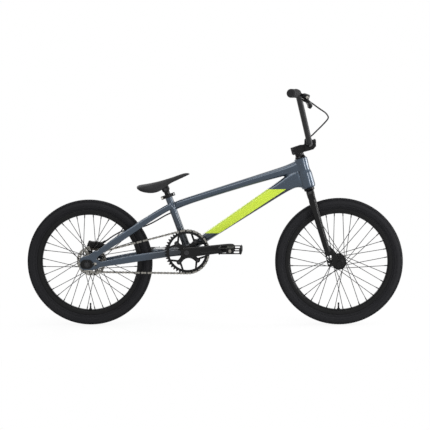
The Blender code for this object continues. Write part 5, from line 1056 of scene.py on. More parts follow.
def tyre_profile():
    """The tyre's section: an outer skin with moulded ribs and an inner skin, open at the rim."""
    tall = TYRE_RADIUS - bike_sizes().tread - RIM_OUTER
    middle = RIM_OUTER + 0.47 * tall
    radial = tall - 0.47 * tall
    outer = lifted(TYRE_BEAD, [(RIM_OUTER - 0.0036, -0.0008), (RIM_OUTER + 0.0004, 0.0004),
                               (RIM_OUTER + 0.0040, 0.0036)])
    for away, height in ((0.0056, 0.0167), (0.0084, 0.0191)):
        base = RIM_OUTER + away
        rib = [(base, 0), (base + 0.0001, 0.0009), (base + 0.0009, 0.0014), (base + 0.0012, 0.0009)]
        outer += lifted(height, rib)
    outer.append((RIM_OUTER + 0.0104, TYRE_HALF - 0.0036))
    base = RIM_OUTER + 0.0165
    outer += [(base, 0.0228), (base + 0.0001, 0.0237), (base + 0.0010, 0.0240), (base + 0.0012, 0.0234)]
    for i in range(14):
        turn = math.radians(92) * (1 - i / 13.5)
        height = TYRE_HALF * math.copysign(abs(math.sin(turn)) ** 0.86, math.sin(turn))
        outer.append((middle + radial * abs(math.cos(turn)) ** 0.80, height))
    inner = [(RIM_OUTER - 0.0036, TYRE_BEAD - 0.0040), (RIM_OUTER + 0.006, TYRE_BEAD - 0.0010)]
    for i in range(5):
        turn = math.radians(80) * (1 - i / 4.6)
        height = (TYRE_HALF - TYRE_WALL) * math.sin(turn)
        inner.append((middle + (radial - TYRE_WALL) * math.cos(turn), height))
    return mirrored(outer) + mirrored([(r, -h) for r, h in inner])


def model_tyre(end, centre):
    """A race tyre with rows of small blocks raised from its tread."""
    obj = turned("tyre_skin_" + end, tyre_profile(), Matrix.Identity(4), WHEEL_STEPS)
    edit(obj)
    bpy.ops.mesh.select_all(action="DESELECT")
    built = bmesh.from_edit_mesh(obj.data)
    low = RIM_OUTER + 0.55 * (TYRE_RADIUS - RIM_OUTER)
    for face in built.faces:
        point = face.calc_center_median()
        outward = Vector((point.x, point.y, 0))
        lean = outward.normalized().dot(face.normal)
        face.select = outward.length > low and lean > math.cos(TREAD_REACH)
    bmesh.update_edit_mesh(obj.data)
    bpy.ops.mesh.inset(thickness=0.00055, use_individual=True)
    bpy.ops.mesh.extrude_region_shrink_fatten(TRANSFORM_OT_shrink_fatten={"value": bike_sizes().tread})
    leave()
    put(obj, y_frame(centre) @ Matrix.Translation((0, 0, centre.y)))
    finished(obj, end + "_wheel", finishes()["tyre"], ["tyre_" + end], 30)


def rim_profile():
    """A box section rim: side walls with hooked edges, a deep well and a narrow spoke bed."""
    half = RIM_HALF
    well = RIM_OUTER - 0.0090
    return mirrored([
        (RIM_INNER, 0.0045), (RIM_INNER + 0.0004, 0.0066), (RIM_INNER + 0.0022, 0.0092),
        (RIM_INNER + 0.0062, half - 0.0012), (RIM_INNER + 0.0080, half - 0.0004),
        (RIM_OUTER - 0.0060, half), (RIM_OUTER - 0.0010, half), (RIM_OUTER, half - 0.0005),
        (RIM_OUTER, half - RIM_WALL), (RIM_OUTER - 0.0020, half - RIM_WALL - 0.0002),
        (RIM_OUTER - 0.0024, half - RIM_WALL + 0.0002), (well + 0.001, half - RIM_WALL - 0.0008),
        (well, half - RIM_WALL - 0.0020), (well - 0.0022, 0.0060),
    ])


def spoke_lines(flanges):
    """Each spoke's two ends, its heads inside and outside of the flange by turns."""
    found = []
    for hand, flange, shift in ((-1, flanges[0], 0), (1, flanges[1], 0.5)):
        for k in range(SPOKES_PER_SIDE):
            rim_angle = SPOKE_TURN + 2 * math.pi * (k + shift) / SPOKES_PER_SIDE
            lean = 1 if k % 2 else -1
            hub_angle = rim_angle + lean * SPOKE_CROSS
            low = around(FLANGE_HOLES, hub_angle, hand * (flange + lean * SPOKE_HEAD_OUT))
            high = around(RIM_INNER + 0.0010, rim_angle, hand * 0.002)
            found.append((low, high, hand * lean))
    return found


def model_spokes(end, centre, flanges):
    """Thirty six spokes, each with its bent head in the flange and its nipple at the rim."""
    radius = bike_sizes().spoke
    bars = []
    nipples = []
    heads = []
    for low, high, outside in spoke_lines(flanges):
        run = (high - low).normalized()
        bars.append(axis_frame(centre + low, run) @ Matrix.Diagonal((1, 1, (high - low).length, 1)))
        nipples.append(axis_frame(centre + high - run * NIPPLE_LENGTH, run))
        heads.append(axis_frame(centre + low, ACROSS * outside))
    spokes = scattered("spokes", rod("spoke", radius, 1.0, 0.0, Matrix.Identity(4), 8), bars)
    shape = [(0, NIPPLE_LENGTH + 0.002), (NIPPLE_RADIUS * 1.25, NIPPLE_LENGTH + 0.002),
             (NIPPLE_RADIUS * 1.25, NIPPLE_LENGTH - 0.0010), (NIPPLE_RADIUS, NIPPLE_LENGTH - 0.0012),
             (NIPPLE_RADIUS, 0.0006), (radius + 0.0003, 0), (0, 0)]
    nipple = scattered("nipples", turned("nipple", shape, Matrix.Identity(4), 8), nipples)
    shape = [(0, 0.0012), (0.0012, 0.0010), (0.0019, 0.0003), (0.0019, -0.0004), (radius, -0.0008),
             (radius, -0.0050), (0, -0.0050)]
    head = scattered("heads", turned("head", shape, Matrix.Identity(4), 8), heads)
    body = end + "_wheel"
    finished(joined("spokes_" + end, [spokes, head]), body, finishes()["spoke"])
    nipple.name = "spoke_nipples_" + end
    finished(nipple, body, finishes()["satin"])


def hub_side(flange, end):
    """One half of the hub's shell, from its end in to its waist."""
    out = flange + FLANGE_THICK / 2
    low = flange - FLANGE_THICK / 2
    edge = 0.0005
    barrel = [(HUB_BARREL - 0.0030, end), (HUB_BARREL - 0.0008, end - 0.0010), (HUB_BARREL, end - 0.0035)]
    barrel += [(HUB_BARREL, out + 0.0030), (HUB_BARREL + 0.0015, out + 0.0012)]
    rim = [(FLANGE_RADIUS - 0.0040, out), (FLANGE_RADIUS - edge, out), (FLANGE_RADIUS, out - edge)]
    rim += [(FLANGE_RADIUS, low + edge), (FLANGE_RADIUS - edge, low)]
    waist = [(HUB_BARREL + 0.0040, low - 0.0006), (HUB_BARREL + 0.0008, low - 0.0030)]
    return barrel + rim + waist + [(HUB_BARREL - 0.0012, low - 0.0080)]


def hub_profile(right, left, right_end, left_end):
    """The shell from its left end to its right end, waisted between the flanges, with the axle's bore."""
    bore = AXLE_RADIUS + 0.0004
    right_side = [(r, -h) for r, h in reversed(hub_side(right, right_end))]
    shell = hub_side(left, left_end) + [(HUB_BARREL - 0.0022, 0)] + right_side
    return shell + [(bore, -right_end), (bore, left_end)]


def model_wheel(end, centre, flanges, ends):
    model_tyre(end, centre)
    rim = turned("rim_hoop_" + end, rim_profile(), y_frame(centre), WHEEL_STEPS)
    finished(rim, end + "_wheel", finishes()["rim"], ["rim_" + end], 25)
    shell = turned("hub_shell_" + end, hub_profile(*flanges, *ends), y_frame(centre), 48)
    finished(shell, end + "_wheel", finishes()["satin"], ["hub_" + end], 30)
    model_spokes(end, centre, flanges)
    model_valve(end, centre)


def model_valve(end, centre):
    """The valve stem with its cap and nut, at the bottom of the wheel between two spokes."""
    place = axis_frame(centre + Vector((-0.0015, 0, -RIM_INNER - 0.004)), UP)
    cap = lifted(VALVE_LENGTH, [(0, 0), (0.0024, 0), (0.0032, -0.0008), (0.0034, -0.008), (0.0029, -0.0084),
                                (0.0027, -0.010), (0.0033, -0.013)])
    nut = [(0.0036, 0.008), (0.0060, 0.0072), (0.0060, 0.0040), (0.0036, 0.0040), (0.0036, 0), (0, 0)]
    obj = turned("valve_stem_" + end, cap + nut, place, 16)
    finished(obj, end + "_wheel", finishes()["grip"])


def model_rotor():
    """A wavy disc with swept arms and rows of drilled holes, bolted to the hub."""
    steps = ROTOR_WAVES * 12
    outline = []
    for i in range(steps):
        turn = 2 * math.pi * i / steps
        swing = 0.5 + 0.5 * math.cos(ROTOR_WAVES * turn)
        outline.append(on_circle(ROTOR_RADIUS - 0.0022 * swing ** 3, turn))
    outlines = [outline, circle((0, 0), 0.0176, 36)]
    starts = [2 * math.pi * i / ROTOR_ARMS for i in range(ROTOR_ARMS)]
    for start in starts:
        window = arc((0, 0), 0.0445, start + 0.14, start + 0.90, 9)
        outlines.append(window + arc((0, 0), 0.0250, start + 0.66, start + 0.22, 5))
    for i in range(36):
        radius = (0.0535, 0.0505, 0.0480)[i % 3]
        outlines.append(circle(on_circle(radius, 2 * math.pi * (i + 0.5) / 36), 0.0017, 10))
    place = side_frame(ROTOR_Y, (REAR_AXLE.x, REAR_AXLE.z))
    obj = plate("rotor_disc", outlines, ROTOR_THICK, place, 0.0002, 1)
    finished(obj, "rear_wheel", finishes()["rotor"], ["brake_rotor"], 30)
    bolts = []
    for start in starts:
        point = REAR_AXLE + around(0.0213, start + 0.02, ROTOR_Y + ROTOR_THICK / 2)
        bolts.append(socket_bolt("rotor_bolt", 0.0034, 0.0024, axis_frame(point, ACROSS)))
    finished(joined("rotor_bolts", bolts), "rear_wheel", finishes()["dark"])


# Drive


def pitch_radius(teeth):
    return CHAIN_PITCH / (2 * math.sin(math.pi / teeth))


def toothed(teeth):
    """A sprocket's outline, its roots round and its tips narrow."""
    pitch = pitch_radius(teeth)
    tip = pitch + TOOTH_HEIGHT
    root = pitch - ROOT_DEPTH
    step = 2 * math.pi / teeth
    rise = [(-0.50, root), (-0.38, root + 0.0006), (-0.27, pitch - 0.0012), (-0.16, pitch + 0.0016)]
    rise.append((-0.07, tip))
    shape = rise + [(-share, radius) for share, radius in reversed(rise[1:])]
    return [on_circle(radius, (i + share) * step) for i in range(teeth) for share, radius in shape]


def bolt_turns():
    return [CRANK_TILT + math.pi / 4 + math.pi / 2 * i for i in range(4)]


def ring_hole():
    """The chainring's inner edge, with four tabs that reach in to the bolts."""
    outline = []
    for bolt in bolt_turns():
        centre = on_circle(RING_BOLT_RADIUS, bolt)
        outline += arc(centre, RING_TAB, bolt - math.radians(128), bolt - math.radians(232), 11)
        outline += arc((0, 0), RING_WINDOW, bolt + RING_SHOULDER, bolt + math.pi / 2 - RING_SHOULDER, 17)
    return outline


def ring_windows():
    """The crescent behind each bolt, and the bolt holes."""
    found = []
    for bolt in bolt_turns():
        centre = on_circle(RING_BOLT_RADIUS, bolt)
        crescent = arc((0, 0), RING_WINDOW, bolt - math.radians(20), bolt + math.radians(20), 13)
        crescent += arc(centre, 0.0102, bolt + math.radians(58), bolt - math.radians(58), 9)
        found += [crescent, circle(centre, 0.0042, 16)]
    return found


def model_chainring():
    outlines = [toothed(RING_TEETH), ring_hole()] + ring_windows()
    obj = plate("chainring_plate", outlines, RING_THICK, side_frame(-CHAIN_LINE), 0.00035, 2)
    finished(obj, "crank", finishes()["crank"], ["chainring"], 30)
    bolts = []
    for bolt in bolt_turns():
        front = around(RING_BOLT_RADIUS, bolt, -(CHAIN_LINE + RING_THICK / 2 + SPIDER_THICK + 0.0002))
        bolts.append(socket_bolt("ring_bolt", 0.0050, 0.0018, axis_frame(front, -ACROSS), 0.55))
        back = around(RING_BOLT_RADIUS, bolt, -(CHAIN_LINE - RING_THICK / 2 + 0.0004))
        bolts.append(rod("ring_nut", 0.0050, 0.0016, 0, axis_frame(back, ACROSS), 20, 0.0004))
    finished(joined("chainring_bolts", bolts), "crank", finishes()["dark"])


def model_cog():
    """The rear cog with its spacer, carrier and lock ring."""
    outlines = [toothed(COG_TEETH), circle((0, 0), 0.0150, 32)]
    place = side_frame(-CHAIN_LINE, (REAR_AXLE.x, REAR_AXLE.z))
    cog = plate("sprocket", outlines, RING_THICK, place, 0.0003, 1)
    outward = y_frame(REAR_AXLE, -1)
    inner = AXLE_RADIUS + 0.0004
    carrier = ring("carrier", 0.0155, inner, CHAIN_LINE + 0.0048, CHAIN_LINE - 0.0070, outward, 40)
    top = CHAIN_LINE + 0.0056
    lock = ring("lock_ring", 0.0135, inner + 0.0001, top, top - 0.0010, outward, 24)
    cog_set = joined("cog_set", [united(cog, carrier), lock])
    finished(cog_set, "cog_body", finishes()["steel"], ["cog"], 30)


def chain_places():
    """The middle of each link along the loop, as its place with X along the chain."""
    ring_radius = pitch_radius(RING_TEETH)
    cog_radius = pitch_radius(COG_TEETH)
    cog_at = Vector((REAR_AXLE.x, REAR_AXLE.z))
    lean = math.acos((ring_radius - cog_radius) / cog_at.length)
    middle = math.atan2(cog_at.y, cog_at.x)
    top = middle - lean
    low = middle + lean
    straight = math.sqrt(cog_at.length ** 2 - (ring_radius - cog_radius) ** 2)
    legs = (ring_radius * (2 * math.pi - 2 * lean), straight, cog_radius * 2 * lean, straight)
    total = sum(legs)

    def point(run):
        run %= total
        if run < legs[0]:
            return Vector(on_circle(ring_radius, low + run / ring_radius))
        run -= legs[0]
        out = Vector(on_circle(1, top))
        if run < legs[1]:
            return (out * ring_radius).lerp(cog_at + out * cog_radius, run / straight)
        run -= legs[1]
        if run < legs[2]:
            return cog_at + Vector(on_circle(cog_radius, top + run / cog_radius))
        run -= legs[2]
        out = Vector(on_circle(1, low))
        return (cog_at + out * cog_radius).lerp(out * ring_radius, run / straight)

    links = 2 * round(total / CHAIN_PITCH / 2)
    pins = [point(total * i / links) for i in range(links)]
    places = []
    for first, second in zip(pins, pins[1:] + pins[:1]):
        centre = (first + second) / 2
        run = (second - first).normalized()
        x = Vector((run.x, 0, run.y))
        y = Vector((-run.y, 0, run.x))
        places.append(placed(x, y, x.cross(y), (centre.x, -CHAIN_LINE, centre.y)))
    return places


def link_outline(radius, waist):
    """One side plate: two round ends and a waist between them."""
    half = CHAIN_PITCH / 2
    outline = arc((half, 0), radius, math.radians(-115), math.radians(115), 7) + [(0, waist)]
    return outline + arc((-half, 0), radius, math.radians(65), math.radians(295), 7) + [(0, -waist)]


def model_chain():
    """Nickel outer links and dark inner links by turns, with rollers and riveted pins."""
    places = chain_places()
    made = {"outer": [], "inner": []}
    for kind, away, count in (("outer", 0.0035, 0), ("inner", 0.0022, 1)):
        for hand in (-1, 1):
            at = Matrix.Translation((0, 0, hand * away))
            link = plate("plate", [link_outline(0.0041, 0.0023)], 0.0009, at)
            made[kind].append(scattered("plates", link, places[count::2]))
    at = Matrix.Translation((CHAIN_PITCH / 2, 0, 0))
    roller = ring("roller", 0.0039, 0.0019, 0.0016, -0.0016, at, 10, 0.0002)
    made["inner"].append(scattered("rollers", roller, places))
    reach = CHAIN_HALF_WIDTH + 0.0004
    made["outer"].append(scattered("pins", rod("pin", 0.0018, reach, -reach, at, 8), places))
    outer = joined("chain_outer_links", made["outer"])
    finished(outer, "frame", finishes()["chain"], ["chain"], 30)
    finished(joined("chain_inner_links", made["inner"]), "frame", finishes()["inner"], (), 30)


def crank_dir(hand):
    return Vector((math.cos(CRANK_TILT), 0, math.sin(CRANK_TILT))) * (1 if hand < 0 else -1)


def arm_rows(hand):
    run = crank_dir(hand)
    upright = Vector((-run.z, 0, run.x))
    middle = ACROSS * (hand * (ARM_INNER + ARM_THICK / 2))
    rows = []
    for along, height, width in ARM:
        rows.append(section(run * along + middle, ACROSS, upright, width, height, 3.6, 16))
    return rows


def model_arm(side):
    """A forged crank arm with a long recess, its spindle boss and the pedal's eye."""
    hand = HAND[side]
    arm = skinned("crank_" + side, arm_rows(hand), 2)
    outward = axis_frame((0, 0, 0), ACROSS * hand, crank_dir(hand))
    face = ARM_INNER + ARM_THICK + 0.0006
    if hand < 0:
        ring_face = CHAIN_LINE + RING_THICK / 2
        united(arm, rod("boss", 0.0196, face - 0.004, ring_face + GAP, outward, 48, 0.001), model_spider())
    else:
        cup_end = SHELL_HALF + GAP + CUP_REACH
        united(arm, rod("boss", 0.0185, face - 0.004, cup_end + 0.0010, outward, 48, 0.001))
    place = outward @ Matrix.Translation((0.096, 0, face))
    recess = block("recess", (0.086, 0.0150, 0.0040), place, 0.0018, 3)
    eye = rod("eye", PEDAL_AXLE + GAP, 0.12, 0.04, axis_frame(PEDAL[side], ACROSS * hand), 32)
    well = rod("well", 0.0108, face + 0.002, face - 0.0032, outward, 40)
    cut(arm, recess, eye, well)
    finished(arm, "crank", finishes()["crank"], ["crank_arm_" + side], 32)
    cap = lifted(face, [(0, -0.0012), (0.0040, -0.0012), (0.0046, -0.0006), (0.0098, -0.0006),
                        (0.0104, -0.0014), (0.0104, -0.0031), (0, -0.0031)])
    bolt = turned("crank_bolt_" + side, cap, outward, 32)
    hexagon = rod("hexagon", 0.0036, face, face - 0.0026, outward, 6)
    finished(cut(bolt, hexagon), "crank", finishes()["dark"])


def model_spider():
    """Four arms that carry the chainring, and the spindle through the frame."""
    valley = (SPIDER_HALF + SPIDER_FILLET) * math.sqrt(2)
    outline = []
    for bolt in bolt_turns():
        centre = on_circle(RING_BOLT_RADIUS, bolt)
        outline += arc(centre, RING_TAB, bolt - math.pi / 2, bolt + math.pi / 2, 11)
        centre = on_circle(valley, bolt + math.pi / 4)
        outline += arc(centre, SPIDER_FILLET, bolt + math.pi * 1.5, bolt + math.pi, 11)
    place = side_frame(-(CHAIN_LINE + RING_THICK / 2 + GAP + SPIDER_THICK / 2))
    star = plate("spider", [outline], SPIDER_THICK, place, 0.0010, 2)
    left_end = -ARM_INNER - ARM_THICK + 0.004
    spindle = rod("spindle", SPINDLE_RADIUS, ARM_INNER + 0.004, left_end, y_frame((0, 0, 0), -1))
    return united(star, spindle)


def model_pedal(side):
    """A platform pedal: caged ends, a barrel on the axle, open windows and grip pins."""
    hand = HAND[side]
    axle = PEDAL[side]
    middle = Vector((axle.x, hand * (PEDAL_START + PEDAL_DEPTH / 2), axle.z))
    size = (PEDAL_LENGTH, PEDAL_DEPTH, PEDAL_THICK)
    body = block("pedal_cage_" + side, size, Matrix.Translation(middle), 0.0035, 3)
    window = PEDAL_LENGTH / 2 - PEDAL_RAIL - PEDAL_BARREL
    for u in (1, -1):
        place = Matrix.Translation(middle + FORWARD * (u * (PEDAL_BARREL + window / 2)))
        opening = block("window", (window, PEDAL_DEPTH - 0.018, 0.05), place, 0.0030, 2)
        slot = block("slot", (window - 0.003, 0.2, 0.0160), place, 0.0030, 2)
        cut(body, opening, slot)
    place = Matrix.Translation(middle + UP * (PEDAL_THICK / 2))
    relief = block("top_relief", (0.020, PEDAL_DEPTH - 0.024, 0.0020), place, 0.0006, 1)
    outward = axis_frame(axle, ACROSS * hand)
    bore = rod("bore", PEDAL_AXLE + 0.0004, PEDAL_START + PEDAL_DEPTH - 0.008, 0, outward, 32)
    mouth = rod("mouth", PEDAL_AXLE + 0.0025, PEDAL_START + 0.010, 0, outward, 32)
    cut(body, relief, bore, mouth)
    bevelled(body, 0.0005, 2, 40)
    finished(body, "pedal_" + side, finishes()["matt"], ["pedal_body_" + side], 30)
    cap = lifted(PEDAL_START + PEDAL_DEPTH, [
        (0, 0.0012), (0.0020, 0.0012), (0.0026, 0.0018), (0.0050, 0.0016), (0.0058, 0.0008),
        (0.0058, -0.0040), (0, -0.0040)])
    finished(turned("pedal_cap_" + side, cap, outward, 24), "pedal_" + side, finishes()["chain"])
    places = []
    for u in (1, -1):
        for share in (-0.42, -0.14, 0.14, 0.42):
            for v in (1, -1):
                away = Vector((u * (PEDAL_LENGTH / 2 - 0.0045), share * PEDAL_DEPTH, v * PEDAL_THICK / 2))
                places.append(axis_frame(middle + away, UP * v))
    pin = rod("pin", 0.0016, 0.0026, -0.004, Matrix.Identity(4), 8, 0.0004)
    pins = scattered("pedal_pins_" + side, pin, places)
    finished(pins, "pedal_" + side, finishes()["dark"])


# Fork, stem and bar


def crown_rows():
    half = [(y, depth, -CROWN_TOP - drop, -CROWN_LOW + rise) for y, depth, drop, rise in CROWN]
    rows = []
    for y, depth, top, low in [(-y, *rest) for y, *rest in reversed(half[1:])] + half:
        rows.append(section(head_point(0, (top + low) / 2, y), AHEAD, STEER, depth, top - low, 5.0, 16))
    return rows


def fork_end(hand):
    """The plate below the leg, with two windows, and its eye round the axle."""
    rake = (FRONT_AXLE - HEAD).dot(AHEAD)
    low = (FRONT_AXLE - HEAD).dot(STEER)
    outline = list(FORK_END_REAR) + arc((rake, low), 0.0145, math.radians(205), math.radians(440), 21)
    outlines = [outline + list(FORK_END_FRONT), *FORK_END_WINDOWS]
    middle = HEAD + ACROSS * hand * (FRONT_WIDTH / 2 + FORK_END_THICK / 2)
    return plate("fork_end", outlines, FORK_END_THICK, placed(AHEAD, STEER, -ACROSS, middle))


def model_fork():
    """The one piece fork: crown, tapered legs and their ends, with the steerer inside the head tube."""
    parts = [skinned("crown", crown_rows(), 1)]
    parts.append(rod("seat", CROWN_SEAT, -HEAD_HALF - GAP, -CROWN_TOP - 0.004, head_frame(), 48))
    for hand in (-1, 1):
        rows = []
        for share, depth, width, lead in LEG:
            along = -(CROWN_LOW + (LEG_LOW - CROWN_LOW) * share)
            y = hand * (LEG_TOP_Y + (LEG_LOW_Y - LEG_TOP_Y) * share)
            rows.append(section(head_point(lead, along, y), AHEAD, ACROSS, depth, width, 2.15, 16))
        parts.append(skinned("leg", rows, 2))
        parts.append(fork_end(hand))
    skin = melted("fork_skin", parts, FORK_GRID, 5)
    cut(skin, rod("hole", AXLE_RADIUS + GAP, 0.09, -0.09, y_frame(FRONT_AXLE), 32))
    top = STEM_LOW + STEM_HEIGHT - 0.006
    united(skin, rod("steerer", STEERER_RADIUS, top, -CROWN_TOP - 0.010, head_frame(), 48))
    nodes = ["fork_crown", "fork_leg_right", "fork_leg_left"]
    finished(skin, "fork", finishes()["carbon"], nodes, 40)


def model_headset():
    """The cover and the spacer between the head tube and the stem."""
    inner = STEERER_RADIUS + GAP
    cover = lifted(COVER_LOW, [
        (inner, 0.0100), (0.0170, 0.0100), (0.0177, 0.0094), (0.0190, 0.0062), (0.0205, 0.0030),
        (0.0210, 0.0020), (0.0210, 0.0004), (0.0206, 0), (inner, 0)])
    obj = turned("headset_cover_cap", cover, head_frame(), 48)
    finished(obj, "fork", finishes()["carbon"], ["headset_cover"])
    top = SPACER_LOW + 0.0090
    spacer = ring("headset_spacer_ring", 0.0172, inner, top, SPACER_LOW, head_frame(), 48, 0.0006)
    finished(spacer, "fork", finishes()["carbon"], ["headset_spacer"])


def stem_outline():
    """The stem's side: a clamp on the steerer at the rear and a cradle under the bar in front."""
    split_at = BAR.z - STEM_SPLIT
    front = BAR.x + CLAMP_FRONT
    top = head_point(0.0120, STEM_LOW + STEM_HEIGHT)
    below = [head_point(ahead, STEM_LOW + rise) for ahead, rise in STEM_UNDERSIDE]
    rear = head_point(-0.0270, STEM_LOW + STEM_HEIGHT - 0.002)
    cradle = arc((BAR.x, BAR.z), BAR_RADIUS + GAP, 0, -math.pi, 25)
    outline = [(point.x, point.z) for point in below]
    outline += [(front, BAR.z - 0.012), (front, split_at)]
    outline += [(x, min(z, split_at)) for x, z in cradle]
    outline += [(BAR.x - CLAMP_REAR, split_at), (BAR.x - CLAMP_REAR - 0.003, top.z + 0.001)]
    return outline + [(top.x, top.z), (rear.x, rear.z)]


def model_stem():
    """The top loading stem, slotted behind the steerer."""
    stem = plate("stem_block", [stem_outline()], STEM_WIDTH, side_frame(0), 0.0016, 3)
    bore = rod("bore", STEERER_RADIUS + GAP, 0.2, 0, head_frame(), 48)
    middle = STEM_LOW + STEM_HEIGHT / 2
    slot = block("slot", (0.04, 0.0022, 0.08), head_frame(middle, -0.030))
    cut(stem, bore, slot)
    for hand in (-1, 1):
        place = head_frame(middle, 0.012, hand * 0.027)
        cut(stem, block("relief", (0.030, 0.020, 0.10), place, 0.003, 3))
    finished(stem, "fork", finishes()["satin"], ["stem"], 30)


def model_clamp_plate():
    """The plate that holds the bar on the stem, its four bolts and the two at the steerer."""
    low = BAR.z + STEM_SPLIT
    rear = BAR.x - CLAMP_REAR
    front = BAR.x + CLAMP_FRONT
    outline = [(rear, low)]
    outline += [(x, max(z, low)) for x, z in arc((BAR.x, BAR.z), BAR_RADIUS + GAP, math.pi, 0, 25)]
    outline += [(front, low), (front, low + CLAMP_HEIGHT), (BAR.x + 0.0135, low + 0.0135)]
    outline += [(BAR.x + 0.0090, low + 0.0160), (BAR.x - 0.0080, low + 0.0160)]
    outline += [(BAR.x - 0.0125, low + 0.0135), (rear, low + CLAMP_HEIGHT)]
    top_plate = plate("stem_top_plate", [outline], STEM_WIDTH, side_frame(0), 0.0012, 3)
    place = Matrix.Translation((BAR.x - 0.0005, 0, low + 0.024))
    cut(top_plate, block("window", (0.012, 0.014, 0.02), place, 0.002, 2))
    finished(top_plate, "fork", finishes()["satin"], ["stem_clamp_plate"], 30)
    bolts = []
    for x in (rear + 0.0048, front - 0.0055):
        for y in (-0.0165, 0.0165):
            place = Matrix.Translation((x, y, low + CLAMP_HEIGHT))
            bolts.append(socket_bolt("bolt", 0.0043, 0.0044, place))
    for along in (0.0075, 0.0225):
        point = head_point(-0.0215, STEM_LOW + along, -0.0245)
        bolts.append(socket_bolt("bolt", 0.0040, 0.0016, axis_frame(point, -ACROSS)))
    finished(joined("stem_bolts", bolts), "fork", finishes()["dark"])


def model_steerer_cap():
    """The cap that closes the steerer above the stem."""
    top = STEM_LOW + STEM_HEIGHT
    cap = lifted(top, [(0, -0.0005), (0.0034, -0.0005), (0.0128, -0.0005), (0.0139, -0.0012),
                       (0.0139, -0.0045), (0, -0.0045)])
    obj = turned("steerer_top_cap", cap, head_frame(), 40)
    socket = rod("socket", 0.0030, top, top - 0.003, head_frame(), 6)
    finished(cut(obj, socket), "fork", finishes()["satin"], ["steerer_cap"])


def bar_frame():
    """The bar's own plane: x across the bike, y up the rise and z to the front."""
    up = Vector((-math.sin(BAR_LEAN), 0, math.cos(BAR_LEAN)))
    front = Vector((math.cos(BAR_LEAN), 0, math.sin(BAR_LEAN)))
    return placed(ACROSS, up, front, BAR)


def bar_grip_dir():
    return Vector((-math.cos(BAR_BACKSWEEP), math.sin(BAR_UPSWEEP), -math.sin(BAR_BACKSWEEP))).normalized()


def bar_corners():
    """The right half's corners from the clamp's centre to the bar's end."""
    high = Vector((-BAR_BEND_HIGH, BAR_RISE, 0))
    run = bar_grip_dir()
    end = high + run * ((BAR_HALF - BAR_BEND_HIGH) / -run.x)
    return [Vector((0, 0, 0)), Vector((-BAR_BEND_LOW, 0, 0)), high, end]


def rounded(points, radius, count):
    """The line with each inner corner made an arc."""
    made = [points[0]]
    for before, corner, after in zip(points, points[1:], points[2:]):
        first = (before - corner).normalized()
        last = (after - corner).normalized()
        angle = first.angle(last) / 2
        centre = corner + (first + last).normalized() * (radius / math.sin(angle))
        away = radius / math.tan(angle)
        start = corner + first * away - centre
        end = corner + last * away - centre
        made += [centre + start.slerp(end, i / (count - 1)) * radius for i in range(count)]
    made.append(points[-1])
    return made


def model_handlebar():
    """The bar with its crossbar welded between the rises."""
    place = bar_frame()
    right = rounded(bar_corners(), BAR_BEND_RADIUS, 17)
    left = [Vector((-p.x, p.y, p.z)) for p in reversed(right[1:])]
    bar = wire("handlebar_tube", [place @ p for p in left + right], BAR_RADIUS, 10)
    half = BAR_BEND_LOW + (BAR_BEND_HIGH - BAR_BEND_LOW) * CROSSBAR_HEIGHT / BAR_RISE
    ends = [place @ Vector((u * half, CROSSBAR_HEIGHT, 0)) for u in (-1, 1)]
    united(bar, wire("crossbar", ends, CROSSBAR_RADIUS, 8))
    finished(bar, "fork", finishes()["alloy"], ["handlebar"], 40)
    rise = Vector((BAR_BEND_HIGH - BAR_BEND_LOW, BAR_RISE, 0)).normalized()
    inner = half - BAR_RADIUS / rise.y - 0.0004
    bead = [(CROSSBAR_RADIUS + out, along) for out, along in WELD_BEAD]
    welds = []
    for u in (-1, 1):
        centre = place @ Vector((u * inner, CROSSBAR_HEIGHT, 0))
        across = (place.to_3x3() @ Vector((-u * rise.y, rise.x, 0))).normalized()
        welds.append(turned("weld", bead, axis_frame(centre, across), 32))
    finished(joined("crossbar_welds", welds), "fork", finishes()["alloy"])


def grip_frame(hand, outwards=0.0):
    place = bar_frame()
    run = bar_grip_dir()
    end = bar_corners()[-1] + run * outwards
    if hand > 0:
        run = Vector((-run.x, run.y, run.z))
        end = Vector((-end.x, end.y, end.z))
    return axis_frame(place @ end, place.to_3x3() @ run, UP)


def model_grip(side):
    """A rubber grip with fine ribs, a slim collar at its inner end and a plug in its outer end."""
    cap = 0.0040
    inner = BAR_RADIUS + GAP
    tail = -GRIP_LENGTH
    pitch = (GRIP_LENGTH - 0.022) / GRIP_RIBS
    deep = GRIP_RADIUS - 0.0009
    profile = [(0, cap - 0.0016), (0.0070, cap - 0.0016), (0.0082, cap), (GRIP_RADIUS - 0.0030, cap),
               (GRIP_RADIUS - 0.0006, cap - 0.0010), (GRIP_RADIUS, cap - 0.0028), (GRIP_RADIUS, -0.006)]
    for i in range(GRIP_RIBS):
        at = -0.008 - i * pitch
        profile += [(deep, at), (deep, at - pitch * 0.35), (GRIP_RADIUS, at - pitch * 0.5)]
        profile.append((GRIP_RADIUS, at - pitch * 0.85))
    profile += [(GRIP_RADIUS, tail + 0.008), (GRIP_RADIUS + 0.0008, tail + 0.0052)]
    profile += [(GRIP_RADIUS + 0.0008, tail + 0.0020), (GRIP_RADIUS - 0.0004, tail)]
    profile += [(inner, tail), (inner, GAP), (0, GAP)]
    obj = turned("grip_sleeve_" + side, profile, grip_frame(HAND[side]), 48)
    finished(obj, "fork", finishes()["grip"], ["grip_" + side], 30)


def lever_frame(drop, along=0.0, ahead=0.0):
    """x outwards along the bar, y ahead of it and down by the angle, z square to both."""
    place = bar_frame()
    run = bar_grip_dir()
    origin = place @ (bar_corners()[2] + run * ((LEVER_AT - BAR_BEND_HIGH) / -run.x))
    out = (place.to_3x3() @ run).normalized()
    forward = Vector((math.cos(drop), 0, -math.sin(drop)))
    forward = (forward - out * forward.dot(out)).normalized()
    square = out.cross(forward).normalized()
    return placed(out, forward, square, origin + out * along + forward * ahead)


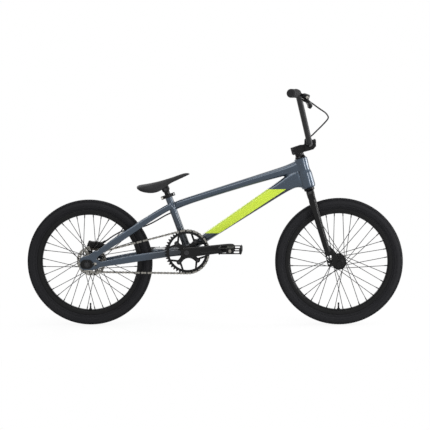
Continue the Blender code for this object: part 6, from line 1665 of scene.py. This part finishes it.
def model_lever():
    """The brake lever's body: a split clamp, the cylinder, its reservoir and the blade's fork."""
    base = lever_frame(BODY_DROP)
    out = base.to_3x3() @ FORWARD
    band = axis_frame(base.translation, out, base.to_3x3() @ ACROSS)
    clamp = ring("lever_clamp", BAR_RADIUS + 0.0042, BAR_RADIUS + GAP, 0.0075, -0.0075, band, 40)
    neck = block("neck", (0.014, 0.015, 0.013), lever_frame(BODY_DROP, 0, 0.0190), 0.002, 2)
    line = axis_frame(lever_frame(BODY_DROP, 0, CYLINDER_AHEAD).translation, out)
    cylinder = turned("cylinder", CYLINDER, line, 40)
    tank_at = (0.024 - BODY_INBOARD) / 2 + 0.001
    tank = block("tank", (0.046, 0.025, 0.0205), lever_frame(BODY_DROP, tank_at, CYLINDER_AHEAD), 0.0058, 4)
    x, y = LEVER_PIVOT
    fork = block("fork", (0.018, 0.016, 0.017), lever_frame(LEVER_DROP, x, y + 0.0005), 0.0022, 3)
    body = united(clamp, neck, cylinder, tank, fork)
    cut(body, block("slot", (0.030, 0.024, 0.0096), lever_frame(LEVER_DROP, x + 0.008, y + 0.004)))
    body.name = "lever_housing"
    finished(body, "fork", finishes()["satin"], ["brake_lever_body"], 35)


def model_lever_screws():
    """The screws of the reservoir's lid, the blade's pivot pin and the reach screw."""
    up = lever_frame(BODY_DROP, 0.006, 0.0330)
    out = lever_frame(BODY_DROP).to_3x3() @ FORWARD
    lid = axis_frame(up.translation + (up.to_3x3() @ UP) * -0.0090, up.to_3x3() @ -UP, out)
    screws = []
    for shift in (-0.016, 0.010):
        screws.append(socket_bolt("screw", 0.0028, 0.0016, lid @ Matrix.Translation((shift, 0, 0.0008))))
    pivot = axis_frame(joint_point("brake_lever_pull"), joint_axis("brake_lever_pull"))
    screws.append(rod("pin", 0.0032, 0.0094, -0.0094, pivot, 20, 0.0005))
    adjuster = axis_frame(lever_frame(BODY_DROP, 0.0235, 0.0435).translation, out)
    screws.append(ring("reach_screw", 0.0042, 0.0016, 0.0035, -0.0035, adjuster, 24))
    finished(joined("lever_screws", screws), "fork", finishes()["steel"])


def model_blade():
    """The blade that the fingers pull: rounded, swept and hooked at its tip."""
    place = lever_frame(LEVER_DROP)
    turn = place.to_3x3()
    x0, y0 = LEVER_PIVOT
    rows = []
    for index, (x, y, width, thick) in enumerate(BLADE):
        before = BLADE[max(index - 1, 0)]
        after = BLADE[min(index + 1, len(BLADE) - 1)]
        run = Vector((after[0] - before[0], after[1] - before[1], 0)).normalized()
        across = turn @ Vector((-run.y, run.x, 0))
        centre = place @ Vector((x0 + x, y0 + y, 0))
        rows.append(section(centre, across, turn @ UP, width, thick, 3.0, 12))
    blade = skinned("lever_blade", rows, 2)
    finished(blade, "lever", finishes()["satin"], ["brake_lever_blade"], 40)


# Brake


def model_axle_ends():
    """The oval tensioner block, the washer and the nut on each end of the rear axle."""
    face = REAR_WIDTH / 2 + DROPOUT_THICK + GAP
    start = face + TENSIONER_THICK
    inner = AXLE_RADIUS + GAP
    at = (REAR_AXLE.x, REAR_AXLE.z)
    for side, hand in HAND.items():
        ovals = []
        for radius in (TENSIONER_HALF, TENSIONER_HALF - 0.0042):
            oval = arc((TENSIONER_AHEAD, 0), radius, -math.pi / 2, math.pi / 2, 17)
            ovals.append(oval + arc((-TENSIONER_BEHIND, 0), radius, math.pi / 2, math.pi * 1.5, 17))
        middle = side_frame(hand * (face + TENSIONER_THICK / 2), at)
        outlines = [ovals[0], circle((0, 0), inner, 24)]
        body = plate("tensioner_block_" + side, outlines, TENSIONER_THICK, middle, 0.0011, 3)
        cut(body, plate("pocket", [ovals[1]], 0.0028, side_frame(hand * start, at)))
        finished(body, "frame", finishes()["carbon"], ["chain_tensioner_" + side], 30)
        outward = y_frame(REAR_AXLE, hand)
        washer = ring("washer", 0.0115, inner, start + 0.0020, start - 0.0013, outward, 40, 0.0003)
        nut = rod("axle_nut", 0.0098, start + 0.0105, start + 0.0020, outward, 6)
        bevelled(nut, 0.0006, 2, 40)
        dish = rod("dish", 0.0073, start + 0.012, start + 0.0098, outward, 32)
        cut(nut, dish, rod("bore", inner, start + 0.02, start - 0.01, outward, 32))
        nut_set = joined("axle_nut_set_" + side, [nut, washer])
        finished(nut_set, "frame", finishes()["dark"], ["axle_nut_" + side], 30)


def model_bracket():
    """The black bracket that carries the caliper on the left dropout."""
    outline = [(x + REAR_AXLE.x, z + REAR_AXLE.z) for x, z in BRACKET_OUTLINE]
    hole = circle((REAR_AXLE.x - 0.0060, REAR_AXLE.z + 0.0430), 0.0030, 20)
    place = side_frame(REAR_WIDTH / 2 - BRACKET_THICK / 2)
    obj = plate("caliper_bracket", [outline, hole], BRACKET_THICK, place, 0.0010, 2)
    finished(obj, "frame", finishes()["satin"], (), 30)


def caliper_frame(y, reach=CALIPER_REACH, shift=CALIPER_SHIFT):
    """x along the caliper to the front, y across the bike, z out from the axle."""
    out = around(1, CALIPER_ANGLE)
    along = Vector((math.sin(CALIPER_ANGLE), 0, -math.cos(CALIPER_ANGLE)))
    middle = REAR_AXLE + out * reach + along * shift + ACROSS * y
    return placed(along, ACROSS, along.cross(ACROSS), middle)


def caliper_port_frame():
    place = caliper_frame(ROTOR_Y + 0.0065, CALIPER_REACH + 0.0110, CALIPER_SHIFT + 0.0250)
    return axis_frame(place.translation, Vector((0.86, 0.14, 0.47)), UP)


def model_caliper():
    """The caliper: two rounded halves round the rotor, piston domes, bosses and its hose fitting."""
    reach = CALIPER_REACH
    place = caliper_frame(ROTOR_Y, reach - 0.0015)
    body = block("caliper_body", (0.056, 0.0255, 0.027), place, 0.0055, 4)
    place = caliper_frame(ROTOR_Y + 0.0060, reach - 0.0035)
    united(body, block("wing", (0.076, 0.0130, 0.0150), place, 0.004, 3))
    for hand in (-1, 1):
        place = axis_frame(caliper_frame(ROTOR_Y, reach - 0.004).translation, ACROSS * hand)
        united(body, rod("dome", 0.0105, 0.0140, 0, place, 32, 0.0020))
    slot = block("slot", (0.120, 0.0092, 0.030), caliper_frame(ROTOR_Y, reach - 0.0110))
    window = block("window", (0.020, 0.0080, 0.06), caliper_frame(ROTOR_Y, reach + 0.01), 0.002, 2)
    cut(body, slot, window)
    united(body, rod("inlet", 0.0046, 0.0100, -0.0060, caliper_port_frame(), 24, 0.0008))
    bolts = []
    for shift in (-0.0290, 0.0210):
        place = caliper_frame(ROTOR_Y + 0.006, reach, CALIPER_SHIFT + shift)
        united(body, rod("boss", 0.0070, 0.0085, -0.006, place, 24, 0.0010))
        bolts.append(socket_bolt("bolt", 0.0052, 0.0042, place @ Matrix.Translation((0, 0, 0.0084))))
    finished(body, "frame", finishes()["carbon"], ["brake_caliper"], 35)
    clip = axis_frame(caliper_frame(ROTOR_Y, reach + 0.0126).translation, ACROSS)
    bolts.append(rod("pad_pin", 0.0013, 0.0120, -0.0120, clip, 12))
    finished(joined("caliper_bolts", bolts), "frame", finishes()["dark"])


def model_hoses():
    """The brake hose's two held runs, from the lever into the frame and from the stay to the caliper."""
    radius = bike_sizes().hose
    port = caliper_port_frame()
    route = [Vector(point) for point in REAR_HOSE]
    route += [port @ Vector((0, 0, 0.018)), port @ Vector((0, 0, 0.010 + GAP))]
    rear = wire("hose_rear_run", smooth_route(route, 6), radius, 4)
    finished(rear, "frame", finishes()["hose"], ["brake_hose_rear"], 40)
    inboard = [-BODY_INBOARD - away for away in (0.0012, 0.006)]
    route = [lever_frame(BODY_DROP, along, CYLINDER_AHEAD).translation for along in inboard]
    route += [Vector(point) for point in FRONT_HOSE]
    front = wire("hose_front_run", smooth_route(route, 6), radius, 4)
    finished(front, "fork", finishes()["hose"], ["brake_hose_front"], 40)
    front.parent = None
    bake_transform(front)


# Seat


def saddle_rows():
    """Sections from the nose back: a crowned top, side skirts that deepen to the rear, hollow below."""
    along = Vector((-math.cos(SADDLE_TILT), 0, -math.sin(SADDLE_TILT)))
    normal = Vector((-math.sin(SADDLE_TILT), 0, math.cos(SADDLE_TILT)))
    rows = []
    for share, wide, top, edge, belly in SADDLE_ROWS:
        centre = SADDLE_NOSE + along * (share * SADDLE_LENGTH)
        half = wide * SADDLE_HALF
        shoulder = top - min(0.0035, 0.3 * (top - edge)) - 0.10 * (top - edge)
        flank = top + 0.55 * (edge - top)
        hollow = min(belly, belly + 0.4 * (edge - belly))
        side = [(0.50, top - 0.0006), (0.86, shoulder), (1.01, flank), (0.99, edge + 0.0010)]
        side += [(0.88, edge - 0.0002), (0.62, hollow)]
        shape = [(0, top)] + side + [(0, belly)] + [(-u, v) for u, v in reversed(side)]
        rows.append([centre + ACROSS * (u * half) + normal * v for u, v in shape])
    return rows


def model_saddle():
    """The moulded saddle with the bridge and lugs that hold it on its post."""
    shell = skinned("saddle_shell", saddle_rows(), 2)
    pivot = y_frame(SADDLE_PIVOT)
    above = axis_frame(SADDLE_PIVOT + SEAT_DIR * 0.014, SEAT_DIR, FORWARD)
    bridge = block("bridge", (0.026, 0.035, 0.030), above, 0.003, 3)
    united(shell, bridge, rod("lugs", 0.0095, 0.0175, -0.0175, pivot, 32, 0.001))
    clearance = rod("room", 0.0154, 0.0155, -0.0155, pivot, 32)
    post_room = rod("post_room", POST_RADIUS + 0.0009, 0, -0.05, axis_frame(SADDLE_PIVOT, SEAT_DIR), 32)
    cut(shell, clearance, post_room, rod("hole", SADDLE_BOLT_HOLE, 0.03, -0.03, pivot, 24))
    finished(shell, "seat", finishes()["saddle"], ["saddle"], 45)


def model_post():
    """The seat post with the round head that the saddle tilts on."""
    top = SADDLE_PIVOT.dot(SEAT_DIR) - 0.004
    post = rod("seat_pillar", POST_RADIUS, top, SEAT_TUBE_LENGTH - POST_IN_TUBE, seat_frame(), 40)
    united(post, rod("head", 0.0145, 0.015, -0.015, y_frame(SADDLE_PIVOT), 40, 0.0008))
    cut(post, rod("hole", SADDLE_BOLT_HOLE, 0.03, -0.03, y_frame(SADDLE_PIVOT), 24))
    finished(post, "post", finishes()["carbon"], ["seat_post"], 35)


def model_seat_clamp():
    """The collar round the seat tube, with its slotted ears and the lobe before them."""
    top = SEAT_TUBE_LENGTH + 0.0005
    low = top - SEAT_CLAMP_HEIGHT
    middle = top - SEAT_CLAMP_HEIGHT / 2
    outer = SEAT_TUBE_RADIUS + 0.0040
    clamp = ring("seat_collar", outer, SEAT_TUBE_RADIUS + GAP, top, low, seat_frame(), 48, 0.0008)
    ears = block("ears", (0.013, 0.017, SEAT_CLAMP_HEIGHT), seat_frame(middle, outer + 0.004), 0.0022, 3)
    lobe = block("lobe", (0.011, 0.010, SEAT_CLAMP_HEIGHT), seat_frame(middle, -outer - 0.0035), 0.0022, 3)
    united(clamp, ears, lobe)
    slot = block("slot", (0.022, 0.0016, 0.03), seat_frame(middle, outer + 0.005))
    bolt_hole = rod("hole", 0.0031, 0.03, -0.03, y_frame(seat_point(middle, outer + 0.0055)), 24)
    eye = rod("eye", 0.0026, 0.03, -0.03, y_frame(seat_point(middle, -outer - 0.0045)), 24)
    bore = rod("bore", SEAT_TUBE_RADIUS + GAP, top + 0.01, low - 0.01, seat_frame(), 48)
    cut(clamp, slot, bolt_hole, eye, bore)
    finished(clamp, "frame", finishes()["satin"], ["seat_clamp"], 30)


# CAD pieces that keep their own shape


KEPT = {
    "satin": ("bottom_bracket_cup_left", "bottom_bracket_cup_right", "front_axle"),
    "dark": ("rear_axle", "saddle_bolt", "pedal_axle_left", "pedal_axle_right"),
    "steel": ("seat_clamp_bolt",),
    "bearing": ("headset_bearing_lower", "headset_bearing_upper"),
    "pad": ("brake_pad_inner", "brake_pad_outer"),
}


def paint_kept():
    for finish, names in KEPT.items():
        for name in names:
            obj = frame["nodes"][name]
            obj.data.materials.clear()
            obj.data.materials.append(finishes()[finish])


# Stage


def model_floor(shadow):
    """A white floor, seen as plain white but for a share of its own shade."""
    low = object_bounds()[0].z
    bpy.ops.object.select_all(action="DESELECT")
    bpy.ops.mesh.primitive_plane_add(size=40, location=(0, 0, low - 0.0005))
    floor = added("floor")
    made, tree, shader = material("white floor")
    fed(tree, shader, {"Base Color": (0.9, 0.9, 0.9), "Roughness": 0.9, "Specular IOR Level": 0.1})
    floor.data.materials.append(made)
    floor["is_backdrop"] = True
    x, y, _ = split(tree, object_coordinates(tree))
    beyond = maths(tree, "SUBTRACT", maths(tree, "ABSOLUTE", x), SHADOW_HALF, clamp=True)
    far = hypotenuse(tree, beyond, y)
    near = maths(tree, "MULTIPLY_ADD", far, -1.6, 1.15, clamp=True)
    plain = maths(tree, "MULTIPLY_ADD", near, -shadow, 1.0)
    share = maths(tree, "MULTIPLY", camera_rays(tree), plain)
    white = node(tree, "Emission", {"Color": (1, 1, 1), "Strength": 1.0})
    blend = node(tree, "MixShader", {0: share, 1: shader.outputs[0], 2: white.outputs[0]})
    fed(tree, tree.nodes["Material Output"], {"Surface": blend.outputs[0]})


def model_room(ambient):
    """The white world: full strength for what the camera sees, and soft light for all else."""
    world = bpy.context.scene.world or bpy.data.worlds.new("studio")
    bpy.context.scene.world = world
    world.use_nodes = True
    tree = world.node_tree
    strength = maths(tree, "MULTIPLY_ADD", camera_rays(tree), 1.0 - ambient, ambient)
    fed(tree, tree.nodes["Background"], {"Color": (1, 1, 1), "Strength": strength})


def model_lamps(light):
    """Soft lamps that all face the bike."""
    lamps = (
        ("key", (-0.9, -2.6, 2.6), (3.2, 1.1), light.key),
        ("top", (0.1, -0.2, 3.0), (1.8, 1.8), light.top),
        ("front strip", (2.5, -2.3, 0.5), (0.40, 2.2), light.strip),
        ("side strip", (3.2, 0.3, 0.4), (1.15, 2.2), light.strip * SIDE_STRIP_SHARE),
        ("rim", (-1.6, 2.4, 1.6), (1.6, 1.6), light.rim),
    )
    for name, place, size, power in lamps:
        lamp = bpy.data.lights.new(name, "AREA")
        lamp.shape = "ELLIPSE" if size[0] == size[1] else "RECTANGLE"
        lamp.size, lamp.size_y = size
        lamp.energy = power
        obj = bpy.data.objects.new(name, lamp)
        bpy.context.scene.collection.objects.link(obj)
        obj.location = place
        obj.rotation_euler = (LAMP_TARGET - Vector(place)).to_track_quat("-Z", "Y").to_euler()


def camera_rays(tree):
    """1 for rays from the camera, from glossy surfaces and through glass, else 0."""
    rays = node(tree, "LightPath", {}).outputs
    both = maths(tree, "MAXIMUM", rays["Is Camera Ray"], rays["Is Glossy Ray"])
    return maths(tree, "MAXIMUM", both, rays["Is Transmission Ray"])


def place_camera():
    yaw, pitch, roll = CAMERA_YAW, CAMERA_PITCH, CAMERA_ROLL
    forward = Vector((-math.sin(yaw) * math.cos(pitch), math.cos(yaw) * math.cos(pitch), -math.sin(pitch)))
    right = Vector((math.cos(yaw), math.sin(yaw), 0))
    up = right.cross(forward)
    rolled_right = right * math.cos(roll) + up * math.sin(roll)
    rolled_up = up * math.cos(roll) - right * math.sin(roll)
    data = bpy.data.cameras.new("photo_camera")
    data.sensor_width = SENSOR_WIDTH
    data.lens = CAMERA_FOCAL_PIXELS / IMAGE_SIDE * SENSOR_WIDTH
    data.clip_end = 100
    camera = bpy.data.objects.new("photo_camera", data)
    bpy.context.scene.collection.objects.link(camera)
    camera.matrix_world = placed(rolled_right, rolled_up, -forward, CAMERA_AT)
    bpy.context.scene.camera = camera
    bpy.context.scene.view_settings.view_transform = "Standard"


# Panel settings


def colour(name, description, default):
    return bpy.props.FloatVectorProperty(name=name, description=description, default=default, size=3,
                                         min=0, max=1, subtype="COLOR")


class BikeColours(bpy.types.PropertyGroup):
    slate: colour("Slate", "Metallic colour of the frame", (0.023, 0.039, 0.061))
    lime: colour("Lime", "Panel on the down tube", (0.490, 0.630, 0.042))
    line: colour("Panel line", "Dark line along the panel's lower edge", (0.012, 0.014, 0.030))
    black: colour("Black", "Anodised and painted black pieces", (0.016, 0.016, 0.017))
    steel: colour("Steel", "Chain, cog, rotor and bright bolts", (0.56, 0.54, 0.49))
    dark: colour("Dark steel", "Spokes, dark bolts and hub shells", (0.040, 0.040, 0.042))
    rubber: colour("Tyre rubber", "Both tyres", (0.0095, 0.0095, 0.0110))
    grip: colour("Grip rubber", "Grips and valve stems", (0.014, 0.014, 0.015))
    saddle: colour("Saddle", "Moulded saddle shell", (0.012, 0.012, 0.013))
    hose: colour("Hose", "Brake hose", (0.012, 0.012, 0.013))


def number(name, description, default, **rest):
    return bpy.props.FloatProperty(name=name, description=description, default=default, min=0, **rest)


class BikeLight(bpy.types.PropertyGroup):
    ambient: number("Ambient", "Strength of the white room", 0.50)
    key: number("Key lamp", "Lamp before the bike", 40, unit="POWER")
    top: number("Top lamp", "Lamp over the bike", 30, unit="POWER")
    strip: number("Strip lamps", "Front strip; the side strip has 2.2 times its power", 46, unit="POWER")
    rim: number("Rim lamp", "Lamp behind the bike", 24, unit="POWER")
    shadow: number("Shadow", "Share of the floor's own shade that shows", 0.10, max=1, subtype="FACTOR")


class BikeSizes(bpy.types.PropertyGroup):
    tread: number("Tread height", "How far the tyre's blocks stand out", 0.0013, unit="LENGTH", precision=4)
    spoke: number("Spoke radius", "Radius of every spoke", 0.0013, unit="LENGTH", precision=4)
    hose: number("Hose radius", "Radius of the brake hose", 0.0028, unit="LENGTH", precision=4)
    weld: number("Weld grid", "Fineness of the frame's welded skin", 0.0019, unit="LENGTH", precision=4)


def bike_sizes():
    return bpy.context.scene.bike_sizes


class BIKE_OT_frame(bpy.types.Operator):
    """Models the welded frame as one painted skin"""

    bl_idname = "bike.frame"
    bl_label = "Frame"

    def execute(self, context):
        model_frame()
        return {"FINISHED"}


class BIKE_OT_wheels(bpy.types.Operator):
    """Models both wheels with their tyres, rims, spokes, hubs and valves, and the brake rotor"""

    bl_idname = "bike.wheels"
    bl_label = "Wheels"

    def execute(self, context):
        front_end = FRONT_WIDTH / 2 - 0.0060
        model_wheel("front", FRONT_AXLE, (FRONT_FLANGE, FRONT_FLANGE), (front_end, front_end))
        left_end = ROTOR_Y - ROTOR_THICK / 2 - GAP
        right_end = CHAIN_LINE - 0.0070 - 2 * GAP
        model_wheel("rear", REAR_AXLE, (REAR_FLANGE_RIGHT, REAR_FLANGE_LEFT), (right_end, left_end))
        model_rotor()
        return {"FINISHED"}


class BIKE_OT_drive(bpy.types.Operator):
    """Models the chainring, crank arms, pedals, chain and cog"""

    bl_idname = "bike.drive"
    bl_label = "Drive"

    def execute(self, context):
        model_chainring()
        model_cog()
        model_chain()
        for side in HAND:
            model_arm(side)
            model_pedal(side)
        return {"FINISHED"}


class BIKE_OT_fork(bpy.types.Operator):
    """Models the fork and the headset's covers"""

    bl_idname = "bike.fork"
    bl_label = "Fork"

    def execute(self, context):
        model_fork()
        model_headset()
        return {"FINISHED"}


class BIKE_OT_cockpit(bpy.types.Operator):
    """Models the stem, handlebar, grips and brake lever"""

    bl_idname = "bike.cockpit"
    bl_label = "Stem, bar and lever"

    def execute(self, context):
        model_stem()
        model_clamp_plate()
        model_steerer_cap()
        model_handlebar()
        for side in HAND:
            model_grip(side)
        model_lever()
        model_lever_screws()
        model_blade()
        return {"FINISHED"}


class BIKE_OT_brake(bpy.types.Operator):
    """Models the caliper, its bracket and the brake hose"""

    bl_idname = "bike.brake"
    bl_label = "Caliper and hose"

    def execute(self, context):
        model_caliper()
        model_bracket()
        model_hoses()
        return {"FINISHED"}


class BIKE_OT_seat(bpy.types.Operator):
    """Models the saddle, seat post and seat clamp"""

    bl_idname = "bike.seat"
    bl_label = "Seat"

    def execute(self, context):
        model_saddle()
        model_post()
        model_seat_clamp()
        return {"FINISHED"}


class BIKE_OT_hardware(bpy.types.Operator):
    """Models the rear axle's tensioners and nuts, and gives the kept CAD pieces their finishes"""

    bl_idname = "bike.hardware"
    bl_label = "Hardware"

    def execute(self, context):
        model_axle_ends()
        paint_kept()
        return {"FINISHED"}


class BIKE_OT_stage(bpy.types.Operator):
    """Builds the floor, the lamps and the camera"""

    bl_idname = "bike.stage"
    bl_label = "Stage"

    def execute(self, context):
        light = context.scene.bike_light
        model_floor(light.shadow)
        model_room(light.ambient)
        model_lamps(light)
        place_camera()
        return {"FINISHED"}


STEPS = (BIKE_OT_frame, BIKE_OT_wheels, BIKE_OT_drive, BIKE_OT_fork, BIKE_OT_cockpit, BIKE_OT_brake,
         BIKE_OT_seat, BIKE_OT_hardware, BIKE_OT_stage)


class BIKE_PT_panel(bpy.types.Panel):
    """Lists the steps that model the bike, and its colours, lamps and sizes"""

    bl_idname = "BIKE_PT_panel"
    bl_label = "BMX race bike"
    bl_space_type = "VIEW_3D"
    bl_region_type = "UI"
    bl_category = "Bike"

    def draw(self, context):
        for step in STEPS:
            self.layout.operator(step.bl_idname)
        for group in (context.scene.bike_colours, context.scene.bike_light, context.scene.bike_sizes):
            for name in group.__annotations__:
                self.layout.prop(group, name)


CLASSES = (BikeColours, BikeLight, BikeSizes, *STEPS, BIKE_PT_panel)


def register():
    for cls in CLASSES:
        bpy.utils.register_class(cls)
    bpy.types.Scene.bike_colours = bpy.props.PointerProperty(type=BikeColours)
    bpy.types.Scene.bike_light = bpy.props.PointerProperty(type=BikeLight)
    bpy.types.Scene.bike_sizes = bpy.props.PointerProperty(type=BikeSizes)


def unregister():
    del bpy.types.Scene.bike_sizes
    del bpy.types.Scene.bike_light
    del bpy.types.Scene.bike_colours
    for cls in reversed(CLASSES):
        bpy.utils.unregister_class(cls)


def main():
    register()
    bpy.ops.bike.frame()
    bpy.ops.bike.wheels()
    bpy.ops.bike.drive()
    bpy.ops.bike.fork()
    bpy.ops.bike.cockpit()
    bpy.ops.bike.brake()
    bpy.ops.bike.seat()
    bpy.ops.bike.hardware()
    bpy.ops.bike.stage()


if __name__ == "__main__":
    main()
